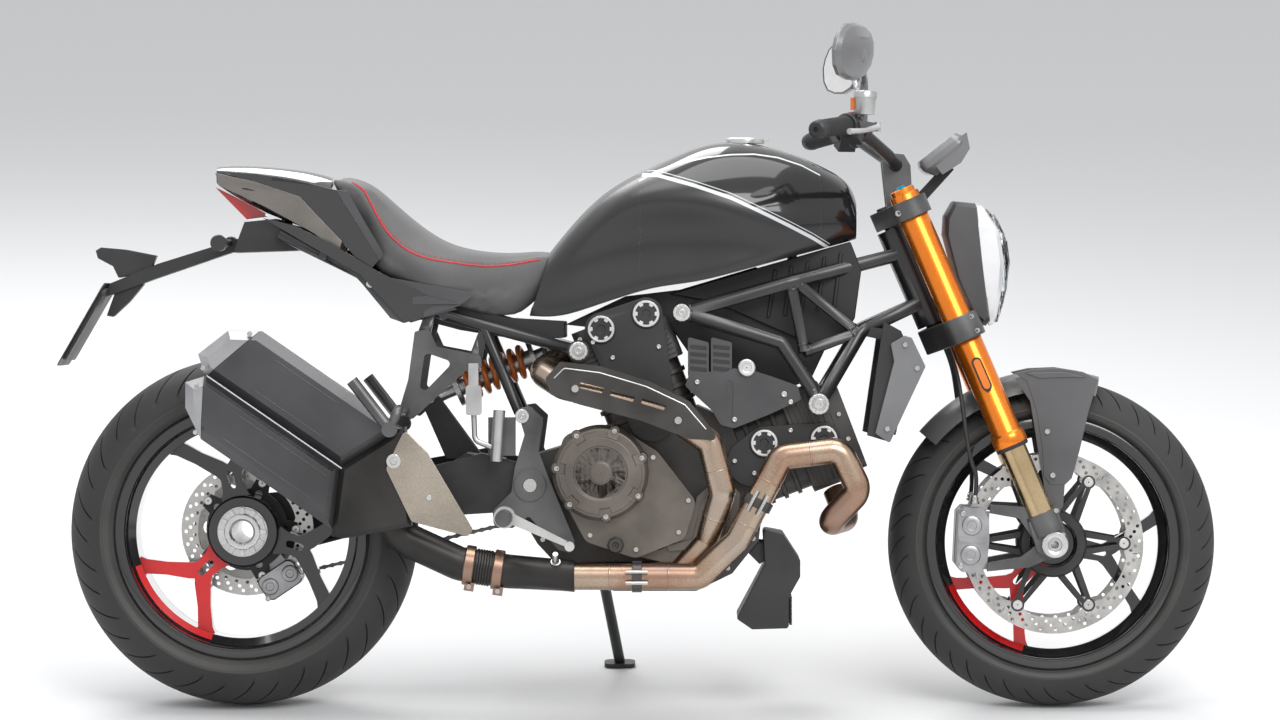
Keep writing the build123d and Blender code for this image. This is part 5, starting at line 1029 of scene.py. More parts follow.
case = stacked(
    [(rounded_box(118, 66, 14), -18), (rounded_box(140, 84, 16), -8), (rounded_box(158, 96, 18), 2),
     (rounded_box(158, 96, 18), 12), (rounded_box(146, 84, 14), 22), (rounded_box(138, 76, 12), 22),
     (rounded_box(136, 74, 12), 19)],
    INSTRUMENT,
)
screen = stacked([(rounded_box(136, 74, 12), 18), (rounded_box(136, 74, 12), 19.6)], INSTRUMENT)
HOOD_SIDE = [(520, 998), (566, 1040), (584, 1052), (590, 1022), (574, 996), (540, 974)]
hood_side = [(*plate(HOOD_SIDE, [], near * 66, near * 74), 0) for near in (1, -1)]
hang("instrument_case", [(*case, 0), (*screen, 1), *hood_side], [mirror_grey, display_glass], "steering",
     "matte_plastic", edge=1.2, rounds=2, smooth=30)


def stem_arm(*spots):
    """A flat arm in the middle of the fork, through (up, forward) places along the stem."""
    return plate([(p.x, p.z) for p in (fork_point(*spot) for spot in spots)], [], -12, 12)


hang("instrument_arm", [(*stem_arm((655, 47.5), (677, 47.5), (716, 136), (700, 146)), 0)], [cast_black], "steering",
     "matte_plastic", "instrument", edge=1.5)

# ------------------------------------------------------------ headlight
# A grey shell with a bright rim that slopes round a clear lens. Behind the
# lens are a mirror bowl, four lamps and a ring of light guides.
clear_lens = bpy.data.materials.new("clear_lens")
clear_lens.use_nodes = True
shade = clear_lens.node_tree.nodes["Principled BSDF"]
shade.inputs["Transmission Weight"].default_value = 1.0
shade.inputs["IOR"].default_value = 1.3
haze = clear_lens.node_tree.nodes.new("ShaderNodeTexNoise")
haze.inputs["Scale"].default_value = 60
clear_place = clear_lens.node_tree.nodes.new("ShaderNodeTexCoord")
veil = clear_lens.node_tree.nodes.new("ShaderNodeMapRange")
veil.inputs["To Min"].default_value, veil.inputs["To Max"].default_value = 0.0, 0.05
tone = clear_lens.node_tree.nodes.new("ShaderNodeValToRGB")
for stop, colour in zip(tone.color_ramp.elements, ((0.92, 0.94, 0.96, 1), (0.98, 0.99, 1.0, 1))):
    stop.color = colour
wire(clear_lens.node_tree, (
    (clear_place.outputs["Object"], haze.inputs["Vector"]),
    (haze.outputs["Fac"], veil.inputs["Value"]),
    (haze.outputs["Fac"], tone.inputs["Fac"]),
    (veil.outputs["Result"], shade.inputs["Roughness"]),
    (tone.outputs["Color"], shade.inputs["Base Color"]),
))
rim_white = surface(
    "rim_white", (0.7, 0.7, 0.71), (0.86, 0.86, 0.87), (0.2, 0.3), metal=0.3, grain=900, Coat_Weight=0.4,
    Coat_Roughness=0.15,
)
mirror_bowl = surface("mirror_bowl", (0.16, 0.16, 0.165), (0.26, 0.26, 0.27), (0.1, 0.2), metal=1.0, grain=60)
LAMP_SHELL = [(545, 900), (560, 926), (600, 922), (603, 916), (628, 706), (620, 698), (598, 716), (566, 782),
              (543, 866)]
LAMP_X, LAMP_Z = 592, 815
shell_layers = [
    [(LAMP_X + (x - LAMP_X) * (1 + grow / 60), LAMP_Z + (z - LAMP_Z) * (1 + grow / 110), half) for x, z in LAMP_SHELL]
    for half, grow in ((0, 0.0), (58, 0.0), (80, -2.5), (91, -9.0))
]


def lamp_side(layers, near):
    points = [(x, -near * right, z) for layer in layers for x, z, right in layer]
    count = len(layers[0])
    return points, grid(count, len(layers), closed_rows=True, closed_columns=False) + end_faces(count, len(layers))[1:]


RIM_OUT = [(601, 924, 4), (600, 918, 62), (604, 880, 88), (609, 815, 91), (616, 752, 86), (622, 712, 62), (629, 698, 4)]
RIM_FRONT = [(612, 922, 4), (613, 916, 56), (636, 876, 78), (645, 815, 82), (640, 752, 76), (634, 712, 54),
             (634, 700, 4)]
NOSE = [(648, 886, 0), (654, 868, 36), (660, 842, 54), (661, 815, 60), (655, 772, 52), (645, 736, 34), (636, 706, 0)]


def whole_ring(row):
    """A right-hand half outline of (x, z, right) places, carried round to the left."""
    return [(x, -right, z) for x, z, right in row] + [(x, right, z) for x, z, right in reversed(row)]


def ring_between(outer, inner):
    """A band between two half outlines, carried round to the other side."""
    both = whole_ring(outer) + whole_ring(inner)
    return both, rows_of_faces(len(both) // 2, 1)


def face_across(row):
    """A flat face over a half outline and its mirror image."""
    points = whole_ring(row)
    return points, [tuple(range(len(points)))]


inset = [(x + 7, z + (LAMP_Z - z) * 0.06, right * 0.86) for x, z, right in RIM_FRONT]
bowl_edge = [(x - 14, z, right) for x, z, right in inset]
bowl = [(x - 8, LAMP_Z + (z - LAMP_Z) * 0.72, right * 0.7) for x, z, right in bowl_edge]
LAMP_CUP = [(0, 0.5), (0, 24), (16, 24), (20, 22), (20, 20), (6, 9.6), (6, 0.5)]
LAMP_BULB = [(0, 0.5), (0, 9), (8, 7), (11, 3), (11, 0.5)]
GUIDE_DOT = [(0, 0.4), (0, 3.6), (5, 3.6), (5, 0.4)]
AHEAD = (1, 0, 0)
lamp_parts = [(*lamp_side(shell_layers, near), 0) for near in (1, -1)]
lamp_parts += [(*ring_between(RIM_OUT, RIM_FRONT), 1), (*ring_between(RIM_FRONT, inset), 1),
               (*ring_between(inset, bowl_edge), 1), (*ring_between(bowl_edge, bowl), 2), (*face_across(bowl), 3)]
for near in (1, -1):
    for z in (846, 790):
        lamp_parts.append((*turned_on((612, -near * 30, z), AHEAD, LAMP_CUP, 28), 2))
        lamp_parts.append((*turned_on((616, -near * 30, z), AHEAD, LAMP_BULB, 20), 4))
for k in range(14):
    angle = radians(-62 + k * 9.5)
    for near in (1, -1):
        spot = (632 - 6 * abs(k - 6.5) / 6.5, -near * 62 * cos(angle), LAMP_Z + 64 * sin(angle))
        lamp_parts.append((*turned_on(spot, AHEAD, GUIDE_DOT, 8), 5))
shell_grey = surface(
    "shell_grey", (0.055, 0.055, 0.057), (0.09, 0.09, 0.093), (0.32, 0.44), metal=0.3, grain=1500, relief=0.012, patch=6
)
light_guide = surface("light_guide", (0.8, 0.82, 0.84), (0.92, 0.93, 0.95), (0.1, 0.2), grain=200, Coat_Weight=0.5)
lamp_parts.append((*stem_arm((412, 47.5), (448, 47.5), (470, 92), (446, 92)), 6))
hang("headlight_body", lamp_parts,
     [shell_grey, rim_white, mirror_bowl, plain_black, display_glass, light_guide, cast_black],
     "steering", "grey_plastic", "headlight_shell", edge=0.8, smooth=24)
cover_edge = [(x + 0.6, z, right) for x, z, right in inset]
mid_nose = [((a[0] + b[0]) / 2 + 6, (a[1] + b[1]) / 2, (a[2] + b[2]) / 2 + 6 * (a[2] > 10))
            for a, b in zip(cover_edge, NOSE)]
lens_parts = [(*ring_between(cover_edge, mid_nose), 0), (*ring_between(mid_nose, NOSE), 0), (*face_across(NOSE), 0)]
lens_piece = hang("headlight_glass", lens_parts, [clear_lens], "steering", "clear_lens", "headlight_lens", smooth=20)
glass_wall = lens_piece.modifiers.new("glass_wall", "SOLIDIFY")
glass_wall.thickness, glass_wall.offset = 0.0025, -1

# ------------------------------------------------------------ trellis frame
# Steel tubes, welded into a trellis and powder coated satin black. Ringed
# bolts hold it to the cylinder heads.
powder_black = surface(
    "powder_black", (0.012, 0.012, 0.013), (0.03, 0.03, 0.032), (0.26, 0.38), grain=1100, relief=0.03, patch=9,
    Coat_Weight=0.35, Coat_Roughness=0.25,
)
finished("trellis_frame", powder_black, "chassis", "frame_paint", edge=0)
finished("rear_subframe", powder_black, "chassis", "frame_paint", edge=0)


def bead(a, b, at_share, radius, size=2.6):
    """A weld bead or ring round a pipe between two points, at a share of the way."""
    a, b = Vector(a), Vector(b)
    way = (b - a).normalized()
    spot = a.lerp(b, at_share)
    ring = [(size * cos(t), radius + size * 0.7 * sin(t)) for t in np.linspace(0, 2 * pi, 9)[:-1]]
    return turned_on(spot, way, ring, 32)


def ringed_bolt(x, right, z, radius, near=1):
    """A frame bolt: a flanged boss with a notched silver ring and a socket in its middle."""
    parts = [(*turned_on((x, -near * right, z), RIGHTWARD * near,
                         [(0, 0.5), (0, radius), (4, radius), (5.5, radius - 1.5), (5.5, radius - 6),
                          (3, radius - 7), (3, radius - 9), (7, radius - 10), (7, 3.5), (4, 3), (4, 0.5)], 36), 0)]
    notch = [(radius - 5.5, -1.6), (radius - 0.5, -1.9), (radius - 0.5, 1.9), (radius - 5.5, 1.6)]
    parts.append((*round_axle(side_plate(notch, near, right + 4, right + 6.4), 14, x, z), 0))
    return parts


frame_bolts = []
for near in (1, -1):
    for spot in ((313, 150, 556, 19), (64, 138, 722, 16), (-124, 131, 652, 17), (-226, 141, 534, 13)):
        frame_bolts += ringed_bolt(*spot, near)
hang("frame_bolts", frame_bolts, [bobbin_silver], "chassis", "bright_aluminium", edge=0.3, rounds=1)
welds = []
for near in (1, -1):
    flip = lambda p: Vector((p[0], -near * p[2], p[1]))
    for a, b, share, r in (
        ((64, 722, 126), (266, 779, 112), 0.08, 13), ((64, 722, 126), (245, 668, 132), 0.09, 13),
        ((262, 778, 112), (286, 650, 132), 0.12, 10), ((262, 778, 112), (286, 650, 132), 0.9, 10),
        ((270, 779, 112), (384, 686, 94), 0.09, 10), ((270, 779, 112), (384, 686, 94), 0.92, 10),
        ((286, 650, 132), (384, 686, 94), 0.1, 10), ((286, 650, 132), (384, 686, 94), 0.88, 10),
    ):
        welds.append((*bead(flip(a), flip(b), share, r, 2.2), 0))
hang("frame_welds", welds, [powder_black], "chassis", "frame_paint")

# ------------------------------------------------------------ airbox
# Black mouldings that fill the space between the tank and the engine, inside
# the frame: the airbox with its ribs, the guard behind the shock and a filler
# between the heads. Their black is darker than the other blacks: painted shade
# deep inside the frame, and the filler is a dark slab standing in for that shade.
inner_black_painted_shade = surface(
    "inner_black_painted_shade", (0.007, 0.007, 0.007), (0.016, 0.016, 0.016), (0.45, 0.6), grain=1300, relief=0.05, patch=10
)
AIRBOX = [(40, 756), (210, 806), (372, 852), (392, 800), (380, 712), (352, 664), (300, 664), (240, 690), (120, 742)]
GUARD = [(-150, 706), (-250, 712), (-385, 748), (-520, 800), (-560, 824), (-520, 780), (-440, 716), (-340, 690),
         (-230, 672), (-150, 676)]
BETWEEN_HEADS = [(-150, 700), (-40, 752), (60, 764), (200, 806), (330, 664), (300, 600), (200, 560), (110, 600),
                 (40, 700), (-60, 690)]
# the filler between the heads is a dark slab of painted shade, in the darkened black
fillers = [(*plate(AIRBOX, [], -72, 72), 0), (*plate(GUARD, [], -92, 92), 0), (*plate(BETWEEN_HEADS, [], -64, 64), 0)]
for near in (1, -1):
    for k in range(5):
        x = 218 + 30 * k
        rib = [(x, 712 + 4 * k), (x + 7, 712 + 4 * k), (x + 20, 800 + 8 * k), (x + 13, 800 + 8 * k)]
        fillers.append((*side_plate(rib, near, 71, 76), 0))
hang("airbox", fillers, [inner_black_painted_shade], "chassis", "matte_plastic", edge=3.0, rounds=2)

# ------------------------------------------------------------ engine
# Sand-cast aluminium cases and cylinders, painted bronze-grey, with die-cast
# covers held by rows of socket screws along their joints.
engine_bronze = surface(
    "engine_bronze", (0.1, 0.088, 0.075), (0.2, 0.178, 0.155), (0.34, 0.48), metal=0.75, grain=1100, relief=0.09,
    patch=10,
)
engine_dark = surface(
    "engine_dark", (0.045, 0.042, 0.04), (0.1, 0.094, 0.088), (0.38, 0.52), metal=0.6, grain=1100, relief=0.09, patch=10
)
finished("crankcase", engine_dark, "chassis", "engine_grey", edge=2.2, rounds=2)
finished("cylinders", engine_dark, "chassis", "engine_grey", edge=1.6, rounds=2)
finished("clutch_cover", engine_bronze, "chassis", "engine_grey", edge=2.4, rounds=3)
finished("generator_cover", engine_bronze, "chassis", "engine_grey", edge=2.4, rounds=3)
CRANK = Vector((60, 0, 400))
CYLINDER_AXES = {"front": Vector((0.93358, 0, 0.358368)), "rear": Vector((-0.358368, 0, 0.93358))}
HEAD_OUT, HEAD_HALF = 105.0, 84
FIN_FROM, FIN_PITCH, FIN_THICK = 236, 9.4, 3.6

# fins along both sides of each head, between the water jacket and the cam box
fins = []
for axis in CYLINDER_AXES.values():
    over = Vector((-axis.z, 0, axis.x))
    for near in (1, -1):
        for k in range(7):
            low = CRANK + axis * (FIN_FROM + FIN_PITCH * k)
            points = [low + axis * d + over * half - Vector((0, near * out, 0))
                      for out in (HEAD_OUT - 1, HEAD_OUT + 5 - 0.5 * abs(k - 3))
                      for d in (0, FIN_THICK) for half in (HEAD_HALF, -HEAD_HALF)]
            faces = [(0, 1, 3, 2), (4, 6, 7, 5), (0, 4, 5, 1), (2, 3, 7, 6), (0, 2, 6, 4), (1, 5, 7, 3)]
            fins.append((points, faces, 0))
hang("head_ribs", fins, [engine_dark], "chassis", "engine_grey", edge=0.7)

# the clutch cover: a stepped outer lid with lobes for its screws, and an oil filler
CLUTCH_X, CLUTCH_Z, CLUTCH_SCREWS = -83, 432, 7
LID = [(0, 46), (0, 80), (2, 82), (4, 80), (6, 66), (9, 64), (9, 50), (6, 47), (6, 20), (8, 18), (8, 0.5), (0, 0.5)]


def round_clutch(radius, angle):
    """A place in the side view, at a radius and an angle round the clutch."""
    return CLUTCH_X + radius * cos(angle), CLUTCH_Z + radius * sin(angle)


lid = [(*turned_on((CLUTCH_X, -178, CLUTCH_Z), RIGHTWARD, LID, 72), 0)]
lobes = []
for k in range(CLUTCH_SCREWS):
    x, z = round_clutch(80, radians(20 + k * 360 / CLUTCH_SCREWS))
    spot = Vector((x, -171, z))
    lid.append((*turned_on(spot, RIGHTWARD, [(0, 0.5), (0, 11), (7, 10), (9, 8.6), (9, 0.5)], 20), 0))
    lobes.append((spot.x, 180, spot.z, RIGHTWARD, 5.4))
facets = []
for k in range(CLUTCH_SCREWS):
    a, b = radians(20 + k * 360 / CLUTCH_SCREWS), radians(20 + (k + 1) * 360 / CLUTCH_SCREWS)
    outline = [round_clutch(radius, a + (b - a) * t)
               for radius, shares in ((76, (0.16, 0.5, 0.84)), (62, (0.84, 0.5, 0.16))) for t in shares]
    facets.append((*plate(outline, [], 181, 186.5), 0))
hang("clutch_lid", lid + facets, [engine_bronze], "chassis", "engine_grey", edge=1.2, rounds=2, smooth=28)
CLUTCH_COVER_SCREWS = [(-166, 420), (-146, 492), (-60, 511), (14, 464), (80, 380), (62, 318), (-18, 284), (-104, 312)]
CRANKCASE_SCREWS = [(200, 366), (-60, 484), (-110, 480), (-196, 452), (-238, 404), (-190, 308), (-134, 246), (-60, 224),
                    (20, 224), (88, 224), (148, 256), (194, 310)]
LOWER_COVER_SCREWS = [(60, 274), (122, 290), (156, 334), (158, 392), (136, 416)]
case_screws = list(lobes)
for x, z in CLUTCH_COVER_SCREWS:
    case_screws.append((x * 0.97 - 1.5, 150, 400 + (z - 400) * 0.93, RIGHTWARD, 5.0))
for x, z in CRANKCASE_SCREWS:
    for near in (1, -1):
        case_screws.append((x, near * 95, z, RIGHTWARD * near, 5.0))
for k in range(9):
    angle = radians(15 + 40 * k)
    case_screws.append((60 + 82 * cos(angle), -131, 378 + 98 * sin(angle), LEFTWARD, 5.0))

# the lower cover round the crank's end, with the oil sight glass
SIGHT_RING = [(-30, 1), (-30, 21), (4, 21), (6, 19), (6, 15), (3, 14), (3, 1)]
SIGHT_DISC = [(0, 0.5), (0, 13.6), (1.4, 13), (2, 10), (2, 0.5)]
OIL_FILLER = [(-40, 1), (-40, 15), (8, 15), (11, 13), (11, 6), (8, 5), (8, 1)]
lower_cover = [
    (*plate([(-24, 280), (56, 262), (128, 280), (166, 330), (170, 392), (140, 430), (92, 388), (72, 318), (-16, 284)],
            [], 94, 128), 0),
    (*plate([(40, 288), (110, 294), (146, 336), (148, 384), (128, 404), (100, 380), (84, 310), (36, 298)], [], 127,
            134), 0),
    (*turned_on((19, -127, 311), RIGHTWARD, SIGHT_RING, 36), 1),
    (*turned_on((19, -130.5, 311), RIGHTWARD, SIGHT_DISC, 30), 2),
    (*turned_on((-56, -150, 300), RIGHTWARD, OIL_FILLER, 8), 1),
]
sight_glass = surface(
    "sight_glass", (0.16, 0.1, 0.03), (0.3, 0.2, 0.07), (0.05, 0.1), grain=120, Coat_Weight=1.0, Coat_Roughness=0.03
)
hang("lower_case_cover", lower_cover, [engine_bronze, engine_dark, sight_glass], "chassis", "engine_grey", edge=2.0,
     rounds=2)
for x, z in LOWER_COVER_SCREWS:
    case_screws.append((x, 128, z, RIGHTWARD, 5.0))
for axis in CYLINDER_AXES.values():
    over = Vector((-axis.z, 0, axis.x))
    for near in (1, -1):
        for share in (-72, -24, 24, 72):
            spot = CRANK + axis * 320 + over * share
            case_screws.append((spot.x, near * 98, spot.z, RIGHTWARD * near, 4.6))
hang_screws("case_screws", case_screws, "chassis")

# ------------------------------------------------------------ belt covers
# Moulded black covers over the timing belts. A silver ring with six teeth
# closes the plug over each pulley.
def belt_plug(x, right, z, radius):
    ring = turned_on((x, -right, z), RIGHTWARD,
                     [(0, radius - 5), (0, radius), (3.5, radius), (5, radius - 1.2), (5, radius - 5)], 48)
    cap = turned_on((x, -right, z), RIGHTWARD,
                    [(-1, 0.5), (-1, radius - 4.6), (3.2, radius - 5.2), (3.2, 8), (1.6, 7), (1.6, 0.5)], 40)
    tooth = plate([(radius - 9.5, -3.2), (radius - 4.5, -4.2), (radius - 4.5, 4.2), (radius - 9.5, 3.2)], [],
                  right + 1.5, right + 4.6)
    return [(*ring, 1), (*cap, 0), (*round_axle(tooth, 6, x, z), 1)]


finished("belt_covers", plain_black, "chassis", "matte_plastic", edge=1.6, rounds=2)
PULLEYS = [(214, 485), (323, 492), (-83, 692), (-1, 720)]
BELT_COVER_SCREWS = [(160, 452), (196, 430), (262, 508), (348, 468), (268, 446), (30, 580), (-36, 540), (22, 660),
                     (-62, 640), (-98, 668)]
plugs = []
for x, z in PULLEYS:
    plugs += belt_plug(x, 119, z, 25)
cover_screws = [(x, 117, z, RIGHTWARD, 4.2) for x, z in BELT_COVER_SCREWS]
plugs.append((*screws(cover_screws), 1))
hang("belt_cover_plugs", plugs, [plain_black, bobbin_silver], "chassis", "matte_plastic", edge=0.4)

# ------------------------------------------------------------ electrics cover
# A grey moulded side cover with a slot and a round cap, in front of two relay
# boxes that hang under the frame tube.
cover_grey = surface(
    "cover_grey", (0.06, 0.06, 0.062), (0.1, 0.1, 0.103), (0.3, 0.42), metal=0.4, grain=1500, relief=0.02, patch=8
)
finished("electrics_cover", cover_grey, "chassis", "matte_plastic", edge=1.0)
relays = []
for x in (94, 136):
    for k in range(4):
        z = 618 + 13 * k
        relays.append((*plate([(x - 15, z), (x + 15, z - 3), (x + 15, z + 4), (x - 15, z + 7)], [], 131, 133.5), 0))
relays.append((*screws([(x, 136, z, RIGHTWARD, r)
                        for x, z, r in ((250, 574, 5.4), (92, 596, 4.6), (160, 528, 4.6), (262, 560, 4.6))]), 1))
ROUND_CAP = [(-4, 1), (-4, 16), (3, 16), (5, 14), (5, 9), (3, 8), (3, 1)]
relays.append((*turned_on((182, -139, 622), RIGHTWARD, ROUND_CAP, 36), 1))
hang("relay_ribs", relays, [plain_black, bobbin_silver], "chassis", "matte_plastic", edge=0.5)

# ------------------------------------------------------------ exhaust
# Stainless pipes that heat has turned straw and copper, with welded seams and
# spring clips, a pressed shield, and two faceted silencers on one joint box.
def heat_tinted(name, cool, straw, copper, rough):
    made = surface(name, cool, straw, rough, metal=1.0, patch=5, grain=420, relief=0.01)
    nodes, links = made.node_tree.nodes, made.node_tree.links
    shade = nodes["Principled BSDF"]
    ramp = shade.inputs["Base Color"].links[0].from_node.color_ramp
    ramp.elements[0].position, ramp.elements[1].position = 0.38, 0.62
    hot = ramp.elements.new(0.78)
    hot.color = (*copper, 1)
    dull = ramp.elements.new(0.95)
    dull.color = (cool[0] * 0.8, cool[1] * 0.7, cool[2] * 0.75, 1)
    return made


header_steel = heat_tinted("header_steel", (0.36, 0.31, 0.27), (0.46, 0.36, 0.28), (0.36, 0.22, 0.15), (0.22, 0.36))
shield_steel = surface(
    "shield_steel", (0.05, 0.048, 0.046), (0.11, 0.105, 0.1), (0.28, 0.4), metal=0.8, grain=1200, relief=0.02, patch=9
)
finished("exhaust_headers", header_steel, "chassis", "exhaust_steel", edge=0, smooth=40)
finished("heat_shield", shield_steel, "chassis", "exhaust_steel", edge=0.8)
at = lambda x, z, right: Vector((x, -right, z))
SLEEVE = [(0, 24), (0, 27.5), (1, 28.5), (17, 28.5), (18, 27.5), (18, 24)]
seams = []
for a, b, share, r in (
    (at(-150, 588, 176), at(30, 548, 180), 0.14, 24), (at(30, 548, 180), at(116, 486, 176), 0.5, 24),
    (at(116, 486, 176), at(138, 395, 172), 0.55, 24), (at(138, 395, 172), at(112, 305, 129), 0.45, 24),
    (at(350, 474, 176), at(245, 462, 176), 0.5, 24), (at(245, 462, 176), at(165, 310, 176), 0.3, 24),
    (at(245, 462, 176), at(165, 310, 176), 0.82, 24), (at(96, 244, 176), at(-130, 244, 176), 0.25, 24),
    (at(96, 244, 176), at(-130, 244, 176), 0.72, 24),
):
    seams.append((*bead(a, b, share, r, 1.7), 0))
for a, b, share in ((at(245, 462, 176), at(165, 310, 176), 0.55), (at(96, 244, 176), at(-130, 244, 176), 0.5)):
    spot, way = a.lerp(b, share), (b - a).normalized()
    seams.append((*turned_on(spot - way * 9, way, SLEEVE, 40), 1))
    for near in (1, -1):
        tip = spot + Vector((0, -30, 0)) + way.cross(Vector((0, 1, 0))) * near * 10
        seams.append((*turned_on(tip - way * 20, way, rod(40, 3.4), 10), 2))
hang("pipe_seams", seams, [header_steel, shield_steel, bright_steel], "chassis", "exhaust_steel")
shield_bolts = [(-128, 217, 585, RIGHTWARD, 7.5), (58, 217, 528, RIGHTWARD, 7.5)]
line = [(-166, 604), (-148, 622), (-84, 614), (0, 589), (70, 556), (108, 512)]
bars = [(*tube_along([at(x, z, 213) for x, z in line], 1.3, 8, 8), 0), (*screws(shield_bolts), 1)]
hang("shield_trim", bars, [bobbin_silver, bright_steel], "chassis", "exhaust_steel")

link_black = surface(
    "link_black", (0.022, 0.021, 0.02), (0.05, 0.047, 0.045), (0.34, 0.46), metal=0.6, grain=1000, relief=0.03, patch=9
)
finished("link_pipe", link_black, "chassis", "satin_black_metal", edge=1.6)
LINK_FRONT, LINK_BACK = at(-250, 252, 149.5), at(-340, 266, 149.5)
PIPE_CLAMP = [(0, 31), (0, 35), (1.5, 36.5), (16.5, 36.5), (18, 35), (18, 31)]
clamps = []
for share in (0.22, 0.8):
    spot, way = LINK_FRONT.lerp(LINK_BACK, share), (LINK_BACK - LINK_FRONT).normalized()
    clamps.append((*turned_on(spot - way * 9, way, PIPE_CLAMP, 48), 0))
    ear = spot + Vector((0, -10, -38))
    clamps.append((*block(ear + way * -9, ear + way * 9, 12, 16), 0))
    clamps.append((*turned_on(ear + Vector((0, -14, 0)), (0, 1, 0), rod(26, 5), 6), 2))
for k in range(6):
    clamps.append((*bead(LINK_FRONT, LINK_BACK, 0.38 + k * 0.055, 31.4, 2.4), 1))
sensor = at(-164, 244, 149.5)
clamps.append((*turned_on(sensor + Vector((0, -30, 20)), (0, -0.75, 0.65),
                          [(0, 0.5), (0, 9), (12, 9), (12, 7), (26, 6), (34, 5), (34, 0.5)], 16), 2))
hang("link_clamps", clamps, [header_steel, link_black, bright_steel], "chassis", "exhaust_steel", edge=0.5)

# each silencer: a sleeve in dark grey with a polished seam, and a silver end cap
silencer_grey = surface(
    "silencer_grey", (0.05, 0.05, 0.052), (0.09, 0.09, 0.093), (0.26, 0.38), metal=0.6, grain=1400, relief=0.02,
    patch=6, Coat_Weight=0.2, Coat_Roughness=0.25,
)
cap_silver = surface("cap_silver", (0.3, 0.3, 0.31), (0.42, 0.42, 0.43), (0.3, 0.42), metal=0.7, grain=420, relief=0.01)
titanium = surface("titanium", (0.3, 0.26, 0.22), (0.5, 0.44, 0.37), (0.16, 0.28), metal=1.0, grain=260, patch=7)
SLOPE = radians(34.5)
BACK_WAY, DOWN_WAY = Vector((-cos(SLOPE), 0, sin(SLOPE))), Vector((-sin(SLOPE), 0, -cos(SLOPE)))
SILENCER_TOP = Vector((-492, 0, 546))


def along_silencer(a, b, right):
    """A silencer point: back along it, down across it, and to the right."""
    spot = SILENCER_TOP + BACK_WAY * a + DOWN_WAY * b
    return (spot.x, -right, spot.z)


def silencer_can(outline):
    """One faceted can round a side outline, with chamfered faces."""
    points = []
    count = len(outline)
    for right, pull in ((116, 16), (132, 0), (198, 0), (214, 16)):
        for k in range(count):
            before, here, after = Vector(outline[k - 1]), Vector(outline[k]), Vector(outline[(k + 1) % count])
            d1, d2 = (here - before).normalized(), (after - here).normalized()
            n1, n2 = Vector((-d1.y, d1.x)), Vector((-d2.y, d2.x))
            inward = (n1 + n2) / max(0.3, 1 + n1.dot(n2))
            spot = here + inward * pull
            points.append(along_silencer(spot.x, spot.y, right))
    return points, grid(count, 4, closed_rows=True, closed_columns=False) + end_faces(count, 4)


def kept_side(part, spot, way):
    """The part of a closed form that lies behind a plane, closed over the cut."""
    form = bpy.data.meshes.new("form")
    form.from_pydata([tuple(p) for p in part[0]], [], part[1])
    cut = bmesh.new()
    cut.from_mesh(form)
    bmesh.ops.recalc_face_normals(cut, faces=cut.faces)
    made = bmesh.ops.bisect_plane(cut, geom=[*cut.verts, *cut.edges, *cut.faces], dist=1e-4, plane_co=spot,
                                  plane_no=way, clear_outer=True)
    bmesh.ops.holes_fill(cut, edges=[e for e in made["geom_cut"] if isinstance(e, bmesh.types.BMEdge)])
    cut.verts.index_update()
    kept = [v.co.copy() for v in cut.verts], [tuple(v.index for v in f.verts) for f in cut.faces]
    cut.free()
    bpy.data.meshes.remove(form)
    return kept


cans, cap_bolts = [], []
UPPER_MUFFLER = [(-60, 0), (251, 0), (299, 31), (320, 97), (292, 118.6), (-9, 118.6)]
LOWER_MUFFLER = [(-9, 119.8), (285, 119.8), (310, 152), (284, 190), (229, 221), (-60, 221)]
SEAM_GAP = 0.8
for outline, high, low, spots in (
    (UPPER_MUFFLER, (-698, 689), (-795, 607), ((-716, 684), (-800, 622))),
    (LOWER_MUFFLER, (-799, 601), (-805, 487), ((-812, 590), (-814, 506))),
):
    across = Vector((low[0] - high[0], 0, low[1] - high[1])).normalized()
    rearward = Vector((across.z, 0, -across.x))
    rearward *= -1 if rearward.x > 0 else 1
    cut_at = Vector((high[0], 0, high[1]))
    can = silencer_can(outline)
    cans.append((*kept_side(can, cut_at, rearward), 0))
    cans.append((*kept_side(can, cut_at + rearward * SEAM_GAP, -rearward), 1))
    cap_bolts += [(x, 209, z, RIGHTWARD, 4.6) for x, z in spots]
seam_line = [along_silencer(-12, 119.2, 214.6), along_silencer(284, 119.2, 214.6)]
cans.append((*tube_along(seam_line, 1.6, 4, 8), 1))
for b in (26, 92, 146, 196):
    cans.append((*tube_along([along_silencer(4, b, 214.2), along_silencer(196, b, 214.2)], 0.8, 4, 6), 0))
cans.append((*screws(cap_bolts), 2))
hang("silencer_cans", cans, [silencer_grey, cap_silver, bright_steel], "chassis", "silencer_black",
     "silencers", edge=1.4, rounds=3, smooth=24)
finished("silencer_guard", titanium, "chassis", "exhaust_steel", edge=1.2)
hang("guard_bolt", [*ringed_bolt(-456, 212, 454, 13), (*screws([(-392, 212, 388, RIGHTWARD, 5)]), 0)], [bobbin_silver],
     "chassis", "bright_aluminium")

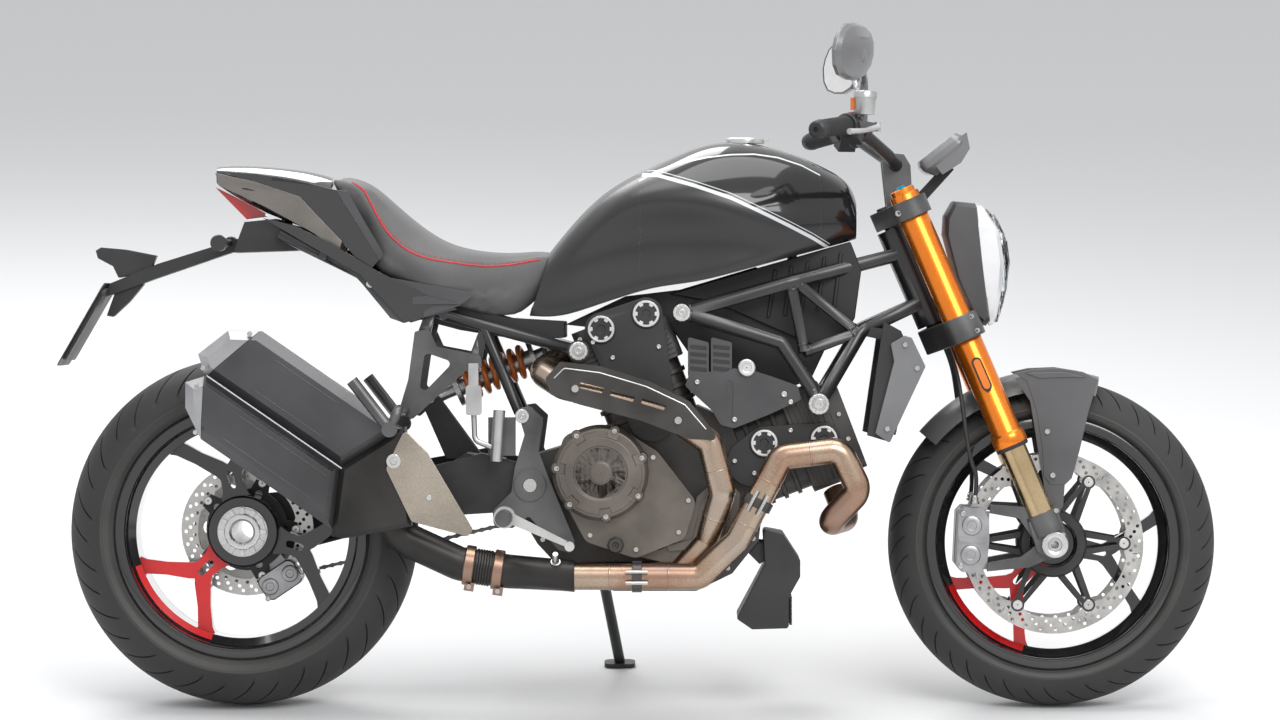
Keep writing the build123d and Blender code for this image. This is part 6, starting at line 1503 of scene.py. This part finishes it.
# ------------------------------------------------------------ radiator
# A finned core between two tanks behind the front wheel, with silver-grey
# covers on its ends, and an oil cooler below it.
finished("radiator", plain_black, "chassis", "satin_black_metal", edge=1.0)
finished("radiator_covers", mirror_grey, "chassis", "satin_black_plastic", edge=1.4)
core_tree, comes_in, goes_out = node_tree(
    "slat_row", [("Count", "NodeSocketInt"), ("Pitch", "NodeSocketVector"), ("Finish", "NodeSocketMaterial")]
)
row = core_tree.nodes.new("GeometryNodeMeshLine")
row.mode = "OFFSET"
slats = core_tree.nodes.new("GeometryNodeInstanceOnPoints")
real = core_tree.nodes.new("GeometryNodeRealizeInstances")
coat = core_tree.nodes.new("GeometryNodeSetMaterial")
wire(core_tree, (
    (comes_in.outputs["Count"], row.inputs["Count"]),
    (comes_in.outputs["Pitch"], row.inputs["Offset"]),
    (row.outputs[0], slats.inputs["Points"]),
    (comes_in.outputs["Mesh"], slats.inputs["Instance"]),
    (slats.outputs[0], real.inputs[0]),
    (real.outputs[0], coat.inputs[0]),
    (comes_in.outputs["Finish"], coat.inputs["Material"]),
    (coat.outputs[0], goes_out.inputs[0]),
))
CORE_FOOT, CORE_TOP = Vector((452, 0, 500)), Vector((488, 0, 672))
core_way = (CORE_TOP - CORE_FOOT).normalized()
core_out = Vector((core_way.z, 0, -core_way.x))
slat = [CORE_FOOT + core_way * 6 + core_out * d + Vector((0, y, 0)) + core_way * h
        for d in (-1, 0.8) for y, h in ((-146, 0), (146, 0), (146, 1.2), (-146, 1.2))]
slat_faces = [(0, 1, 2, 3), (7, 6, 5, 4), (0, 4, 5, 1), (2, 6, 7, 3), (1, 5, 6, 2), (0, 3, 7, 4)]
fin_metal = surface("fin_metal", (0.03, 0.03, 0.031), (0.09, 0.09, 0.092), (0.4, 0.55), metal=0.7, grain=800)
core = grown(slat, slat_faces, core_tree, Count=27, Pitch=tuple(core_way * 4.8), Finish=plain)
hang("radiator_fins", [(*core, 0)], [fin_metal], "chassis", "satin_black_metal")
cover_bolts = [(x, near * 184, z, RIGHTWARD * near, 5)
               for near in (1, -1) for x, z in ((468, 664), (490, 622), (436, 512))]
hang_screws("radiator_screws", cover_bolts, "chassis")
finished("oil_cooler", plain_black, "chassis", "matte_plastic", edge=2.0, rounds=3)
cooler_slat = [Vector((262 + d, y, 152 + h))
               for d in (-2, 3) for y, h in ((-92, 0), (92, 0), (92, 1.6), (-92, 1.6))]
cooler = grown(cooler_slat, slat_faces, core_tree, Count=12, Pitch=(0.0, 0.0, 4.4), Finish=plain)
hang("cooler_fins", [(*cooler, 0)], [fin_metal], "chassis", "matte_plastic")

# ------------------------------------------------------------ fuel tank
# Pressed steel, enamelled: gloss black above a silver stripe and satin black
# round the knees, with a thin silver line along its shoulder.
CAGE_LEVEL = 4


def caged(name, rows, level, body, slot, finishes, *nodes, creases=(), ends=0.8, paint=None):
    """A smooth closed body from a right-hand cage: rows of (x, right, z) from its top middle to its
    underside middle, mirrored to the left and subdivided."""
    columns = len(rows[0])
    loop = [[(x, -right, z) for x, right, z in row] for row in rows]
    loop += [[(x, right, z) for x, right, z in row] for row in reversed(rows[1:-1])]
    points = [loop[r][c] for c in range(columns) for r in range(len(loop))]
    count = len(loop)
    faces = grid(count, columns, closed_rows=True, closed_columns=False)
    faces += end_faces(count, columns)
    mesh = bpy.data.meshes.new(name)
    mesh.from_pydata(points, [], faces)
    sharp = mesh.attributes.new("crease_edge", "FLOAT", "EDGE")
    for edge in mesh.edges:
        (c1, r1), (c2, r2) = (divmod(v, count) for v in edge.vertices)
        if c1 == c2 and c1 in (0, columns - 1):
            sharp.data[edge.index].value = ends
        for row, amount in creases:
            if c1 != c2 and {r1, r2} <= {row, count - row}:
                sharp.data[edge.index].value = amount
    cage = put_in(name + "_cage", mesh)
    smooth = cage.modifiers.new("smooth", "SUBSURF")
    smooth.levels = smooth.render_levels = level
    made = bpy.data.meshes.new_from_object(worked_out(cage))
    bpy.data.objects.remove(cage)
    made.name = name
    face_outward(made)
    if paint:
        paint(made)
    made.transform(parked)
    made.shade_smooth()
    made.materials.clear()
    for finish in finishes:
        made.materials.append(finish)
    return declare(put_in(name, made), body, slot, *nodes)


TANK_TOP = [(-180, 832), (-138, 886), (-85, 940), (-31, 973), (38, 1005), (108, 1036), (174, 1038), (244, 1025),
            (318, 994), (372, 965), (384, 925)]
TANK_FOOT = [(-214, 716), (-165, 712), (-112, 729), (-50, 750), (14, 770), (87, 777), (150, 793), (215, 811),
             (290, 831), (350, 847), (383, 857)]
# half widths and heights, from under the deck edge down to over the foot
TANK_DECK = [40, 44, 50, 54, 58, 60, 60, 56, 46, 34, 28]
TANK_SHOULDER = [(70, 820), (82, 870), (92, 925), (98, 965), (104, 986), (110, 1006), (110, 1012), (102, 1002),
                 (86, 974), (64, 944), (50, 903)]
TANK_UPPER = [(86, 808), (98, 850), (112, 902), (126, 948), (140, 962), (150, 962), (152, 952), (144, 934),
              (118, 916), (84, 908), (62, 888)]
TANK_CREST = [(94, 792), (106, 826), (124, 880), (146, 922), (160, 928), (166, 918), (167, 906), (154, 888),
              (126, 886), (88, 888), (66, 878)]
TANK_TUCK = [(96, 775), (102, 798), (104, 838), (110, 868), (120, 884), (134, 886), (152, 880), (150, 866),
             (124, 868), (86, 876), (66, 870)]
TANK_KNEE = [(97, 752), (102, 770), (100, 798), (100, 818), (106, 828), (116, 832), (138, 840), (144, 838),
             (120, 850), (82, 864), (64, 864)]
TANK_LOW = [(98, 730), (108, 738), (116, 758), (120, 778), (126, 792), (136, 800), (146, 812), (142, 822),
            (116, 838), (78, 853), (60, 859)]
place_between = lambda z, c: TANK_TOP[c][0] + (TANK_FOOT[c][0] - TANK_TOP[c][0]) * (
    (TANK_TOP[c][1] - z) / (TANK_TOP[c][1] - TANK_FOOT[c][1])
) ** 1.2
row_at = lambda row: [(place_between(z, c), right, z) for c, (right, z) in enumerate(row)]
tank_rows = [
    [(x, 0, z) for x, z in TANK_TOP],
    [(x, TANK_DECK[c], z - 3) for c, (x, z) in enumerate(TANK_TOP)],
    *[row_at(row) for row in (TANK_SHOULDER, TANK_UPPER, TANK_CREST, TANK_TUCK, TANK_KNEE, TANK_LOW)],
    [(x, TANK_LOW[c][0] - 8, z) for c, (x, z) in enumerate(TANK_FOOT)],
    [(x, TANK_LOW[c][0] - 24, z + 4) for c, (x, z) in enumerate(TANK_FOOT)],
    [(x, 0, z + 14) for x, z in TANK_FOOT],
]
STRIPE = [(-10, 974), (19, 973), (88, 953), (153, 931), (217, 901), (260, 880), (303, 858), (336, 838)]
PINSTRIPE = [(-14, 962), (19, 981), (67, 996), (110, 1005), (153, 1010), (196, 1011), (239, 1005), (282, 991),
             (318, 972)]


def height_over(line, x, z):
    """Height of a point over a line in the side view."""
    return z - np.interp(x, [p[0] for p in line], [p[1] for p in line])


DECK_HALF, PINSTRIPE_FROM = 62, 20
GLOSS_ONLY, SATIN_ONLY = 400.0, -400.0


def paint_tank(mesh):
    """Write each point's height over the two lines, or a level far off them where no line runs."""
    places = np.zeros(len(mesh.vertices) * 3, np.float32)
    mesh.vertices.foreach_get("co", places)
    x, z = places[0::3], places[2::3]
    for label, line in (("over_stripe", STRIPE), ("over_pinstripe", PINSTRIPE)):
        level = mesh.attributes.new(label, "FLOAT", "POINT")
        over = height_over(line, x, z)
        beyond = (x < line[0][0]) | (x > line[-1][0])
        if label == "over_stripe":
            deck = np.abs(places[1::3]) < DECK_HALF
            over = np.where(beyond | deck, np.where(over > 0, GLOSS_ONLY, SATIN_ONLY), over)
        else:
            over = np.where(beyond | (np.abs(places[1::3]) < PINSTRIPE_FROM), GLOSS_ONLY, over)
        level.data.foreach_set("value", over.astype(np.float32))


BAND_BLUR = 0.25


def enamel(name, bands):
    """Enamel in bands: each is an attribute, its low and high limit, a colour and a roughness."""
    made = surface(name, (0.012, 0.012, 0.013), (0.02, 0.02, 0.021), (0.3, 0.36), grain=1800, relief=0.004, patch=5,
                   Coat_Weight=0.25, Coat_Roughness=0.3)
    nodes, links = made.node_tree.nodes, made.node_tree.links
    shade = nodes["Principled BSDF"]
    colour = shade.inputs["Base Color"].links[0].from_socket
    rough = shade.inputs["Roughness"].links[0].from_socket
    for label, low, high, paint, gloss in bands:
        read = nodes.new("ShaderNodeAttribute")
        read.attribute_name = label
        steps = []
        for limit, way in ((low, 1), (high, -1)):
            step = nodes.new("ShaderNodeMapRange")
            step.inputs["From Min"].default_value = limit - BAND_BLUR * way
            step.inputs["From Max"].default_value = limit + BAND_BLUR * way
            links.new(read.outputs["Fac"], step.inputs["Value"])
            steps.append(step.outputs["Result"])
        inside = nodes.new("ShaderNodeMath")
        inside.operation = "MULTIPLY"
        links.new(steps[0], inside.inputs[0])
        links.new(steps[1], inside.inputs[1])
        mix = nodes.new("ShaderNodeMix")
        mix.data_type = "RGBA"
        links.new(inside.outputs["Value"], mix.inputs["Factor"])
        links.new(colour, mix.inputs["A"])
        mix.inputs["B"].default_value = (*paint, 1)
        colour = mix.outputs["Result"]
        even = nodes.new("ShaderNodeMix")
        links.new(inside.outputs["Value"], even.inputs["Factor"])
        links.new(rough, even.inputs["A"])
        even.inputs["B"].default_value = gloss
        rough = even.outputs["Result"]
    links.new(colour, shade.inputs["Base Color"])
    links.new(rough, shade.inputs["Roughness"])
    return made


tank_enamel = enamel(
    "tank_enamel",
    [
        ("over_stripe", 0, 2000, (0.008, 0.008, 0.009), 0.06),
        ("over_stripe", -4, 3, (0.62, 0.63, 0.64), 0.25),
        ("over_stripe", 7, 8.6, (0.55, 0.56, 0.57), 0.25),
        ("over_pinstripe", -1.3, 1.3, (0.75, 0.76, 0.77), 0.2),
    ],
)
caged("tank_shell", tank_rows, CAGE_LEVEL, "chassis", "tank_black", [tank_enamel], "fuel_tank",
      creases=((8, 0.7), (2, 0.25), (4, 0.15)), paint=paint_tank)

# ------------------------------------------------------------ rider's seat
# Moulded foam under grained vinyl, sewn to a base. A red piping runs round the
# seam between its top and its sides.
SEAT_TOP = [(-578, 972), (-532, 967), (-500, 952), (-470, 925), (-424, 884), (-367, 843), (-297, 829), (-236, 827),
            (-184, 836), (-160, 831)]
SEAT_SEAM = [(72, -574, 969), (86, -520, 962), (100, -500, 918), (114, -470, 872), (124, -424, 832), (122, -367, 817),
             (108, -297, 811), (90, -236, 817), (72, -184, 831), (66, -160, 826)]
SEAT_FOOT = [(-520, 868), (-508, 836), (-496, 800), (-466, 786), (-420, 764), (-362, 740), (-297, 717), (-244, 712),
             (-212, 738), (-166, 788)]
seat_rows = [
    [(x, 0, z) for x, z in SEAT_TOP],
    [(0.5 * (x + seam_x), right * 0.6, z - 0.22 * (z - seam_z)) for (x, z), (right, seam_x, seam_z) in
     zip(SEAT_TOP, SEAT_SEAM)],
    [(x, right - 5, z + 2) for right, x, z in SEAT_SEAM],
    [(x, right + 1, z - 3) for right, x, z in SEAT_SEAM],
    *[[(x + share * (foot_x - x), right + out, z - share * (z - foot_z)) for (right, x, z), (foot_x, foot_z) in
       zip(SEAT_SEAM, SEAT_FOOT)] for share, out in ((0.3, 10), (0.7, 7))],
    *[[(x, right - tuck, z + rise) for (x, z), (right, _, _) in zip(SEAT_FOOT, SEAT_SEAM)]
      for tuck, rise in ((6, 0), (30, 6))],
    [(x, 0, z + 12) for x, z in SEAT_FOOT],
]
seat_vinyl = surface(
    "seat_vinyl", (0.06, 0.06, 0.061), (0.125, 0.123, 0.12), (0.55, 0.72), grain=900, relief=0.18, patch=8,
    Sheen_Weight=0.15, Sheen_Roughness=0.5,
)
seat = caged("padded_seat", seat_rows, CAGE_LEVEL, "chassis", "seat_leather", [seat_vinyl], "rider_seat",
             creases=((6, 0.6),), ends=0.5)
SWELL_CAP, NET_SIZE, PRESSURE, SWELL_FRAMES = 0.005, 0.006, 4.0, 20


def stuffed(piece):
    """Swell a pad with cloth pressure, each point by no more than a cap, less towards its base."""
    scene = bpy.context.scene
    form = put_in("stuffing", piece.data.copy())
    even = form.modifiers.new("even", "REMESH")
    even.mode, even.voxel_size = "VOXEL", NET_SIZE
    net = bpy.data.meshes.new_from_object(worked_out(form))
    form.modifiers.remove(even)
    form.data = net
    cloth = form.modifiers.new("cloth", "CLOTH")
    cloth.settings.use_pressure, cloth.settings.uniform_pressure_force = True, PRESSURE
    cloth.settings.effector_weights.gravity = 0.0
    for step in range(1, SWELL_FRAMES + 1):
        scene.frame_set(step)
    swollen = worked_out(form).to_mesh()
    rest, moved_to = np.zeros((2, len(net.vertices), 3), np.float32)
    net.vertices.foreach_get("co", rest.ravel())
    swollen.vertices.foreach_get("co", moved_to.ravel())
    scene.frame_set(1)
    form.modifiers.remove(cloth)
    shift = moved_to - rest
    length = np.linalg.norm(shift, axis=1, keepdims=True)
    low, high = rest[:, 2:].min(), rest[:, 2:].max()
    share = np.clip((rest[:, 2:] - low) / (high - low) * 3, 0, 1)
    shift *= share * np.minimum(1, SWELL_CAP / np.maximum(length, 1e-9))
    net.vertices.foreach_set("co", (rest + shift).ravel())
    round_off = form.modifiers.new("round_off", "SUBSURF")
    round_off.levels = round_off.render_levels = 1
    final = bpy.data.meshes.new_from_object(worked_out(form))
    final.name = "padded_seat"
    final.materials.clear()
    final.materials.append(seat_vinyl)
    final.shade_smooth()
    bpy.data.objects.remove(form)
    piece.data = final


stuffed(seat)


def smooth_route(points, per_leg=10):
    """A smooth curve through points, as a list of closely spaced points."""
    points = [Vector(p) for p in points]
    padded_out = [points[0] * 2 - points[1], *points, points[-1] * 2 - points[-2]]
    route = []
    for k in range(len(points) - 1):
        p0, p1, p2, p3 = padded_out[k : k + 4]
        for step in range(per_leg):
            t = step / per_leg
            route.append(0.5 * (2 * p1 + (p2 - p0) * t + (2 * p0 - 5 * p1 + 4 * p2 - p3) * t**2
                                + (3 * p1 - 3 * p2 + p3 - p0) * t**3))
    return route + [points[-1]]


# the piping lies in the seam, with one row of stitches beside it
PIPING = [(-534, 78, 978), (-512, 96, 958), (-497, 108, 922), (-474, 116, 874), (-440, 124, 842), (-398, 124, 824),
          (-340, 118, 816), (-290, 110, 812), (-236, 96, 818), (-196, 84, 828)]
unparked = parked.inverted()
seat_face = BVHTree.FromPolygons([v.co for v in seat.data.vertices], [f.vertices for f in seat.data.polygons])
sewn = []
for near in (1, -1):
    for shift, radius, stitch in ((0, 1.7, False), (-7, 0.8, True)):
        route = [Vector((x, -near * (right + shift), z + (6 if stitch else 0))) for x, right, z in PIPING]
        route = [unparked @ seat_face.find_nearest(parked @ p)[0] for p in smooth_route(route)]
        if not stitch:
            sewn.append((*tube_along(route, radius, 2, 8), 0))
        else:
            for k in range(0, len(route) - 1, 2):
                sewn.append((*tube_along(route[k : k + 2], radius, 1, 5), 0))
seat_red = surface("seat_red", (0.42, 0.012, 0.015), (0.6, 0.02, 0.025), (0.5, 0.65), grain=1500, relief=0.08)
hang("seat_piping", sewn, [seat_red], "chassis", "seat_leather")

# ------------------------------------------------------------ swingarm, shock
# A cast single-sided arm in satin black, a coil-over shock with an orange
# spring, and the rear caliper on its carrier.
finished("swingarm", cast_black, "chassis", "satin_black_metal", edge=3.0, rounds=3)
finished("swingarm_pin", bright_steel, "chassis", "bright_steel", edge=0.8)
finished("rear_shock", cast_silver, "chassis", "bright_aluminium", edge=0.8)
spring_orange = surface(
    "spring_orange", (0.6, 0.13, 0.012), (0.78, 0.2, 0.03), (0.28, 0.4), grain=700, relief=0.02, patch=8,
    Coat_Weight=0.5, Coat_Roughness=0.15,
)
SHOCK_LOW, SHOCK_HIGH = Vector((-400, 41, 561)), Vector((-180, 41, 653))
run = (SHOCK_HIGH - SHOCK_LOW).normalized()
sidelong = run.cross(LEFTWARD).normalized()
turns, around, steps = 7.6, 12, 210
coil_from, coil_to, coil_r, wire_r = 61.0, 195.0, 27.0, 5.3
coil = []
for k in range(steps + 1):
    share = k / steps
    angle = 2 * pi * turns * share
    flat = min(1.0, min(share, 1 - share) * 14)
    out = sidelong * cos(angle) + LEFTWARD * sin(angle)
    spot = SHOCK_LOW + run * (coil_from + (coil_to - coil_from) * share) + out * coil_r
    way = (LEFTWARD * cos(angle) - sidelong * sin(angle)).normalized()
    up = (run - way * run.dot(way)).normalized()
    coil += [spot + (out * cos(2 * pi * j / around) + up * sin(2 * pi * j / around)) * wire_r for j in range(around)]
coil_faces = grid(around, steps + 1, closed_rows=True, closed_columns=False)
coil_faces += end_faces(around, steps + 1)
hang("coil_spring", [(coil, coil_faces, 0)], [spring_orange], "chassis", "spring_yellow", "shock_spring")
SPRING_SEAT = [(0, 16), (0, 30), (0.6, 31), (2.6, 31), (3.2, 30), (3.2, 16)]
rings = [(*turned_on(SHOCK_LOW + run * s, run, SPRING_SEAT, 36), 0) for s in (50, 54.5, 202)]
rings += [(*bead(SHOCK_LOW, SHOCK_HIGH, (64 + k * 3.2) / 238.5, 16.4, 1.0), 0) for k in range(12)]
hang("shock_rings", rings, [nut_silver], "chassis", "bright_aluminium", edge=0.3)

finished("rear_caliper", caliper_silver, "chassis", "caliper_grey", edge=1.6, rounds=2)
caliper_turn = radians(-56)
rear_hub = Vector((REAR_X, 0, REAR_RADIUS))
out_way = Vector((cos(caliper_turn), 0, sin(caliper_turn)))
side_way = Vector((-out_way.z, 0, out_way.x))
PISTON_BOSS = [(-2, 0.5), (-2, 16), (3, 15.5), (4, 14), (4, 8), (3, 7), (3, 0.5)]
bosses = []
for b in (-22, 22):
    spot = rear_hub + out_way * 112 + side_way * b
    for right, way in ((-30, RIGHTWARD), (-86, LEFTWARD)):
        bosses.append((*turned_on((spot.x, -right, spot.z), way, PISTON_BOSS, 28), 0))
for b in (-38, 38):
    spot = rear_hub + out_way * 128 + side_way * b
    bosses.append((*screws([(spot.x, -30, spot.z, RIGHTWARD, 5)]), 1))
hang("rear_caliper_bosses", bosses, [caliper_silver, bright_steel], "chassis", "caliper_grey", edge=0.5)

# ------------------------------------------------------------ chain
# A roller chain: pins and rollers between plates, wide and narrow by turns,
# round the two sprockets on the left.
PITCH, CHAIN_Y = 15.875, 150.0
SMALL_TEETH, BIG_TEETH = 15, 41
SMALL, BIG = (PITCH / (2 * sin(pi / teeth)) for teeth in (SMALL_TEETH, BIG_TEETH))
front_hub = Vector((-128, 0, 398))
span = front_hub - rear_hub
slope = atan2(span.z, span.x)
wrap = asin((BIG - SMALL) / span.length)
straight = (span.length**2 - (BIG - SMALL) ** 2) ** 0.5
runs = [
    (straight, rear_hub, BIG, slope + pi / 2 - wrap, None),
    ((pi - 2 * wrap) * SMALL, front_hub, SMALL, slope + pi / 2 - wrap, -1),
    (straight, front_hub, SMALL, slope - pi / 2 + wrap, None),
    ((pi + 2 * wrap) * BIG, rear_hub, BIG, slope - pi / 2 + wrap, -1),
]
whole_run = sum(r[0] for r in runs)
link_count = 2 * round(whole_run / PITCH / 2)
chain_spots = []
for k in range(link_count):
    walked = (k + 0.5) * whole_run / link_count
    for length, hub, radius, angle, turn in runs:
        if walked > length:
            walked -= length
            continue
        if turn is None:
            out = Vector((cos(angle), 0, sin(angle)))
            way = Vector((out.z, 0, -out.x)).normalized()
            chain_spots.append((hub + out * radius + way * walked, way))
        else:
            here = angle + turn * walked / radius
            out = Vector((cos(here), 0, sin(here)))
            chain_spots.append((hub + out * radius, Vector((out.z, 0, -out.x))))
        break


def chain_link(outer):
    """One link about its own middle, its length along Z: two plates and its two rollers or pins."""
    half = PITCH / 2
    plate_in, plate_out = (6.3, 8.1) if outer else (4.2, 6.0)
    reach, r = (8.9, 2.4) if outer else (4.1, 4.6)
    waist = [(-3.6, -half), (-2.6, 0), (-3.6, half), (0, half + 3.8), (3.6, half), (2.6, 0), (3.6, -half),
             (0, -half - 3.8)]
    points = [(x, y, z) for sign in (1, -1) for y in (sign * plate_in, sign * plate_out) for x, z in waist]
    points += [(r * cos(pi * i / 4), y, z + r * sin(pi * i / 4))
               for z in (-half, half) for y in (-reach, reach) for i in range(8)]
    prism = end_faces(8, 2) + rows_of_faces(8, 1)
    return points, [tuple(start + i for i in face) for start in range(0, len(points), 16) for face in prism]


chain_steel = surface(
    "chain_steel", (0.12, 0.115, 0.11), (0.3, 0.29, 0.27), (0.3, 0.45), metal=1.0, grain=700, relief=0.02, patch=20
)
links = []
for outer in (True, False):
    link_mesh = bpy.data.meshes.new("link")
    link_points, link_faces = chain_link(outer)
    link_mesh.from_pydata(link_points, [], link_faces)
    link_piece = put_in("link", link_mesh)
    chosen = [s for i, s in enumerate(chain_spots) if i % 2 == outer]
    made = grown([spot + LEFTWARD * CHAIN_Y for spot, _ in chosen], [], screw_tree, Head=link_piece, Finish=plain,
                 attributes=[("facing", "FLOAT_VECTOR", [tuple(way) for _, way in chosen]),
                             ("size", "FLOAT", [1.0] * len(chosen))])
    links.append((*made, 0))
hang("roller_chain", links, [chain_steel], "chassis", "disc_steel", "chain")
finished("front_sprocket", disc_steel, "chassis", "disc_steel", edge=0.4)
finished("sprocket_cover", plain_black, "chassis", "matte_plastic", edge=1.8)

# ------------------------------------------------------------ footrests
# Cast brackets carry ribbed pegs, a forged brake lever with its pump and
# reservoir on the right, and a shift lever on the left.
finished("footrests", cast_grey, "chassis", "bright_aluminium", edge=1.2)
finished("foot_pedals", bobbin_silver, "chassis", "satin_black_metal", edge=1.0)
finished("passenger_hangers", cast_grey, "chassis", "satin_black_metal", edge=1.6)
finished("rear_brake_pump", cast_silver, "chassis", "matte_plastic", edge=0.8)
finished("side_stand", cast_black, "side_stand", "satin_black_metal", edge=1.6)

# ------------------------------------------------------------ tail
# Moulded cowl in gloss black with lower side panels, a red lamp under its
# tip, and a long plate hanger with indicators.
panel_bronze = surface(
    "panel_bronze", (0.2, 0.185, 0.17), (0.36, 0.33, 0.3), (0.26, 0.36), metal=0.8, grain=1200, relief=0.02, patch=6
)
tail_gloss = surface(
    "tail_gloss", (0.007, 0.007, 0.008), (0.012, 0.012, 0.013), (0.05, 0.09), grain=200, relief=0.004, Coat_Weight=1.0,
    Coat_Roughness=0.03,
)
red_lens = surface(
    "red_lens", (0.42, 0.004, 0.006), (0.62, 0.01, 0.012), (0.06, 0.12), grain=700, relief=0.15, Coat_Weight=1.0,
    Coat_Roughness=0.03,
)
finished("tail_panels", tail_gloss, "chassis", "tank_black", edge=1.0, smooth=24)
finished("tail_light", red_lens, "chassis", "red_lens", edge=1.0)
finished("plate_hanger", plain_black, "chassis", "matte_plastic", edge=1.2)
finished("fuel_cap", nut_silver, "fuel_cap", "bright_aluminium", edge=0.4)


def tail_side(x):
    """How far the tail's side stands out at a place along it."""
    return np.interp(x, (-790, -760, -700, -640, -578, -520, -344), (52, 66, 81, 93, 102, 110, 127))


def skin(outline, near, lift, thick=2.5):
    """A thin panel over the tail's side, following its taper."""
    points, faces = plate(outline, [], 0, 1, place=lambda a, b, right: (a, right, b))
    return [(x, -near * (tail_side(x) + lift + (thick if right else 0)), z) for x, right, z in points], faces


grey_panel = surface(
    "grey_panel", (0.05, 0.05, 0.052), (0.085, 0.085, 0.088), (0.3, 0.42), grain=1500, relief=0.015, patch=7
)
FACET = [(-784, 981), (-716, 976), (-639, 964), (-568, 946), (-518, 867), (-481, 827), (-508, 794), (-556, 852),
         (-606, 904), (-634, 934), (-719, 962)]
BRONZE = [(-792, 978), (-719, 962), (-634, 934), (-606, 904), (-556, 852), (-561, 832), (-608, 867), (-654, 892),
          (-701, 917), (-784, 954)]
SEAT_STRIP = [(-568, 946), (-546, 944), (-512, 884), (-479, 829), (-486, 817), (-518, 867)]
LOWER = [(-606, 868), (-565, 822), (-505, 792), (-400, 774), (-308, 757), (-342, 734), (-442, 703), (-467, 712),
         (-520, 776)]
CREASE = [(-557, 808), (-467, 737), (-342, 737), (-400, 752), (-458, 748), (-520, 790)]
tail_skins = []
for near in (1, -1):
    tail_skins += [(*skin(FACET, near, 0.4), 0), (*skin(BRONZE, near, 1.4), 1), (*skin(SEAT_STRIP, near, 1.8), 2),
                   (*skin(LOWER, near, -1.0, 4), 2), (*skin(CREASE, near, 2.0, 3), 2)]
tail_skins.append((*screws([(-503, near * 116, 775, RIGHTWARD * near, 8) for near in (1, -1)]), 3))
under_tail = [(-738, 888), (-679, 894), (-624, 847), (-640, 836), (-759, 832)]
tail_skins.append((*plate(under_tail, [], -60, 60), 4))
hang("tail_skins", tail_skins, [tail_gloss, panel_bronze, grey_panel, bobbin_silver, plain_black], "chassis",
     "matte_plastic", edge=0.8)

# indicators on their stalks, the plate's blank face and the lamp over it
stalk_lens = surface(
    "stalk_lens", (0.55, 0.5, 0.45), (0.72, 0.66, 0.6), (0.08, 0.16), grain=600, relief=0.1, Coat_Weight=0.8,
    Coat_Roughness=0.05,
)
STALK = [(-6, 0.5), (-6, 9), (0, 13), (14, 15), (22, 13), (22, 0.5)]
STALK_TIP = [(0, 0.5), (0, 12), (4, 10), (6, 5), (6, 0.5)]
hanger = []
for near in (1, -1):
    tip = Vector((-779, -near * 122, 849))
    hanger.append((*turned_on(tip, RIGHTWARD * near, STALK, 28), 0))
    hanger.append((*turned_on(tip + RIGHTWARD * near * 21, RIGHTWARD * near, STALK_TIP, 28), 1))
lamp_box = [(-1016, 836), (-1006, 842), (-960, 838), (-904, 827), (-916, 797), (-974, 786), (-984, 807), (-1012, 822)]
hanger.append((*plate(lamp_box, [], -16, 16), 0))
web = [(-974, 777), (-921, 790), (-929, 772), (-954, 742), (-984, 714), (-996, 716)]
hanger.append((*plate(web, [], -14, 14), 0))
hang("tail_fittings", hanger, [plain_black, stalk_lens], "chassis", "matte_plastic", edge=1.4)

# ------------------------------------------------------------ studio
# A wide flat floor and a pale surround, which mirrors and lenses see brighter,
# under broad soft lamps.
floor_mesh = bpy.data.meshes.new("floor")
floor_mesh.from_pydata([(60 * x, 60 * y, 0) for x, y in ((-1, -1), (1, -1), (1, 1), (-1, 1))], [], [(0, 1, 2, 3)])
floor = put_in("floor", floor_mesh)
floor.location.z = -0.0005
pale = bpy.data.materials.new("pale_floor")
pale.use_nodes = True
nodes, links = pale.node_tree.nodes, pale.node_tree.links
shade = nodes["Principled BSDF"]
shade.inputs["Base Color"].default_value = (0.78, 0.78, 0.78, 1)
shade.inputs["Roughness"].default_value = 0.6
floor_mesh.materials.append(pale)

world = bpy.data.worlds.new("studio")
bpy.context.scene.world = world
world.use_nodes = True
nodes, links = world.node_tree.nodes, world.node_tree.links
ray = nodes.new("ShaderNodeLightPath")
seen = nodes.new("ShaderNodeMix")
seen.data_type = "RGBA"
plain_view = ray.outputs["Is Camera Ray"]
for bounce in ("Is Glossy Ray", "Is Transmission Ray"):
    either = nodes.new("ShaderNodeMath")
    either.operation, either.use_clamp = "ADD", True
    links.new(plain_view, either.inputs[0])
    links.new(ray.outputs[bounce], either.inputs[1])
    plain_view = either.outputs["Value"]
links.new(plain_view, seen.inputs["Factor"])
seen.inputs["A"].default_value = (0.62, 0.63, 0.65, 1)
seen.inputs["B"].default_value = (0.92, 0.92, 0.92, 1)
links.new(seen.outputs["Result"], nodes["Background"].inputs["Color"])

for name, place, turn, size, watts in (
    ("key_lamp", (1.8, -3.6, 4.2), (40, 0, 20), (3.2, 2.2), 150),
    ("back_lamp", (-1.5, 3.4, 3.8), (-42, 0, -15), (3.0, 2.0), 110),
    ("top_lamp", (0.0, 0.0, 4.6), (0, 0, 0), (4.5, 2.2), 110),
):
    lamp = bpy.data.lights.new(name, "AREA")
    lamp.shape = "RECTANGLE"
    lamp.size, lamp.size_y = size
    lamp.energy = watts
    holder = put_in(name, lamp)
    holder.location = place
    holder.rotation_euler = [radians(a) for a in turn]

bpy.context.scene.view_settings.view_transform = "Standard"
